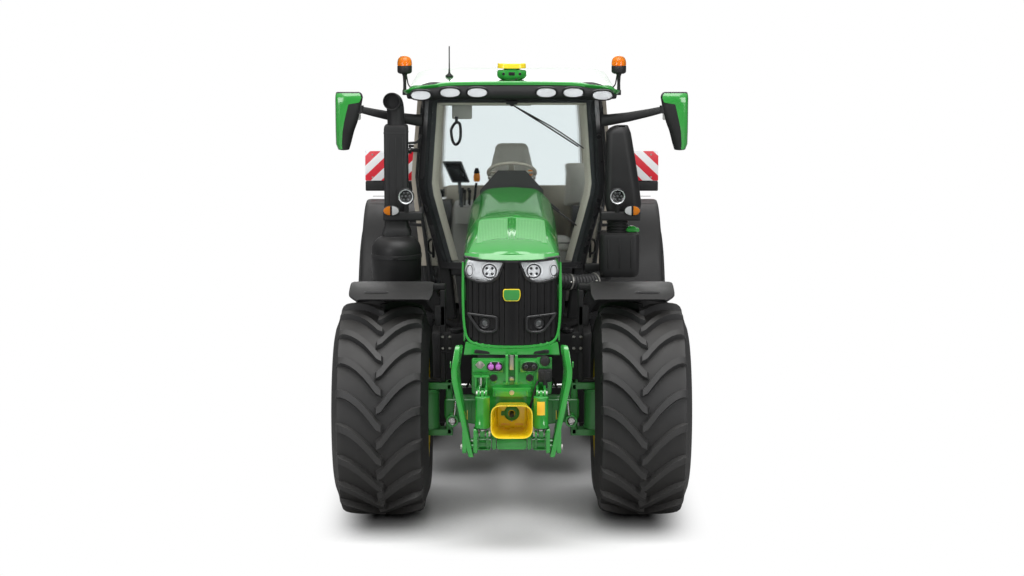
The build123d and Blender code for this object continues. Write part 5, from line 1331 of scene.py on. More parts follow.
linkage_shapes += [both(plate(rounded([(98, 1080), (118, 1080), (114, 1122), (102, 1122)], 5), -1108, -1098,
                              "y", 3))]
for x in (175, 225):
    lug = plate(rounded([(plate_face, 1158), (-1206, 1142), (-1216, 1122), (-1216, 1102), (plate_face, 1092)],
                        [4, 14, 10, 10, 4], 4), x - 8, x + 8, "x", 2)
    linkage_shapes.append(both(lug))
linkage_shapes.append(
                      both(plate(rounded([(plate_face, 902), (plate_face, 822), (-1060, 782), (-1060, 692),
                                          (-962, 692), (-962, 800), (-1000, 902)], [6, 30, 20, 26, 26, 14, 6],
                                         5), 108, 136, "x", 3)))
piece("linkage_plates", linkage_shapes, "green_lacquer", slot="chassis_green",
      replaces=["front_linkage_frame"])

pins = [both(rod((170, -1195, 1119), (236, -1195, 1119), 12, 24)),
        both(moved(hexagon("x", 30, 12), 233, -1195, 1119))]
pins += [moved(hexagon("y", 24, 14), 0, -1106, 1104),
         moved(turned([(0, 0), (0, 17), (-4, 17), (-6, 0)], (0, 0, 0), "y", 24), 0, -1100, 1104)]
piece("linkage_pins", pins, "zinc")
clamp_plate = [plate(rounded(rectangle(-15, 15, 1256, 1358), 3), -1066, -1056, "y", 2),
               plate(rounded(rectangle(-15, 15, 1184, 1208), 3), -1070, -1056, "y", 2)]
piece("toplink_bracket_inlay", clamp_plate, "zinc")

# %% [markdown]
# ## Couplers and sockets
# Two pairs of couplers under dust caps, a grease point, a round socket and a square one with its cable.

# %% Couplers
coupler_z = 1276
coupler_row = [
    # x, finish
    (-142, "purple_plastic"), (-91, "purple_plastic"),
    (99, "black_smooth"), (152, "black_smooth"),
]
recesses, caps = [], {"purple_plastic": [], "black_smooth": []}
for x, finish in coupler_row:
    cap = turned([(-30, 0), (-30, 12), (-27, 17), (-20, 20), (-4, 21), (0, 21)], (x, -1052, coupler_z), "y",
                 32)
    tab = block(x - 6, x + 6, -1078, -1054, 1294, 1308, 3, 5, "y")
    caps[finish] += [cap, tab]
for middle in (-116, 125):
    recess = oval(112, 68, 36, 2.6)
    recesses.append(plate([(middle + x, coupler_z + z) for x, z in recess], -1054, -1049, "y", 1))
piece("coupler_recesses", recesses, "black_metal")
recess_rims = [framed(np.array([(middle + x, coupler_z + z) for x, z in oval(118, 74, 36, 2.6)]),
                      np.array([(middle + x, coupler_z + z) for x, z in oval(108, 64, 36, 2.6)]), -1058,
                      -1048, 2) for middle in (-116, 125)]
piece("coupler_rims", recess_rims, "green_chassis")
piece("coupler_caps_purple", caps["purple_plastic"], "purple_plastic", slot="black_plastic")
piece("coupler_caps_black", caps["black_smooth"], "black_smooth")
grease = [turned([(-16, 0), (-16, 6), (-12, 8), (-12, 15), (-6, 19), (-6, 24), (0, 26)], (-217, -1049, 1288),
                 "y", 32)]
grease.append(plate([(-217 + x, 1288 + z) for x, z in oval(66, 46, 28, 1.3)], -1054, -1049, "y", 1))
piece("grease_point", grease, "zinc")
holes = both(turned([(-3, 0), (-3, 17), (-8, 17), (-8, 23), (0, 26)], (124, -1046, 1197), "y", 32))
piece("plate_openings", holes, "black_metal")

# %% Sockets
latch_x, latch_y = -212, -1085
round_socket = turned([(-52, 0), (-52, 24), (-48, 30), (-20, 33), (-14, 36), (0, 36)], (228, -1042, 1316),
                      "y", 40)
socket_lid = [block(182, 276, -1098, -1042, 1176, 1264, 8, 12, "y"),
              block(196, 262, -1108, -1096, 1190, 1250, 5, 10, "y"),
              block(222, 236, -1112, -1100, 1180, 1262, 4, 5, "y"),
              block(214, 246, -1084, -1050, 1128, 1180, 6, 10, "z")]
piece("sockets", [round_socket] + socket_lid, "black_plastic")
piece("socket_plate", slab(rounded(rectangle(170, 276, 1150, 1340), 8), 6), "green_lacquer",
      slot="chassis_green")
cable = swept(oval(18, 18, 12),
              curved(np.array([(180, -1068, 1178), (168, -1074, 1150), (150, -1076, 1080), (134, -1068, 1020),
                               (126, -1052, 985), (124, -1036, 960)], float), 6), up=(0, -1, 0))
piece("socket_cable", cable, "rubber_soft")
latch_rod = [rod((latch_x, latch_y, 1222), (latch_x, latch_y, 1120), 11, 20),
             rod((latch_x, latch_y, 1110), (latch_x, latch_y, 1096), 9, 20)]
piece("latch_rod", latch_rod, "bright_steel")
latch = [block(-262, -156, -1098, -1046, 1206, 1222, 4, 8, "z"),
         block(-254, -240, -1092, -1062, 1134, 1208, 3, 5, "z"),
         block(-178, -166, -1092, -1062, 1134, 1208, 3, 5, "z"),
         block(-250, -170, -1098, -1050, 1120, 1132, 3, 8, "z")]
piece("latch_frame", latch, "green_lacquer", slot="chassis_green")

# %% [markdown]
# ## Lift cylinders
# The barrels hang from the plate's lugs. Each rod has a flat eye in the fork of the cross tube.

# %% Barrels and rods
cylinder_x, cylinder_y = 200, -1195
barrel = turned([(878, 24), (878, 46), (884, 52), (912, 52), (916, 50), (1076, 50), (1080, 52), (1094, 52),
                 (1100, 44), (1100, 0)], (cylinder_x, cylinder_y, 0), "z", 40)
barrel_eye = plate(rounded([(-1217, 1092), (-1173, 1092), (-1173, 1122), (-1183, 1140), (-1207, 1140),
                            (-1217, 1122)], [2, 2, 14, 12, 12, 14]), 189, 211, "x", 3)
port = [turned([(0, 0), (0, 13), (16, 13), (16, 9), (22, 9), (22, 0)], (236, -1168, 1050), "y", 20),
        turned([(0, 0), (0, 13), (16, 13), (16, 9), (22, 9), (22, 0)], (236, -1168, 910), "y", 20)]
piece("lift_barrels", [both(barrel), both(barrel_eye), both(join(*port))], "green_lacquer",
      body="front_barrels", slot="chassis_green", replaces=["front_lift_barrels"])
piece("lift_wipers", both(turned([(870, 24), (870, 36), (879, 40)], (cylinder_x, cylinder_y, 0), "z", 32)),
      "rubber_soft", body="front_barrels")
rod_eye = plate(rounded(rectangle(-1223, -1167, 812, 864), 24, 6), 184, 216, "x", 3)
piece("lift_rods_bright", both(rod((cylinder_x, cylinder_y, 850), (cylinder_x, cylinder_y, 1000), 21.5, 28)),
      "bright_steel", body="front_rods", replaces=["front_lift_rods"])
piece("lift_rod_eyes", both(rod_eye), "green_chassis", body="front_rods")
turn = np.radians(np.linspace(-32, 30, 13))[:, None]
label_height = np.linspace(975, 1068, 5)[None, :]
label_at = lambda radius: np.stack([cylinder_x + radius * np.sin(turn) + 0 * label_height, cylinder_y
                                    - radius * np.cos(turn) + 0 * label_height, label_height + 0 * turn], -1)
piece("blank_label", shell(label_at(51.2), label_at(50.4)), "yellow_label", body="front_barrels")

# %% Cross tube with its forks
tube_y, tube_z, rod_pin_z = -1010, 735, 836
fold_y, fold_z = -1180, 745
tube = [turned([(-104, 32), (-104, 40), (104, 40), (104, 32)], (0, tube_y, tube_z), "x", 32, closed=True)]
tube += [both(turned([(141, 30), (141, 42), (240, 42), (240, 30)], (0, tube_y, tube_z), "x", 32,
                     closed=True)), both(rod((238, tube_y, tube_z), (343, tube_y, tube_z), 30, 32))]
tube.append(
            plate(rounded([(-96, 696), (96, 696), (104, 716), (104, 760), (60, 772), (-60, 772), (-104, 760),
                           (-104, 716)], 10), -1058, -1046, "y", 3))
crank = rounded([(-1055, 695), (-972, 700), (-970, 772), (-1068, 798), (-1172, 860), (-1218, 856),
                 (-1222, 815), (-1160, 790)], [30, 30, 30, 20, 22, 26, 26, 30], 5)
for x in (166, 234):
    tube.append(both(plate(crank, x - 8, x + 8, "x", 3)))
arm = rounded([(-1228, 702), (-967, 692), (-967, 790), (-1066, 862), (-1228, 876)], [26, 30, 30, 24, 22], 5)
tube += [both(plate(arm, 308, 338, "x", 4)), both(plate(arm, 234, 262, "x", 4))]
tube.append(both(rod((250, fold_y, fold_z), (336, fold_y, fold_z), 16, 24)))
tube.append(both(block(150, 250, -1052, -968, 690, 700, 3, 10, "z")))
piece("lift_forks", tube, "green_lacquer", body="front_lift", slot="chassis_green",
      replaces=["front_lift_rocker"])
fork_pins = [both(rod((156, cylinder_y, rod_pin_z), (244, cylinder_y, rod_pin_z), 11, 20)),
             both(moved(hexagon("x", 28, 12), 242, cylinder_y, rod_pin_z)),
             both(moved(hexagon("x", 36, 14), 338, fold_y, fold_z)),
             both(moved(turned([(0, 0), (-4, 19), (12, 22), (16, 0)], (0, 0, 0), "x", 24), 150, cylinder_y,
                        rod_pin_z))]
piece("fork_pins", fork_pins, "zinc", body="front_lift")

# %% Folded lower links
link_foot, link_stretch = 680, 1.064
link_rows = [
    # z, x outer, width of the front face, turn of the side, y front, y back
    (702, 262, 32, -2, -1228, -1132), (730, 268, 34, -3, -1232, -1128), (900, 306, 36, -10, -1228, -1118),
    (1190, 370, 38, -22, -1214, -1096),
    (1222, 374, 38, -24, -1214, -1094), (1262, 376, 38, -24, -1214, -1094),
    (1390, 356, 36, -22, -1208, -1110), (1412, 352, 34, -20, -1190, -1126),
    (1420, 354, 26, -16, -1176, -1140),
]
link_levels = []
for z, x, width, lean, y0, y1 in link_rows:
    z = link_foot + (z - link_rows[0][0]) * link_stretch
    corners = rounded([(x, y0), (x + width, y0), (x + width + lean, y1), (x + lean, y1)], min(7, width / 4),
                      2)
    link_levels.append((corners, z))
link = stacked(link_levels, "z")
lock = [plate(rounded(rectangle(-1196, -1150, 1290, 1336), 16), 412, 420, "x", 2)]
piece("folded_links", [both(link), both(join(*lock))], "green_lacquer", body="front_link_pair",
      slot="chassis_green", replaces=["front_links"])
side_lug = both(plate(rounded([(-1176, 706), (-1110, 712), (-1110, 800), (-1176, 812)], 12), 296, 305, "x",
                      3))
piece("link_lugs", side_lug, "green_lacquer", body="front_link_pair", slot="chassis_green")
decal = both(plate(rounded(rectangle(-1170, -1146, 930, 990), 3), 303, 305.5, "x", 0.5))
piece("blank_link_labels", decal, "yellow_label", body="front_link_pair")

# %% [markdown]
# ## Guard of the front drive shaft
# A yellow hood with round corners narrows towards the plate. Inside stand the bearing flange and the
# splined stub shaft.

# %% Shaft guard
shaft_z = 953
def guard_ring(half_width, z0, z1, radius, count=96):
    return resampled(rounded(rectangle(-half_width, half_width, z0, z1), radius, 8), count)


shield_rows = [
    # y, half width, lower, upper, corner radius
    (-1041, 104, 850, 1026, 30), (-1100, 112, 850, 1036, 40), (-1405, 139, 850, 1074, 70),
    (-1414, 142, 849, 1078, 72), (-1420, 141, 850, 1077, 72),
    (-1418, 136, 855, 1071, 68), (-1405, 132, 859, 1067, 64), (-1110, 103, 852, 1024, 34),
    (-1056, 97, 856, 1016, 26), (-1052, 90, 862, 1010, 22),
]
shield_grid = [np.stack([ring[:, 0], np.full(len(ring), y), ring[:, 1]], 1) for y,
               ring in ((y, guard_ring(w, z0, z1, r)) for y, w, z0, z1, r in shield_rows)]
piece("shaft_guard", sheet(np.array(shield_grid)), "yellow_lacquer", crease=30, replaces=["front_pto_shield"])
pale_labels = [plate(rounded(rectangle(x - 29, x + 29, 866, 881), 2), -1054, -1052.5, "y", 0.3)
               for x in (-44, 50)]
piece("blank_guard_labels", pale_labels, "yellow_label")
flange = [turned([(-24, 26), (-24, 36), (-18, 48), (-8, 53), (0, 53), (0, 26)], (0, -1053, shaft_z), "y", 48,
                 closed=True), block(-74, -40, -1068, -1053, 936, 968, 4, 10, "y")]
piece("shaft_bearing", flange, "green_chassis")
guard_bolts = [moved(hexagon("y", 12, 8), x, -1058, z) for x,
               z in ((0, 1008), (0, 898), (-44, shaft_z), (44, shaft_z))]
piece("guard_bolts", guard_bolts + [both(moved(hexagon("y", 32, 20), 140, -1100, 846)),
                                    both(moved(turned([(0, 0), (0, 22), (-5, 22), (-7, 0)], (0, 0, 0), "y",
                24), 140, -1090, 846))], "zinc")
spline_angles = np.linspace(0, 360, 6, endpoint=False)
teeth = around(block(-3.4, 3.4, -1143, -1070, 14, 17.2, 1, 1), "y", (0, 0, 0), spline_angles)
shaft = turned([(-1144, 0), (-1144, 12), (-1140, 14.5), (-1118, 14.5), (-1116, 12.5), (-1110, 12.5),
                (-1108, 14.5), (-1052, 14.5), (-1050, 23.5), (-1016, 23.5), (-1016, 0)], (0, 0, shaft_z), "y",
               40)
piece("front_stub_shaft", [shaft, moved(teeth, 0, 0, shaft_z)], "black_metal", body="front_pto", slot="steel",
      replaces=["front_pto_shaft"])
print("front linkage done")

# %% [markdown]
# ## Front axle and mudguards
# The cast beam carries a forked end round each kingpin. The mudguards stand on posts that turn with the
# knuckles; each is a thin arch with a rolled rim and cut corners.

# %% Axle beam
beam_z = front_radius - 98, front_radius + 82
beam = plate(rounded([(-490, beam_z[0] + 20), (-190, beam_z[0] - 20), (190, beam_z[0] - 20),
                      (490, beam_z[0] + 20), (490, beam_z[1]), (-490, beam_z[1])],
                     [40, 90, 90, 40, 26, 26], 6), -95, 95, "y", 16, 4)
ribs = [both(block(x - 6, x + 6, -104, -90, beam_z[0] + 14, beam_z[1] - 10, 3)) for x in (215, 300)]
ears = []
for z in (front_radius + 150, front_radius - 194):
    ear = stacked(
                  [(rounded([(430, -68), (600, -68), (680, -40), (688, 0), (680, 40), (600, 68), (430, 68)],
                            [10, 40, 30, 30, 30, 40, 10], 5), level)
                   for level in (z, z + 44)], "z")
    ears += [both(ear),
             both(moved(turned([(0, 0), (0, 44), (10, 46), (16, 40), (18, 0)], (620, 0, z + 44), "z", 32), 0,
                        0, 0))]
root = both(block(430, 480, -68, 68, front_radius - 194, front_radius + 194, 14))
cylinder = [turned([(-210, 18), (-210, 36), (-204, 38), (-176, 38), (-172, 34), (172, 34), (176, 38),
                    (204, 38), (210, 36), (210, 18)], (0, 200, front_radius + 125), "x", 32),
            block(-60, 60, 92, 218, beam_z[1] - 22, beam_z[1] - 2, 4),
            block(-60, 60, 172, 218, beam_z[1] - 4, front_radius + 96, 4)]
piece("axle_beam", [beam, root] + ribs + ears + cylinder, "green_chassis", replaces=["front_axle"])
pins = both(rod((620, 0, front_radius - 160), (620, 0, front_radius + 218), 28, 28))
piece("kingpins", [pins, both(moved(hexagon("z", 40, 16), 620, 0, front_radius + 212))], "zinc")
caps = join(turned([(-2, 28), (-8, 32), (-8, 42), (-2, 46), (24, 46), (26, 28)], (432, -128, 705), "y", 40,
                   closed=True), block(410, 454, -112, -92, 690, 760, 4))
piece("suspension_caps", both(caps), "green_lacquer", slot="chassis_green")
ball = [rod((408, -125, 850), (418, -125, 748), 10, 20),
        turned([(-6, 0), (-6, 12), (-2, 14), (-2, 22), (-5, 27), (20, 28), (20, 0)], (432, -128, 705), "y",
               32)]
piece("suspension_rods", both(join(*ball)), "bright_steel")
hoses = [
         curved(np.array([(x, 150, 905 + lift), (x - 40, 60, 1010 + lift), (x - 90, -20, 1050 + lift),
                          (x - 150, 60, 1120 + lift)], float), 6) for x, lift in ((330, 0), (300, 18))]
piece("steering_hoses", [both(pipe(path, 9, (0, 0, 1), 10)) for path in hoses], "rubber_soft")

# %% Knuckle details
for side, turn in (("left", lambda shape: shape), ("right", mirrored)):
    body = f"knuckle_{side}_body"
    bolts = around(moved(hexagon("x", 17, 11), 690, 0, front_radius + 124), "x", (0, 0, front_radius),
                   np.arange(0, 360, 45.0) + 22.5)
    collars = [turned([(z, 93), (z, 99), (z + 8, 99), (z + 8, 93)], (620, 0, 0), "z", 40, closed=True)
               for z in (front_radius - 138, front_radius + 122)]
    piece(f"knuckle_bolts_{side}", turn(bolts), "zinc", body=body)
    piece(f"knuckle_collars_{side}", [turn(collar) for collar in collars], "green_chassis", body=body)

# %% Mudguards
guard_radius = front_radius + 132
guard_angles = np.radians(np.linspace(22, -49, 61))
ends = np.clip((np.abs(np.degrees(guard_angles) + 13.5) - 29) / 6.5, 0, 1) ** 1.5
across = np.array([(0, -9), (0, 4), (6, 9.5), (30, 9.8), (88, 9.8), (97, 8), (100, 2), (100, -14),
                   (98.5, -14), (98.5, 0), (95, 5), (88, 6), (30, 6), (8, 6), (2, 2), (1.6, -9)], float)
guard_grid = np.zeros((len(guard_angles), len(across), 3))
inner_edge, outer_edge = 568 + 22 * ends, 1167 - 62 * ends
guard_grid[..., 0] = inner_edge[:, None] + (outer_edge - inner_edge)[:, None] * across[None, :, 0] / 100
reach = guard_radius + across[None, :, 1]
guard_grid[..., 1] = -reach * np.sin(guard_angles)[:, None]
guard_grid[..., 2] = front_radius + reach * np.cos(guard_angles)[:, None]


def on_guard(x, degrees, lift=0.0):
    """Point on the mudguard's outer face at a place across and an angle ahead of the top."""
    angle, out = math.radians(degrees), guard_radius + 10 + lift
    return x, -out * math.sin(angle), front_radius + out * math.cos(angle)


handle = np.array([on_guard(970 + x, 15.5 + z / 17, 0.6) for x, z in oval(176, 30, 40, 3.0)])
handle_inner = np.array([on_guard(970 + x, 15.5 + z / 17, 0.6) for x, z in oval(156, 16, 40, 3.0)])
slot_rim = sheet(np.stack([handle, handle + (0, -2, 3), handle_inner + (0, -2, 3), handle_inner]))
slot_floor = sheet(np.stack([handle_inner, handle_inner * (0.02, 0.02, 0.02) + handle_inner.mean(0) * 0.98]),
                   caps=True)
posts = [block(481, 520, -44, 44, 976, front_radius + guard_radius - 38, 7),
         block(481, 560, -44, 44, front_radius + guard_radius - 300, front_radius + guard_radius - 150, 8),
         block(482, 1040, -29, 29, front_radius + guard_radius - 38, front_radius + guard_radius + 3, 8),
         block(500, 640, -44, 44, 976, 992, 4, 16),
         plate(rounded([(505, 1540), (505, 1400), (700, 1672), (560, 1672)], [10, 14, 14, 10]), -12, 12, "y",
               3)]
posts.append(block(438, 514, -52, -38, 1196, 1348, 5, 12, "y"))
post_bolts = [moved(washer_bolt("y", 15, -9), x, -52, z) for x in (452, 499) for z in (1229, 1314)]
for side, turn in (("left", lambda shape: shape), ("right", mirrored)):
    body = f"mudguard_{side}"
    piece(f"mudguard_shell_{side}", [turn(sheet(guard_grid))] + [turn(p) for p in posts], "black_plastic",
          body=body, replaces=[f"front_mudguard_{side}"])
    piece(f"mudguard_slot_{side}", [turn(slot_rim), turn(slot_floor)], "black_smooth", body=body)
    piece(f"mudguard_bolts_{side}", [turn(bolt) for bolt in post_bolts], "zinc", body=body)
print("front axle done")

# %% [markdown]
# ## Cab
# The cab stands on slim pillars that lean and bow a little. One table gives the place of each pillar at
# four heights, and everything fixed to the cab's sides reads its place from there.

# %% Cab frame
post_top, hinge_y = 2906, wheelbase - 885
cab_table = np.array([
    # z, A pillar x, y, B pillar x, y, C pillar x, y
    (1200, 470, 1330, 640, wheelbase - 1050, 600, wheelbase + 160),
    (1640, 520, 1345, 690, wheelbase - 925, 640, wheelbase + 160),
    (2250, 686, 1370, 762, wheelbase - 850, 700, wheelbase + 160),
    (2905, 640, 1390, 706, wheelbase - 850, 650, wheelbase + 140),
])
pillar_column = {"A": 1, "B": 3, "C": 5}
floor_z = rear_radius + 232
sill_z = 2 * rear_radius + 62


def pillar_at(letter, z):
    k = pillar_column[letter]
    return np.interp(z, cab_table[:, 0], cab_table[:, k]), np.interp(z, cab_table[:, 0], cab_table[:, k + 1])


def side_x(z, y):
    """Half width of the cab's side: straight between the pillars on both sides of y."""
    (xa, ya), (xb, yb), (xc, yc) = (pillar_at(letter, z) for letter in "ABC")
    return np.where(y <= yb, xa + (xb - xa) * (y - ya) / (yb - ya), xb + (xc - xb) * (y - yb) / (yc - yb))


def strip(letter, z0, z1, outline, count=15):
    """Post along a pillar: the same outline, in x and y from the pillar's middle, at evenly spaced
    heights."""
    outline, levels = np.array(outline, float), []
    for z in np.linspace(z0, z1, count):
        levels.append((outline + np.array(pillar_at(letter, z)), z))
    return stacked(levels, "z")


pillar_outline = rounded([(-30, -45), (34, -45), (45, -30), (45, 40), (34, 45), (-45, 45), (-45, -20)],
                         [8, 12, 10, 14, 12, 6, 12], 3)
posts = [strip("A", floor_z + 40, post_top, pillar_outline),
         strip("B", floor_z + 40, post_top, pillar_outline), strip("C", sill_z, post_top, pillar_outline)]
sill_y = np.linspace(wheelbase - 850, wheelbase + 160, 8)
sill = np.array(
                [[(side_x(z, y) + dx, y, z) for dx,
                  z in ((-43, sill_z + 2), (-45, sill_z + 66), (-36, sill_z + 70), (36, sill_z + 70),
                        (45, sill_z + 62), (45, sill_z + 2))] for y in sill_y], float)
ring_row = [(cab_table[-1, k] + s * 45, cab_table[-1, k + 1] + t * 45) for k, s,
            t in ((1, 1, -1), (3, 1, 0), (5, 1, 1))]
outer_ring = rounded(ring_row + [(-x, y) for x, y in ring_row[::-1]], 40, 4)
inner_row = [(cab_table[-1, k] - 45, cab_table[-1, k + 1] + t * 45) for k, t in ((1, 1), (3, 0), (5, -1))]
inner_ring = rounded(inner_row + [(-x, y) for x, y in inner_row[::-1]], 60, 4)
header = [np.column_stack([ring, np.full(len(ring), z)]) for ring,
          z in ((inner_ring, 2907), (outer_ring, post_top), (outer_ring, 2944), (inner_ring, 2944))]
foot = block(-470, 470, 1286, 1374, 1566, 1640, 8, 14, "x")
hinges = [block(side_x(z, hinge_y) + 12, 826, wheelbase - 897, wheelbase - 871, z, z + 20, 4, 8)
          for z in (1900, 2500)]
hinges += [rod((815, hinge_y, z - 30), (815, hinge_y, z + 22), 8) for z in (1900, 2500)]
rear_lug = [block(440, 460, wheelbase + 165, wheelbase + 232, 2921, 2936, 3),
            rod((420, wheelbase + 225, 2926), (460, wheelbase + 225, 2926), 6)]
piece("cab_posts", [both(join(*posts, sheet(sill), *hinges, *rear_lug)),
                    sheet(np.array(header), wrap_rows=True), foot,
                    block(-650, 650, wheelbase + 116, wheelbase + 204, sill_z, sill_z + 70, 8, 14, "x")],
                    "black_plastic", replaces=["cab_frame"])
lining_outline = rounded([(-46, -38), (-84, -20), (-118, 44), (-104, 60), (44, 58), (44, 47), (-46, 47)],
                         [6, 14, 14, 12, 4, 3, 3], 3)
linings = [strip("A", 1680, 2890, lining_outline * (1, 0.86)),
           strip("B", 1560, 2890, lining_outline * (1, -1)),
           strip("C", sill_z + 75, 2890, lining_outline * (1, -1))]
piece("pillar_linings", both(join(*linings)), "cab_beige")
inner_seal = rounded(rectangle(-66, -30, -54, -48), 3)
piece("screen_seals", both(strip("A", 1645, 2925, inner_seal * (1, 1))), "rubber_soft")

# %% Windscreen edge and wipers
def screen_point(share, z, ahead=0.0):
    """Place on the windscreen: x is a share of its half width, y bows forward with the square of the
    share."""
    x, y = pillar_at("A", z)
    return share * (x + 30), y - 46 - 6 - 110 * (1 - share ** 2) - ahead, z


def screen_band(z0, z1, ahead=0.6, thick=1.5, rows=4):
    """Printed band on the glass between two heights."""
    shares = np.linspace(-1, 1, 33)
    grid = [[screen_point(s, z, ahead) for s in shares] for z in np.linspace(z0, z1, rows)]
    back = [[screen_point(s, z, ahead - thick) for s in shares] for z in np.linspace(z1, z0, rows)]
    return sheet(np.array(grid + back), wrap_rows=True, wrap=False)


edge_shares = np.linspace(0.955, 1.0, 3)
edge_band = np.array([[screen_point(s, z, 0.6) for s in edge_shares]
                      + [screen_point(s, z, -0.9) for s in edge_shares[::-1]]
                      for z in np.linspace(1626, 2932, 30)])
piece("screen_print", [screen_band(1626, 1676), both(sheet(edge_band))], "black_smooth")
wiper_foot, wiper_tip = np.array(screen_point(0.0, 2906, 30)), np.array(screen_point(0.74, 2575, 14))
bend = (wiper_foot + wiper_tip) / 2 + np.array([0, -34, 6])
arm = curved(np.array([wiper_foot, wiper_foot * 0.75 + wiper_tip * 0.25 + (0, -20, 0), bend, wiper_tip]), 6)
blade_ends = [np.array(screen_point(s, z, 9)) for s, z in ((0.06, 2880), (0.3, 2790), (0.55, 2690),
        (0.80, 2560))]
blade = swept(rounded(rectangle(-5, 5, -4, 8), 3), curved(np.array(blade_ends), 5), up=(0, -1, 0))
piece("wiper", [pipe(arm, 6, (0, -1, 0), 10), blade, rod(wiper_foot + (0, 26, 0), wiper_foot + (0, -8, 0), 17,
            24), block(-44, 44, wiper_foot[1] - 2, wiper_foot[1] + 60, 2904, 2936, 6)], "black_smooth")
on_screen = lambda x, z, ahead: np.array(screen_point(x / (pillar_at("A", z)[0] + 30), z, ahead))
low_arm = curved(np.array([on_screen(250, 2182, 18), on_screen(308, 2132, 24), on_screen(366, 2085, 14)]), 6)
low_blade = curved(np.array([on_screen(308, 2112, 8), on_screen(400, 2045, 9), on_screen(500, 1965, 8)]), 6)
piece("low_wiper",
      [pipe(low_arm, 7, (0, -1, 0), 10), swept(rounded(rectangle(-6, 6, -4, 9), 3), low_blade, up=(0, -1, 0)),
       rod(low_arm[0] + (0, 22, 0), low_arm[0] + (0, -8, 0), 13, 20)], "black_smooth")

# %% Roof
def roof_outline(x, y0, y1, cut):
    """Eight-cornered outline with softened corners."""
    return rounded([(x, y0 + cut), (x, y1 - cut), (x - cut, y1), (-x + cut, y1), (-x, y1 - cut),
                    (-x, y0 + cut), (-x + cut, y0), (x - cut, y0)], cut * 0.45, 5)


roof_front, roof_rear = 1180, wheelbase + 330
roof_levels = [(788, 0, 0, 88, 2946), (797, 0, 0, 88, 2958), (805, 0, 0, 90, 2984), (800, 0, 4, 94, 3002),
               (789, 0, 16, 104, 3024), (769, 0, 40, 120, 3040),
               (738, 14, 74, 140, 3055), (700, 40, 112, 160, 3065), (640, 90, 170, 170, 3070),
               (300, 330, 480, 120, 3070)]
roof = stacked([(roof_outline(x, roof_front + front, roof_rear - rear, cut), z) for x, front, rear, cut,
                z in roof_levels], "z")
piece("roof_shell", roof, "green_lacquer", crease=50, replaces=["roof_cap"])
under = stacked([(roof_outline(782, roof_front + 4, roof_rear - 4, 84), 2944.6),
                 (roof_outline(794, roof_front - 1, roof_rear - 1, 88), 2957)], "z")
piece("roof_underside", under, "black_plastic")

visor_rows = [
    # z, half width at the back, half width at the front, y of the front
    (2949, 790, 672, 1104), (2954, 799, 690, 1090), (2968, 803, 716, 1074), (2986, 805, 738, 1065),
    (3004, 790, 728, 1063), (3020, 760, 700, 1066),
    (3038, 722, 648, 1072), (3060, 682, 616, 1078), (3074, 642, 598, 1086), (3080, 610, 560, 1104),
]
visor = []
for z, back, front, y in visor_rows:
    bow = 1 - np.linspace(-1, 1, 25) ** 2
    face = [(front * s, y + 10 - 9 * b) for s, b in zip(np.linspace(-1, 1, 25), bow)]
    ring = [(-back, 1178)] + [(-back + (back - front) * t, 1178 + (y + 10 - 1178) * t ** 0.7)
                              for t in (0.3, 0.6, 0.85)] + face
    ring += [(-x, yy) for x, yy in ring[3:0:-1]] + [(back, 1178)]
    visor.append((np.array(ring, float), z))
piece("visor_shell", stacked(visor, "z"), "black_plastic", crease=40, replaces=["roof_visor"])
lip = curved(np.array([(-588, 1078, 3056), (-556, 1072, 3074), (-300, 1068, 3081), (0, 1064, 3082),
                       (300, 1068, 3081), (556, 1072, 3074), (588, 1078, 3056)], float), 8)
ear = curved(np.array([(560, 1082, 3060), (640, 1074, 3056), (716, 1082, 3042), (776, 1112, 3018),
                       (803, 1176, 3004)], float), 8)
lip_profile = rounded([(-4, -16), (5, -16), (7, 4), (2, 13), (-24, 15), (-26, 6)], 3)
piece("roof_front_lip", [swept(lip_profile, lip + (0, 10, -4), (0, 0, 1)),
                         both(swept(lip_profile, ear[::-1] + (0, 10, -6), (0, 0, 1)))], "green_lacquer")

# %% Roof and work lamps
def bowl_lamp(x, z, y, width, height, power=2.3):
    """Oval lamp: rim, reflector bowl and a grid of small domes, with a clear cover in front. Returns rim,
    bowl, domes, cover."""
    ring = lambda w, h, yy: np.stack([x + oval(w, h, 48, power)[:, 0], np.full(48, yy),
                                      z + oval(w, h, 48, power)[:, 1]], 1)
    rim = sheet(
                np.array([ring(width, height, y + 2), ring(width, height, y - 14),
                          ring(width - 6, height - 6, y - 18), ring(width - 12, height - 12, y - 15),
                          ring(width - 12, height - 12, y + 2)]), caps=False)
    bowl = sheet(np.array([ring(width - 12, height - 12, y - 13), ring(width * 0.86, height * 0.82, y - 3),
                           ring(width * 0.72, height * 0.6, y + 4), ring(width * 0.3, height * 0.2, y + 5)]))
    spots = [(px, pz) for px in np.linspace(-0.26, 0.26, 3) for pz in (-0.17, 0.17)]
    domes = [turned([(6, 0), (6, 8), (0, 8), (-5, 5), (-7, 0)], (x + px * width, y - 1, z + pz * height), "y",
                    16) for px, pz in spots]
    cover = sheet(np.array([ring(width - 14, height - 14, y - 14), ring(width * 0.8, height * 0.78, y - 16.5),
                            ring(width * 0.4, height * 0.4, y - 17.8)]))
    return rim, bowl, join(*domes), cover


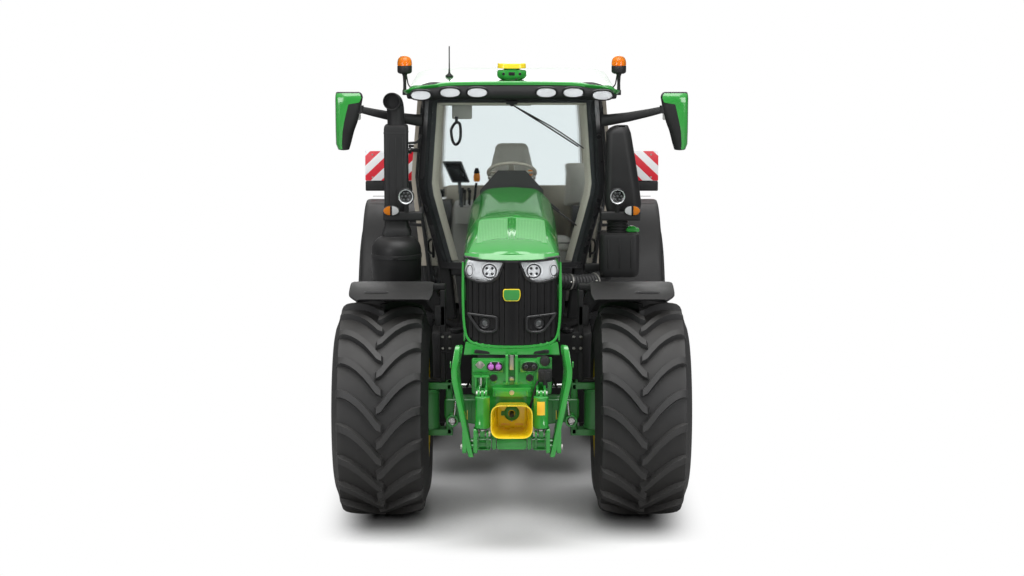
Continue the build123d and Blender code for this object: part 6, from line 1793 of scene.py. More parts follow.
roof_lamp_y = 1061
rims, bowls, domes, covers, recesses = [], [], [], [], []
for x, z, height in ((262, 3006, 76), (468, 3006, 76), (690, 2986, 76)):
    for side in (1, -1):
        rim, bowl, dome, cover = bowl_lamp(side * x, z, roof_lamp_y, 158, height)
        rims.append(rim), bowls.append(bowl), domes.append(dome), covers.append(cover)
        cone = [
                np.stack([side * x + oval(w, h, 40, 2.6)[:, 0], np.full(40, y),
                          z + 2 + oval(w, h, 40, 2.6)[:, 1]], 1) for w, h,
                y in ((170, 88, 1085), (172, 90, roof_lamp_y + 1), (162, 80, roof_lamp_y - 4),
                      (156, 74, 1085))]
        recesses.append(sheet(np.array(cone), caps=False))
piece("roof_lamp_rims", rims + recesses, "black_smooth")
for x, turn in ((806, 1), (-806, -1)):
    case = turned([(50, 0), (50, 30), (44, 47), (22, 60), (0, 65), (-2, 63), (-2, 57), (4, 55), (14, 36),
                   (16, 0)], (x, 970, 2220), "y", 48)
    ring = turned([(0, 56), (-2, 62), (-1, 65), (3, 65)], (x, 970, 2220), "y", 48)
    reflector = turned([(2, 56), (12, 44), (18, 30), (20, 0)], (x, 969, 2220), "y", 48)
    cells = [turned([(8, 0), (8, 9), (0, 9), (-4, 6), (-6, 0)], (x + px, 982, 2220 + pz), "y", 16) for px,
             pz in ((0, 0), (-29, 0), (29, 0), (-15, 25), (15, 25), (-15, -25), (15, -25))]
    lens = turned([(0, 56), (-3, 49), (-5, 27), (-6, 0)], (x, 971, 2220), "y", 40)
    piece("work_lamp_case_" + ("left" if turn > 0 else "right"), case, "black_smooth")
    bowls.append(reflector), domes.append(join(*cells)), covers.append(lens)
piece("lamp_bowls", bowls, "lamp_silver", replaces=["work_lamps"])
piece("lamp_domes", domes, "cab_slate")
piece("lamp_glasses", covers, "lamp_cover", slot="lamp_glass")

# %% Turn lamps and beacons
shell = [both(plate([(920 + x, 2108 + z) for x, z in oval(124, 80, 48, 2.1)], 1012, 1020, "y", 3)),
         both(plate([(920 + x, 2108 + z) for x, z in oval(110, 66, 40, 2.1)], 1000, 1019, "y", 3))]
piece("turn_lamp_cases", shell, "black_smooth")
outline = oval(116, 72, 64, 2.1)
half_lens = lambda keep, edge: np.array([(max(x, edge) if keep > 0 else min(x, edge), z) for x, z in outline])
for name, keep, finish in (("turn_lamp_amber", 1, "amber_lens"), ("turn_lamp_clear", -1, "clear_lens")):
    levels = [(half_lens(keep, 8 * keep) * (1, scale) + (920, 2108), y) for scale,
              y in ((1, 1011), (1, 996), (0.9, 988), (0.6, 985))]
    piece(name, [both(stacked(levels, "y"))], finish, slot="amber" if keep > 0 else "lamp_glass",
          replaces=["amber_lamps"] if keep > 0 else ())
dome = [(40, 0), (40, 52), (44, 56.5), (66, 56), (86, 52), (101, 44), (111, 31), (116, 15), (118, 0)]
piece("beacon_domes", both(turned(dome, (825, 1350, 3152), "z", 48)), "amber_lens", slot="amber")
piece("beacon_cores",
      both(join(rod((825, 1350, 3156), (825, 1350, 3230), 26, 24),
                turned([(0, 0), (0, 34), (6, 38), (14, 38), (18, 30), (18, 0)], (825, 1350, 3176), "z", 32))),
      "orange_plastic")
base = turned([(-22, 0), (-22, 36), (-16, 50), (-6, 56.5), (34, 57), (41, 54), (42, 0)], (825, 1350, 3152),
              "z", 48)
stem = stacked([(oval(w, d, 24) + (825, 1350), z) for w, d,
                z in ((36, 34, 2968), (34, 32, 3000), (26, 26, 3010), (24, 24, 3060), (30, 30, 3110),
                      (46, 46, 3132))], "z")
beacon_foot = block(806.5, 843, 1332, 1368, 2966, 3006, 5, 10)
cable_path = curved(np.array([(812, 1364, 3118), (806, 1376, 3080), (800, 1380, 3040), (780, 1384, 3022)],
                             float), 6)
arm_shapes = [block(pillar_at("A", 2065)[0] + 46, 985, 1020.5, 1056, 2028, 2100, 12, 16, "x"),
              block(pillar_at("A", 2065)[0] + 46, 711, 1021, 1394, 2032, 2096, 12, 14, "y"),
              block(788, 822, 1020.5, 1041, 2084, 2252, 6, 10),
              rod((806, 1021, 2220), (806, 1019, 2220), 20, 24)]
antenna = [turned([(0, 0), (0, 30), (10, 31), (16, 24), (24, 14), (30, 9), (60, 6), (60, 0)],
                  (-495, 1900, 3070.5), "z", 28), rod((-495, 1900, 3100), (-495, 1900, 3313), 4.6, 10),
           turned([(0, 0), (0, 5.5), (70, 4.6), (72, 0)], (-495, 1900, 3130), "z", 16)]
piece("lamp_arms", [both(join(*arm_shapes, base, stem, beacon_foot, pipe(cable_path, 5, (0, 0, 1), 8)))]
      + antenna, "black_plastic", replaces=["lamp_brackets"])

# %% Satellite receiver
def receiver_level(x, front, rear, cut, z):
    y0, y1 = roof_front + 20 + front, roof_front + 240 - rear
    return roof_outline(x, y0, y1, cut), z


receiver_body = stacked([receiver_level(x, f, r, c, z) for x, f, r, c,
                         z in ((60, 42, 22, 30, 3071), (72, 22, 20, 30, 3086), (100, 6, 8, 42, 3102),
                               (112, 1, 1, 44, 3118), (112, 1, 1, 44, 3152), (102, 4, 4, 44, 3166),
                               (62, 18, 10, 30, 3169), (60, 20, 12, 30, 3182))], "z")
receiver_cap = stacked([receiver_level(x, f, r, c, z) for x, f, r, c,
                        z in ((106, 3, 3, 40, 3178), (110, 0, 0, 42, 3181), (107, 2, 2, 40, 3212),
                              (102, 8, 8, 38, 3218), (70, 40, 40, 30, 3219))], "z")
piece("receiver_body", receiver_body, "green_lacquer", replaces=["receiver"])
piece("receiver_cap", receiver_cap, "yellow_lacquer")
marks = [turned([(0, 0), (-2, 9), (2, 12)], (x, roof_front + 21, 3138), "y", 24)
         for x in (-62, 62)] + [block(-24, 24, roof_front + 17, roof_front + 24, 3126, 3152, 2, 6, "y")]
piece("receiver_marks", marks, "black_smooth")
feet = [both(block(70, 96, roof_front + 40, roof_front + 200, 3070, 3082, 4)),
        pipe(curved(np.array([(40, roof_front + 30, 3104), (30, roof_front + 10, 3092),
                              (-10, roof_front + 6, 3082), (-60, roof_front + 16, 3078),
                              (-130, roof_front + 60, 3074)], float), 6), 5, (0, 0, 1), 8)]
piece("receiver_feet", feet, "black_plastic")
print("cab outside done")

# %% [markdown]
# ## Mirrors, exhaust and air intake
# On both sides of the hood stand the tall mirrors, the exhaust cleaner with its square stack, and the air
# intake with its bellows and the corrugated hose that feeds the engine.

# %% Mirrors
def head_ring(z, x0, x1, y0, y1):
    """Section of the mirror head: flat glass at the back, rounded nose in front."""
    return rounded([(x0, y0 + 26), (x0 + 34, y0), (x1 - 34, y0), (x1, y0 + 26), (x1, y1), (x0, y1)],
                   [16, 20, 20, 16, 8, 8], 4), z


head_rows = [
    # z, x inner, x outer, y front, y back
    (2552, 1262, 1322, 1196, 1238), (2556, 1250, 1334, 1190, 1240), (2600, 1236, 1348, 1184, 1244),
    (2700, 1210, 1349, 1168, 1254), (2764, 1186, 1349, 1161, 1259),
    (2860, 1160, 1349, 1160, 1259), (2956, 1142, 1349, 1161, 1259), (2978, 1147, 1349, 1166, 1254),
    (2993, 1157, 1347, 1175, 1246), (2999, 1170, 1338, 1184, 1238),
]
head = stacked([head_ring(z, x0, x1, y0, y1) for z, x0, x1, y0, y1 in head_rows], "z")
shell_rows = [(2560, 1300, 1334, 1189), (2600, 1303, 1349, 1183), (2700, 1296, 1350, 1167),
              (2764, 1284, 1350, 1160.5), (2860, 1262, 1350, 1159.5), (2908, 1250, 1350, 1159.5),
              (2922, 1166, 1350, 1159.5), (2956, 1150, 1350, 1160.5), (2980, 1156, 1348, 1167),
              (2992, 1166, 1342, 1176)]
shell = []
for z, x0, x1, y in shell_rows:
    shell.append([(x0, y - 0.6, z), ((x0 + x1) / 2, y - 2.2, z), (x1 - 26, y - 1.6, z), (x1 - 8, y + 9, z),
                  (x1 + 0.6, y + 26, z), (x1 + 0.6, y + 66, z), (x1 - 5, y + 66, z), (x1 - 8, y + 28, z),
                  (x0, y + 6, z)])
glass_row = [(1160, 2780), (1336, 2780), (1336, 2960), (1326, 2984), (1172, 2984), (1160, 2960)]
arm_rows = [((1160, 1212, 2865), 17, 15), ((1060, 1250, 2838), 21, 17), ((900, 1310, 2800), 28, 22),
            ((760, 1356, 2775), 34, 30), ((705, 1372, 2768), 38, 34)]
arm_path = np.array([place for place, _, _ in arm_rows], float)
arm = swept(oval(2, 2, 20, 3.0) * (30, 36), arm_path, (0, 0, 1), sizes=[0.72, 0.84, 1.02, 1.2, 1.3])
pivot = [rod((1160, 1212, 2836), (1160, 1212, 2896), 26, 28), block(1138, 1186, 1196, 1228, 2842, 2890, 8, 12,
        "z")]
mount = [block(pillar_at("A", 2770)[0] + 41, pillar_at("A", 2770)[0] + 62, 1344, 1398, 2722, 2818, 6, 12,
               "x"), rod((716, 1372, 2728), (716, 1372, 2812), 20, 24)]
piece("mirror_heads", both(join(head, arm, *pivot, *mount)), "black_plastic", crease=30, replaces=["mirrors"])
piece("mirror_shells", both(sheet(np.array(shell, float))), "green_lacquer", crease=30)
piece("mirror_glasses",
      both(join(plate(rounded(glass_row, 14), 1258, 1261, "y", 0.8),
                plate(rounded([(1252, 2590), (1326, 2590), (1334, 2766), (1202, 2766)], 12), 1250, 1256, "y",
                      0.8))), "bright_steel")

# %% Exhaust
stack_x, stack_y, can_y = -885, 1150, 1090
def upright_turn(profile, x, y, steps=64):
    """Turned profile about a vertical axis, written as (radius, height)."""
    return turned([(z, r) for r, z in profile], (x, y, 0), "z", steps)


can = upright_turn([(0, 1302), (150, 1302), (182, 1312), (190, 1330), (190, 1560), (186, 1566), (186, 1578),
                    (190, 1584), (190, 1780), (188, 1812), (180, 1842), (164, 1868), (142, 1888), (118, 1898),
                    (108, 1906), (0, 1906)], stack_x, can_y)
bands = [upright_turn([(190, 1348), (194.5, 1350), (194.5, 1378), (190, 1380)], stack_x, can_y),
         upright_turn([(190, 1740), (194.5, 1742), (194.5, 1770), (190, 1772)], stack_x, can_y)]
clamp = [block(-905, -865, 894, 912, z - 12, z + 12, 4) for z in (1364, 1756)]
square = lambda half, r: rounded(rectangle(-half, half, -half, half), r, 4)
stack_rows = [(square(104, 44), 1880), (square(112, 40), 1925), (square(100, 34), 1958),
              (square(90, 26), 1985), (square(91, 24), 2030), (square(91, 24), 2724), (square(88, 26), 2744),
              (square(78, 34), 2754), (square(74, 40), 2756)]
stack = stacked([(outline + (stack_x, stack_y), z) for outline, z in stack_rows], "z")
mouth_path = curved(np.array([(stack_x, stack_y, 2752), (-886, 1150, 2840), (-892, 1148, 2912),
                              (-904, 1110, 2938), (-912, 1042, 2940)], float), 7)
mouth = swept(oval(132, 132, 48), mouth_path, (1, 0, 0))
mouth[1].pop()
lip_rings = ((66, 1042), (67, 1038), (61, 1038), (59, 1050), (54, 1100))
hollow = [
          sheet(np.array(
                         [[(-912 + r * math.cos(a), y, 2940 + r * math.sin(a))
                           for a in np.linspace(0, 2 * np.pi, 48, endpoint=False)] for r, y in lip_rings]))]
hollow[0][1].pop(-2)
ridge = [moved(stacked([(square(93, 26), 0), (square(93, 26), 10)], "z"), stack_x, stack_y, z)
         for z in (2058, 2690)]
grooves = [block(stack_x + x - 3, stack_x + x + 3, 1056, 1064, 2110, 2660, 2) for x in (-52, 0, 52)]
foot = [block(-800, -746, 1170, 1300, 1344, 1396, 8), block(-(pillar_at("A", 2535)[0] + 47), -772, 1374, 1398,
        2522, 2548, 4), block(-798, -772, 1236, 1398, 2522, 2548, 4),
        plate(rounded([(-pillar_at("A", 1370)[0] - 46, 1172), (-pillar_at("A", 1370)[0] - 46, 1304),
                       (-560, 1304), (-700, 1278), (-763, 1278), (-763, 1172)], 12), 1342, 1398, "z", 6)]
piece("exhaust_tower", [can, stack, mouth] + hollow + ridge + grooves + foot + bands + clamp, "black_plastic",
      slot="black_metal", crease=34, replaces=["exhaust"])
tube = curved(np.array([(-794, 1150, 2612), (-764, 1156, 2614), (-732, 1180, 2612), (-712, 1230, 2626),
                        (-702, 1296, 2660)], float), 6)
piece("exhaust_stay", pipe(tube, 10, (0, 1, 0), 12), "black_metal")

# %% Air intake
tower_y = 1170
box_levels = []
for z, d in ((1584, 26), (1590, 12), (1606, 3), (1640, 0), (1890, 0), (1916, 6), (1928, 22)):
    box_levels.append(
                      (rounded([(676 + d, 1080 + d), (706 + d, 1050 + d), (951 - d, 1050 + d),
                                (981 - d, 1080 + d), (981 - d, 1290 - d), (676 + d, 1290 - d)], 18, 4), z))
bellow = []
for k, z in enumerate(np.linspace(1926, 2064, 25)):
    bellow.append(((84 if k % 4 in (1, 2) else 74), z))
bellows = upright_turn([(0, 1922)] + bellow + [(0, 2068)], 814, tower_y, 48)
tower_rows = [
    # z, x inner, x outer, depth
    (2061, 740, 978, 84), (2070, 734, 985, 92), (2150, 716, 995, 95), (2300, 718, 976, 95),
    (2500, 721, 945, 94), (2690, 725, 912, 92), (2722, 752, 900, 84), (2740, 786, 893, 70),
    (2746, 806, 886, 52),
]
tower = stacked(
                [(rounded([(x0 + 8, tower_y - d + 22), (x0 + 34, tower_y - d), (x1 - 46, tower_y - d),
                           (x1, tower_y - d + 40), (x1, tower_y + d), (x0, tower_y + d)],
                          [14, 16, 24, 22, 12, 12], 4), z) for z, x0, x1, d in tower_rows], "z")
box_ribs = [block(x - 5, x + 5, 1045, 1054, 1660, 1880, 3) for x in (740, 828, 916)]
foot = [block(pillar_at("A", 1630)[0] + 46, 700, 1271, 1334, 1601, 1659, 6)]
piece("intake_tower", [stacked(box_levels, "z"), bellows, tower] + box_ribs + foot, "black_plastic",
      crease=34, replaces=["intake"])
cap_button = stacked([(oval(116, 46, 28, 2.6) + (1, 0), 0), (oval(120, 50, 28, 2.6) + (1, 0), 6),
                      (oval(116, 46, 28, 2.6), 26), (oval(80, 30, 28), 34), (oval(30, 14, 28), 44)], "z")
piece("service_cap", moved(cap_button, 922, 1150, 1930), "green_lacquer")
hose_path = curved(np.array([(676, 1150, 1560), (640, 1120, 1548), (560, 1060, 1546), (470, 1000, 1556),
                             (400, 960, 1570), (350, 940, 1580)], float), 14)
ripples = 1 + 0.055 * np.sin(np.arange(len(hose_path)) * math.pi / 2)
piece("intake_hose", [swept(oval(118, 118, 32), hose_path, (0, 0, 1), ripples),
                      swept(oval(118, 118, 32),
                            curved(np.array([(676, 1150, 1560), (700, 1160, 1566), (724, 1162, 1590),
                (730, 1162, 1620)], float), 5))], "rubber_soft", crease=60)
clamps = []
for k in (6, 40):
    way = hose_path[k + 1] - hose_path[k]
    ends = hose_path[k], hose_path[k] + way / np.linalg.norm(way) * 12
    clamps += [swept(oval(128, 128, 40), np.array(ends)),
               moved(rod((-16, 0, 0), (16, 0, 0), 6, 12), *(ends[0] + (0, -62, 8)))]
piece("hose_clamps", clamps, "zinc")

# %% Engine sides
flank = [both(block(240, 262, -480, 900, 1500, 1690, 10)), both(block(236, 300, -380, -40, 1560, 1800, 16)),
         both(block(236, 290, 120, 420, 1520, 1740, 14))]
lines = []
for z, y0, y1, r in ((1450, -420, 980, 15), (1488, -400, 900, 11), (1620, -60, 1010, 17),
                     (1770, 150, 1040, 12)):
    path = curved(np.array([(252, y0, z - 60), (276, y0 + 60, z), (286, (y0 + y1) / 2, z + 24),
                            (276, y1 - 80, z - 10), (244, y1, z - 90)], float), 6)
    lines.append(both(pipe(path, r, (0, 0, 1), 12)))
piece("engine_covers", flank, "iron_casting", slot="casting")
piece("engine_hoses", lines, "rubber_soft")
filters = [both(turned([(0, 0), (0, 48), (8, 54), (150, 54), (168, 40), (170, 0)], (300, 520 + dy, 1500), "z",
                       32)) for dy in (0, 140)]
piece("engine_filters", filters, "green_chassis")
radiator = [plate(rounded(rectangle(-232, 232, 1420, 1850), 10), -800, -570, "y", 4)]
cores = [block(-226, 226, -806, -799, 1440 + 34 * k, 1444 + 34 * k, 1) for k in range(12)]
piece("radiator_core", radiator + cores, "black_metal")
rail_bolts = [both(moved(washer_bolt("x", 22, 12), 182, y, z))
              for y in (-940, -820, -700, -300, 300, 620, 940, 1220) for z in (1100, 1180)]
piece("frame_bolts", rail_bolts, "zinc")
print("sides done")

# %% [markdown]
# ## Inside the cab
# Through the windscreen one sees the steering wheel on its column, the dashboard cowl, the driver's seat
# with its control console and display, the instructor's seat, the sun blind and the mirror.

# %% Dashboard and steering wheel
floor_top = floor_z + 40


def tilted(shape, centre=(0, 1730, 2325), degrees=-30.0):
    """A shape drawn flat round the origin, tipped towards the driver and put at the steering wheel's
    centre."""
    return moved(rotated(shape, "x", degrees), *centre)


column_levels = [
                 (rounded([(-w, y0), (w, y0), (w + 12, (y0 + y1) / 2), (w, y1), (-w, y1),
                           (-w - 12, (y0 + y1) / 2)], 28, 4), z)
                 for w, y0, y1, z in ((104, 1384, 1596, floor_top + 2), (112, 1400, 1612, 1780),
                                      (128, 1424, 1634, 1900), (150, 1440, 1638, 2020),
                                      (172, 1446, 1636, 2110), (184, 1446, 1630, 2158),
                                      (176, 1452, 1622, 2180))]
dash_hood = stacked([(rounded([(-w, y0), (w, y0), (w * 0.86, y1), (-w * 0.86, y1)], 34, 5), z) for w, y0, y1,
                     z in ((172, 1456, 1640, 2172), (176, 1462, 1660, 2196), (158, 1478, 1650, 2232),
                           (116, 1506, 1632, 2262), (60, 1530, 1600, 2272))], "z")
column = tilted(turned([(-234, 0), (-234, 40), (-180, 44), (-60, 38), (-24, 46), (-16, 40), (-16, 0)],
                       (0, 0, 0), "z", 32))
stalks = [rod((s * 40, 1700, 2262), (s * 150, 1672, 2286), 9, 14)
          for s in (1, -1)] + [rod((s * 138, 1674, 2284), (s * 186, 1664, 2296), 14, 16) for s in (1, -1)]
pedals = [block(x, x + 62, 1400, 1412, floor_top + 90, floor_top + 210, 5, 10, "y") for x in (118, 196)] + [
    block(-190, -128, 1400, 1412, floor_top + 90, floor_top + 210, 5, 10, "y")]
pedal_arms = [block(x + 24, x + 38, 1396, 1420, floor_top + 180, floor_top + 420, 4)
              for x in (118, 196, -190)]
console_levels = [(rounded(rectangle(-478 + d, -302 - d, wheelbase - 848 + d, wheelbase - 402 - d), 26), z)
                  for d, z in ((0, floor_top + 2), (0, floor_top + 720), (6, floor_top + 770),
                               (16, floor_top + 788))]
arm_pad = plate(rounded(rectangle(-458, -302, wheelbase - 998, wheelbase - 800), 34), floor_top + 664,
                floor_top + 794, "z", 14, 4)
lever_base = [block(-352, -302, wheelbase - 930, wheelbase - 860, floor_top + 790, floor_top + 800, 4, 10)]
piece("dash_console", [stacked(column_levels, "z"), dash_hood, column, stacked(console_levels, "z"), arm_pad]
      + stalks + pedals + pedal_arms + lever_base, "cab_grey", replaces=["consoles"])
cowl_dark = stacked([(rounded(rectangle(-w, w, 1390, 1470), min(24, w / 3), 4), z) for w,
                     z in ((206, 2100), (205, 2150), (192, 2196), (166, 2232), (132, 2256), (88, 2272),
                           (50, 2278))], "z")
cowl_knob = turned([(0, 0), (0, 27), (14, 33), (32, 31), (46, 20), (52, 0)], (0, 1432, 2262), "z", 32)
piece("dash_screen_cowl", [cowl_dark, cowl_knob], "black_plastic")
torus = [[(math.cos(a) * (185 + 14.5 * math.cos(b)), math.sin(a) * (185 + 14.5 * math.cos(b)),
           12.5 * math.sin(b)) for b in np.linspace(0, 2 * np.pi, 14, endpoint=False)]
         for a in np.linspace(0, 2 * np.pi, 72, endpoint=False)]
spoke = lambda degrees: rotated(
                                stacked([(rounded([(30, -w), (178, -w * 0.6), (178, w * 0.6), (30, w)], 5),
                                          z) for w, z in ((20, -7), (24, -4), (24, 4), (18, 7))], "z"), "z",
                                degrees)
hub = turned([(-12, 0), (-12, 40), (-6, 46), (8, 44), (14, 34), (16, 0)], (0, 0, 0), "z", 40)
piece("steering_rim", [tilted(sheet(np.array(torus), wrap_rows=True)), tilted(hub)]
      + [tilted(spoke(angle)) for angle in (0, 180, -90)], "cab_beige", body="steering_wheel_body",
      replaces=["steering_wheel"])
knob = turned([(10, 0), (10, 12), (20, 13), (24, 22), (40, 27), (56, 22), (62, 0)], (150, 92, 0), "z", 32)
piece("steering_knob", tilted(knob), "orange_plastic", body="steering_wheel_body")

# %% Display, lever and phone holder
display_outline = np.array([(-552, 2396), (-400, 2396), (-334, 2226), (-476, 2226)], float)
piece("display_case", [plate(rounded(display_outline, 12), 1908, 1938, "y", 5),
                       rod((-400, 1960, floor_top + 780), (-420, 1934, 2240), 14)], "cab_slate",
      slot="cab_plastic")
piece("display_glass", plate(rounded(drawn_in(display_outline, 14), 6), 1906.5, 1909, "y", 0.5),
      "black_smooth", slot="cab_plastic")
lever = [rod((-306, 2000, floor_top + 790), (-284, 1986, 2216), 10),
         tilted(turned([(0, 0), (0, 20), (14, 26), (46, 27), (70, 20), (76, 0)], (0, 0, 0), "z", 28),
                (-280, 1985, 2226), -6)]
piece("drive_lever", lever[0], "black_smooth", slot="cab_plastic")
piece("drive_knob", lever[1], "orange_plastic")
piece("drive_boot", turned([(0, 0), (0, 24), (20, 20), (40, 12), (42, 0)], (-280, 1976, 2296), "z", 24),
      "black_plastic", slot="cab_plastic")
far_levers = [rod((x, y, floor_top + 780), (x + 4, y - 8, floor_top + 900), 7) for x,
              y in ((-420, 2120), (-380, 2120), (-340, 2120), (-400, 2240), (-350, 2240))]
far_levers += [block(x - 12, x + 14, y - 22, y - 2, floor_top + 890, floor_top + 920, 6) for x,
               y in ((-420, 2120), (-380, 2120), (-340, 2120), (-400, 2240), (-350, 2240))]
piece("console_levers", far_levers, "black_smooth", slot="cab_plastic")

# %% Headliner, mirror, blind and handles
loop_y = 1466
liner_front = [block(-598, 598, 1440, wheelbase + 60, 2925, 2943, 6, 40),
               block(-600, 600, 1372, 1440, 2886, 2925, 10, 20, "x")]
piece("headliner", liner_front, "cab_beige")
blind = [rod((-540, 1400, 2900), (150, 1400, 2900), 20, 24)]
piece("sun_blind", blind, "cab_grey")
mirror = [plate(rounded(rectangle(-465, -309, 2768, 2885), 14), 1492, 1508, "y", 4),
          rod((-387, 1505, 2880), (-387, 1470, 2930), 8)]
piece("inside_mirror", mirror, "cab_grey", slot="black_plastic")
sensor = turned([(0, 0), (0, 32), (-12, 32), (-26, 22), (-30, 0)], (-262, 1500, 2905), "z", 28)
loop = curved(np.array([(-470, 1470, 2690), (-450, loop_y, 2740), (-406, loop_y, 2748), (-396, loop_y, 2690),
                        (-400, loop_y, 2600), (-440, loop_y, 2560), (-470, 1468, 2620), (-472, 1470, 2690)],
                       float), 6)
piece("grab_loop", [pipe(loop, 11, (0, 1, 0), 12), rod((-430, loop_y, 2744), (-430, 1468, 2790), 12), sensor],
      "black_plastic", slot="cab_plastic")
grab = [both(
             pipe(curved(np.array([(x, 1432, 1820), (x - 30, 1470, 1880), (x - 24, 1480, 2060),
                                   (x + 16, 1480, 2240), (x + 46, 1450, 2300)], float), 6), 13, (0, 1, 0),
                  12)) for x in (560,)]
piece("door_grabs", grab, "cab_grey")

# %% Rear wall lining
lining = [block(-560, 560, wheelbase + 92, wheelbase + 104, floor_top + 60, 2088, 4, 40, "y"),
          block(-560, 560, wheelbase + 84, wheelbase + 94, floor_top + 420, floor_top + 432, 3)]
piece("rear_wall_lining", lining, "cab_beige")

# %% Floor mat, seat bases and armrests
piece("floor_mat", block(-420, 420, 1420, wheelbase - 300, floor_top - 0.3, floor_top + 8, 3, 40),
      "rubber_soft")
seat_y, base_z = wheelbase - 400, floor_top + 370
bellow_rows = [(rounded(rectangle(-168 - d, 168 + d, seat_y - 368 - d, seat_y - 32 + d), 30), z) for d,
               z in zip([0, -14] * 6, np.linspace(floor_top + 60, base_z - 40, 12))]
base_rows = [(rounded(rectangle(-168, 168, seat_y - 368, seat_y - 32), 30), z)
             for z in (floor_top + 1, floor_top + 58)]
pan = [block(-218, 218, seat_y - 380, seat_y + 138, base_z - 28, base_z - 1, 8, 30),
       block(-198, 198, seat_y + 125, seat_y + 139, base_z - 20, base_z + 338, 5, 30, "y")]
second_base = block(301, 489, seat_y - 348, seat_y + 58, floor_top + 1, floor_top + 409, 10, 20)
piece("seat_pedestals", [stacked(base_rows + bellow_rows, "z"), second_base] + pan, "cab_grey",
      replaces=["seat_bases"])
piece("driver_armrests",
      both(join(block(256, 296, seat_y - 300, seat_y + 20, base_z + 262, base_z + 306, 14, 16, "y"),
                block(262, 284, seat_y - 6, seat_y + 40, base_z + 60, base_z + 280, 8, 10))), "cab_grey")

# %% [markdown]
# ## Cushions
# Each cushion starts as a smooth block, is filled like a padded bag and goes through a short cloth run,
# so that its faces swell softly between the seams.

# %% Cushions
def soft_block(levels, axis="z", power=5.0, count=40):
    """Rounded bag: super-ellipse sections at given depths, closed at both ends."""
    rings = []
    for (a0, a1, b0, b1), depth in levels:
        outline = oval(a1 - a0, b1 - b0, count, power) + ((a0 + a1) / 2, (b0 + b1) / 2)
        rings.append((outline, depth))
    return stacked(rings, axis)


def shrunk(box, by):
    """The box with all four sides moved inwards."""
    a0, a1, b0, b1 = box
    return (a0 + by, a1 - by, b0 + by, b1 - by)


def bag(box, low, high, edge=26.0, taper=0.0, steps=5):
    """Sections of a bag with rounded rims; taper narrows the first pair of sides upwards."""
    turn = np.linspace(0, np.pi / 2, steps)
    rows = [(shrunk(box, edge * (1 - np.sin(t))), low + edge * (1 - np.cos(t))) for t in turn]
    a0, a1, b0, b1 = box
    top = (a0 + taper, a1 - taper, b0, b1)
    rows += [(shrunk(tuple(np.array(box) + (np.array(top) - np.array(box)) * k), 0), low + edge
              + (high - low - 2 * edge) * k) for k in (0.35, 0.7)]
    rows += [(shrunk(top, edge * (1 - np.sin(t))), high - edge * (1 - np.cos(t))) for t in turn[::-1]]
    return rows


back_rows = []
for rise, half, front, rear in ((40, 196, 40, 96), (52, 218, 24, 108), (90, 232, 14, 116),
                                (300, 228, 20, 118), (520, 214, 34, 122), (640, 196, 44, 123),
                                (780, 162, 54, 123), (860, 138, 60, 122), (884, 118, 70, 114),
                                (892, 90, 82, 104)):
    back_rows.append(((-half, half, seat_y + front, seat_y + rear), base_z + rise))
cushion_rows = [
    # name, shape, replaces the node
    ("driver_seat_cushion",
     soft_block(bag((-246, 246, seat_y - 436, seat_y - 8), base_z + 3, base_z + 126, 34)), ["seat_cushions"]),
    ("driver_seat_back", soft_block(back_rows), []),
    ("second_seat_cushion",
     soft_block(bag((304, 486, seat_y - 346, seat_y - 24), floor_top + 413, floor_top + 498, 28)), []),
    ("second_seat_back",
     soft_block(bag((424, 652, seat_y - 6, seat_y + 56), sill_z - 20, sill_z + 356, 30, 10)), []),
]
cushions = []
for name, shape, stands_for in cushion_rows:
    cushion = piece(name, [shape], "seat_cloth", slot="seat_fabric", crease=180, replaces=stands_for)
    cushions.append(cushion)
print(len(cushions), "cushions")

# %% Fill the cushions
def apply_all(made):
    """Turn the modified shape into the mesh itself."""
    graph = bpy.context.evaluated_depsgraph_get()
    mesh = bpy.data.meshes.new_from_object(made.evaluated_get(graph))
    old, made.data = made.data, mesh
    made.modifiers.clear()
    bpy.data.meshes.remove(old)


def coordinates(mesh):
    flat = np.zeros(len(mesh.vertices) * 3)
    mesh.vertices.foreach_get("co", flat)
    return flat.reshape(-1, 3)


def fill_out(made, cap):
    """Even out the mesh, blow it up as cloth for 20 frames, and keep each point within cap of where it
    began."""
    evened = made.modifiers.new("even", "REMESH")
    evened.mode, evened.voxel_size, evened.use_smooth_shade = "VOXEL", 0.008, True
    apply_all(made)
    rest = coordinates(made.data)
    cloth = made.modifiers.new("filling", "CLOTH")
    cloth.settings.use_pressure, cloth.settings.uniform_pressure_force = True, 4.0
    cloth.settings.effector_weights.gravity = 0.0
    cloth.point_cache.frame_start, cloth.point_cache.frame_end = 1, 20
    for frame_number in range(1, 21):
        bpy.context.scene.frame_set(frame_number)
    apply_all(made)
    shift = coordinates(made.data) - rest
    length = np.linalg.norm(shift, axis=1)[:, None]
    shift *= np.minimum(1.0, cap / np.maximum(length, 1e-9))
    made.data.vertices.foreach_set("co", (rest + shift).ravel())
    made.data.update()
    bpy.context.scene.frame_set(1)
    finer = made.modifiers.new("finer", "SUBSURF")
    finer.levels = finer.render_levels = 1


for cushion in cushions:
    fill_out(cushion, 0.012)
    print(cushion.name, len(cushion.data.vertices), "points")

# %% Welts and buckles
def welt(box, z, radius=5.0, power=5.0):
    """Round cord along a cushion's rim at one height."""
    a0, a1, b0, b1 = box
    ring = oval(a1 - a0, b1 - b0, 64, power) + ((a0 + a1) / 2, (b0 + b1) / 2)
    out = ring - ring.mean(0)
    out /= np.linalg.norm(out, axis=1)[:, None]
    turn = np.linspace(0, 2 * np.pi, 8, endpoint=False)
    grid = [[(*(p + o * radius * math.cos(t)), z + radius * math.sin(t)) for t in turn] for p,
            o in zip(ring, out)]
    return sheet(np.array(grid), wrap_rows=True)


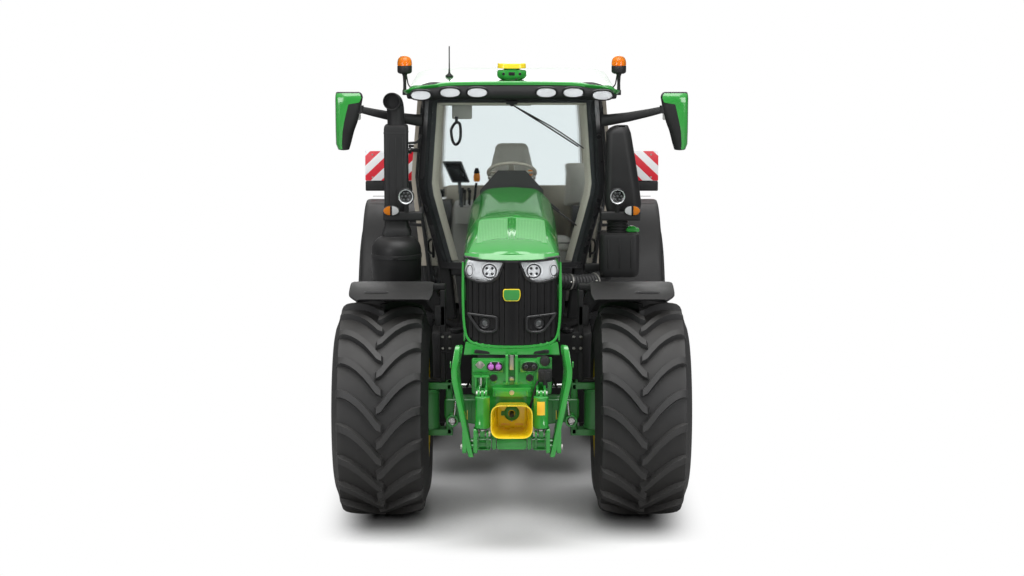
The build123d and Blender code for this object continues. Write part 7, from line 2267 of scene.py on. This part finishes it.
welts = [welt((-244, 244, seat_y - 434, seat_y - 10), base_z + 98),
         welt((-244, 244, seat_y - 434, seat_y - 10), base_z + 34),
         welt((306, 484, seat_y - 344, seat_y - 26), floor_top + 478)]
piece("seat_welts", welts, "seat_edge", slot="seat_fabric")
buckle = [both(block(-272, -250, seat_y - 60, seat_y - 20, base_z + 60, base_z + 150, 6)),
          rod((-262, seat_y - 40, base_z - 10), (-262, seat_y - 40, base_z + 70), 8)]
piece("belt_buckles", buckle, "black_smooth", slot="cab_plastic")
print("inside done")

# %% [markdown]
# ## Doors, rear fenders and the back
# The doors get soft-edged frames, seals and handles, and the rear window a soft-edged frame with a latch.
# The rear fenders get rolled rims and the bars that carry the striped boards, and the back gets its linkage
# details.

# %% Doors
def side_point(z, y, out):
    """Place on the cab's side: height, place along the machine and how far outside the pillars' middle."""
    return float(side_x(z, y)) + out, float(y), z


def side_loop(z0, z1, front, rear, count=9):
    """Outline of a side opening as points (z, y), once round: up along the front edge, back down along the
    rear edge."""
    up, down = np.linspace(z0, z1, count), np.linspace(z1, z0, count)
    loop = [(z, pillar_at("A", z)[1] + front) for z in up] + [(z1, y)
        for y in np.linspace(pillar_at("A", z1)[1] + front, pillar_at("B", z1)[1] + rear, 7)[1:-1]]
    loop += [(z, pillar_at("B", z)[1] + rear) for z in down] + [(z0, y)
        for y in np.linspace(pillar_at("B", z0)[1] + rear, pillar_at("A", z0)[1] + front, 7)[1:-1]]
    return loop


door_z = floor_z + 55, 2897
outer_loop, inner_loop = side_loop(*door_z, 51, -51), side_loop(door_z[0] + 70, door_z[1] - 55, 101, -101)
leaf = [[side_point(z, y, out) for z, y in loop] for loop,
        out in ((inner_loop, -18), (outer_loop, -19), (outer_loop, 16), (inner_loop, 21))]
leaf = sheet(np.array(leaf), wrap_rows=True)
seal_loop = side_loop(door_z[0] + 66, door_z[1] - 51, 97, -97)
seal = sheet(
             np.array([[side_point(z, y, out) for z, y in loop] for loop,
                       out in ((seal_loop, 21), (seal_loop, 23.5),
                               (side_loop(door_z[0] + 80, door_z[1] - 65, 111, -111), 23),
                               (side_loop(door_z[0] + 80, door_z[1] - 65, 111, -111), 11))]), caps=False)
hinge_x, hinge_y = 815.0, wheelbase - 885
hinge_parts = []
for z in (1900, 2500):
    y = pillar_at("B", z)[1]
    x_leaf, x_clear = side_x(z, y - 70) + 5, side_x(z, y) + 52
    outline = rounded([(x_leaf, y - 92), (x_leaf, y - 54), (x_clear, y - 52), (hinge_x - 15, hinge_y + 13),
                       (hinge_x + 15, hinge_y + 13), (hinge_x + 15, hinge_y - 15), (x_leaf + 30, y - 92)],
                      [2, 4, 6, 8, 10, 12, 6], 3)
    hinge_parts.append(plate(outline, z - 28, z - 5, "z", 2))
handle_y = 1560.0
handle_x = float(side_x(1760, handle_y))
handle_path = curved(np.array([(handle_x + 12, handle_y, 1700), (handle_x + 52, handle_y + 10, 1706),
                               (handle_x + 58, handle_y + 20, 1760), (handle_x + 52, handle_y + 10, 1814),
                               (handle_x + 12, handle_y, 1820)], float), 6)
lock = [pipe(handle_path, 9, (0, 1, 0), 12), block(handle_x + 4, handle_x + 24, handle_y - 32, handle_y + 32,
        1672, 1848, 6, 10, "x")]
for side, turn in (("left", lambda shape: shape), ("right", mirrored)):
    body = f"door_{side}_body"
    piece(f"door_leaf_{side}", [turn(leaf)] + [turn(part) for part in hinge_parts], "black_plastic",
          body=body, crease=40, replaces=[f"door_{side}"])
    piece(f"door_seal_{side}", turn(seal), "rubber_soft", body=body)
    piece(f"door_handle_{side}", [turn(part) for part in lock], "black_smooth", body=body)

# %% Rear window
window_row = wheelbase + 160 + 50
frame_outline = lambda inset, low, high: rounded([(-640 + inset, low), (640 - inset, low),
        (600 - inset, high), (-600 + inset, high)], 46, 5)
rings = [(frame_outline(50, sill_z + 80, 2861), window_row + 1),
         (frame_outline(2, sill_z + 32, 2909), window_row + 1),
         (frame_outline(0, sill_z + 30, 2911), window_row + 6),
         (frame_outline(0, sill_z + 30, 2911), window_row + 24),
         (frame_outline(6, sill_z + 36, 2905), window_row + 30),
         (frame_outline(50, sill_z + 80, 2861), window_row + 26)]
rear_y = pillar_at("C", sill_z + 70)[1] + 50
shift = rear_y - window_row
grid = np.array([[(x, y + shift, z) for x, z in outline] for outline, y in rings])
latch = [block(-60, 60, rear_y + 26, rear_y + 44, sill_z + 44, sill_z + 74, 5, 12, "y"),
         pipe(curved(np.array([(-46, rear_y + 30, sill_z + 70), (-40, rear_y + 70, sill_z + 90),
                               (40, rear_y + 70, sill_z + 90), (46, rear_y + 30, sill_z + 70)], float), 6),
              8)]
lugs = both(block(422, 434, wheelbase + 215, wheelbase + 235, 2909, 2936, 3))
piece("rear_window_leaf", [sheet(grid, wrap_rows=True), lugs, latch[0]], "black_plastic", body="rear_window",
      replaces=["rear_window_frame"])

# %% Rear fenders
fender_radius = 2 * rear_radius + 48 - rear_radius
fender_angles = np.radians(np.linspace(64, -58, 73))
across = np.array([(500, 0), (500, 11), (540, 12), (1180, 12), (1204, 10), (1216, 3), (1220, -8), (1220, -26),
                   (1216, -26), (1214, -8), (1206, -1), (1180, 0)], float)
reach = fender_radius + across[None, :, 1]
grid = np.zeros((len(fender_angles), len(across), 3))
grid[..., 0] = across[None, :, 0]
grid[..., 1] = wheelbase - reach * np.sin(fender_angles)[:, None]
grid[..., 2] = rear_radius + reach * np.cos(fender_angles)[:, None]
wall_angles = np.radians(np.linspace(64, -12, 40))
top = np.array([(wheelbase - (fender_radius + 10) * math.sin(a), rear_radius + (fender_radius + 10)
                 * math.cos(a)) for a in wall_angles])
wall_outline = np.concatenate([top[:, None, :], np.stack([top[:, 0], np.full(len(top), floor_z)], 1)[:, None,
            :]], 1)
wall_grid = np.array([[(501, *outer), (511, *outer), (511, *inner), (501, *inner)] for outer,
                      inner in wall_outline])
bar_z = 2 * rear_radius + 58
bar_x0, bar_x1, bar_y = 760, 1262, wheelbase + 600
bar_shapes = [block(bar_x0, bar_x1, bar_y + 0.5, bar_y + 70, bar_z + 8, bar_z + 95, 10, 14, "x"),
              block(900, 1200, bar_y + 0.5, bar_y + 15, bar_z + 86, bar_z + 326, 4, 10, "y"),
              block(902, 958, bar_y + 0.5, bar_y + 60, rear_radius + 775, bar_z + 20, 6)]
piece("fender_shells", both(join(sheet(grid), sheet(wall_grid))), "black_plastic", crease=40,
      replaces=["rear_fenders"])
piece("fender_bars", [both(join(*bar_shapes))], "black_plastic")
lamp_case = [both(plate(rounded(rectangle(bar_x0 + 16, bar_x0 + 190, bar_z + 16, bar_z + 86), 12), bar_y + 68,
                        bar_y + 84, "y", 4))]
piece("rear_lamp_cases", lamp_case, "black_smooth")
for name, x0, x1, finish, slot in (("rear_lamp_amber", 24, 74, "amber_lens", "amber"),
                                   ("rear_lamp_red", 80, 182, "orange_plastic", "amber")):
    piece(name,
          both(plate(rounded(rectangle(bar_x0 + x0, bar_x0 + x1, bar_z + 24, bar_z + 78), 8), bar_y + 82,
                     bar_y + 88, "y", 2)), finish, slot=slot)
board_z = bar_z + 100
piece("board_panels",
      both(plate(rounded(rectangle(840, 1262, board_z, board_z + 255), 6), bar_y - 6, bar_y, "y", 0.6)),
      "board_foil", slot="board", replaces=["boards"])
board_bolts = [both(moved(hexagon("y", 14, -6), x, bar_y - 5, z)) for x in (900, 1200)
               for z in (board_z + 30, board_z + 225)]
piece("board_bolts", board_bolts, "zinc")
mud_seam = [both(block(560, 1180, wheelbase + s, wheelbase + s + 8, 2 * rear_radius + 58, 2 * rear_radius
                       + 62, 2)) for s in (-300, -20, 260)]
piece("fender_ribs", mud_seam, "black_plastic")

# %% Tank and steps
tank_y0, tank_y1, tank_z1 = 1120.0, wheelbase - rear_radius - 122, floor_z - 50
tank_body = stacked([(rounded(rectangle(240 + d, 625 - d, tank_y0 + d, tank_y1 - d), 60, 5), z) for d,
                     z in ((26, 431), (6, 440), (0, 470), (0, tank_z1 - 40), (8, tank_z1 - 8),
                           (30, tank_z1))], "z")
hangers = [block(170.5, 250, y, y + 60, rear_radius - 58, rear_radius + 22, 6)
           for y in (tank_y1 - 420, tank_y1 - 120)]
step_y0, step_y1 = tank_y1 - 490, tank_y1 - 28
rails = [
         plate(rounded([(900, 430), (960, 430), (760, tank_z1 + 30), (620, tank_z1 + 30),
                        (620, tank_z1 - 40)], [10, 16, 24, 10, 6]), y, y + 12, "y", 3)
         for y in (step_y0, step_y1 - 12)]
treads, studs = [], []
for i in range(4):
    x, z = 925 - 55 * i, 440 + 210 * i
    if z < tank_z1:
        x0 = max(x - 170, 620)
        treads.append(block(x0, x, step_y0 + 6, step_y1 - 6, z, z + 20, 4, 8))
        stud = turned([(0, 0), (0, 9), (4, 7), (5, 0)], (0, 0, 0), "z", 10)
        studs.append(
                     repeated(stud, [(x0 + 24 + 30 * a, step_y0 + 40 + 40 * b, z + 18)
                                     for a in range(int((x - x0 - 30) / 30) + 1) for b in range(10)]))
straps = [block(236, 629, y, y + 36, 428, 434, 2) for y in (tank_y0 + 90, tank_y1 - 120)] + [
    block(624, 629.5, y, y + 36, 430, tank_z1 - 20, 2) for y in (tank_y0 + 90,)]
piece("tank_bodies", both(join(tank_body, *hangers, *straps)), "black_plastic", replaces=["tanks_and_steps"])
piece("step_treads", both(join(*rails, *treads, *studs)), "black_metal")
piece("tank_caps",
      both(turned([(0, 0), (0, 46), (6, 52), (26, 52), (32, 44), (34, 0)], (430, tank_y0 + 60, tank_z1 - 1),
                  "z", 36)), "black_smooth")

# %% Rear casting, linkage and drive shaft
case_y, lift_y, lift_z = wheelbase + 430, wheelbase + 300, rear_radius + 197
couplers = []
for row, z in enumerate((rear_radius + 40, rear_radius + 100)):
    for x in (-140, -92, 92, 140):
        couplers.append(turned([(-1, 0), (-1, 19), (28, 19), (32, 16), (46, 16), (50, 10), (50, 0)],
                               (x, case_y + 1, z), "y", 24))
piece("rear_couplers", couplers, "zinc")
lids = [turned([(50, 0), (50, 18), (56, 20), (62, 18), (64, 0)], (x, case_y + 1, z), "y", 24)
        for z in (rear_radius + 40, rear_radius + 100) for x in (-140, -92, 92, 140)]
piece("rear_coupler_lids", lids, "orange_plastic")
guard_z = rear_radius - 238
guard_rows = [(case_y + 2, 96, 74), (case_y + 150, 128, 96), (case_y + 158, 128, 96), (case_y + 158, 121, 90),
              (case_y + 150, 121, 90), (case_y + 8, 90, 68)]
guard_grid = [[(w * math.cos(a), y, guard_z + 12 + h * math.sin(a))
               for a in np.linspace(-0.35, np.pi + 0.35, 40)] for y, w, h in guard_rows]
piece("rear_shaft_guard", sheet(np.array(guard_grid), wrap_rows=True, wrap=False), "black_plastic")
caps = [both(moved(hexagon("x", 40, 16), 352, wheelbase + 250, rear_radius - 318)),
        both(moved(hexagon("x", 34, 12), 440, wheelbase + 720, lift_z + 5)),
        both(moved(turned([(0, 0), (0, 26), (8, 26), (10, 0)], (0, 0, 0), "x", 24), 330, lift_y, lift_z))]
piece("rear_pin_heads", caps[:1], "zinc")
piece("lift_arm_heads", caps[1:], "zinc", body="lift_arm_pair")
axle_bolts = around(both(moved(washer_bolt("x", 24, 14), 262, wheelbase, rear_radius + 168)), "x",
                    (0, wheelbase, rear_radius), np.arange(0, 360, 30.0))
piece("axle_bolts", axle_bolts, "zinc")
hose_rows = [(-150, 40), (-60, 70), (60, 55), (150, 85)]
hose_shapes = [
               pipe(curved(np.array([(x, case_y - 10, rear_radius + 150), (x, case_y + 60, rear_radius + 230),
                                     (x * 0.8, case_y - 30, rear_radius + 330 + lift),
                                     (x * 0.6, wheelbase + 240, rear_radius + 300)], float), 6), 10,
                    (1, 0, 0), 10) for x, lift in hose_rows]
piece("rear_hoses", hose_shapes, "rubber_soft")
print("back done")

# %% [markdown]
# The dressed machine must be as large as the engineering model. Both boxes are printed so that they
# can be compared.

# %% Sizes
dressed_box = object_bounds()
for label, (low, high) in (("plain", cad_box), ("dressed", dressed_box)):
    print(label, [round(h - l, 3) for l, h in zip(low, high)])
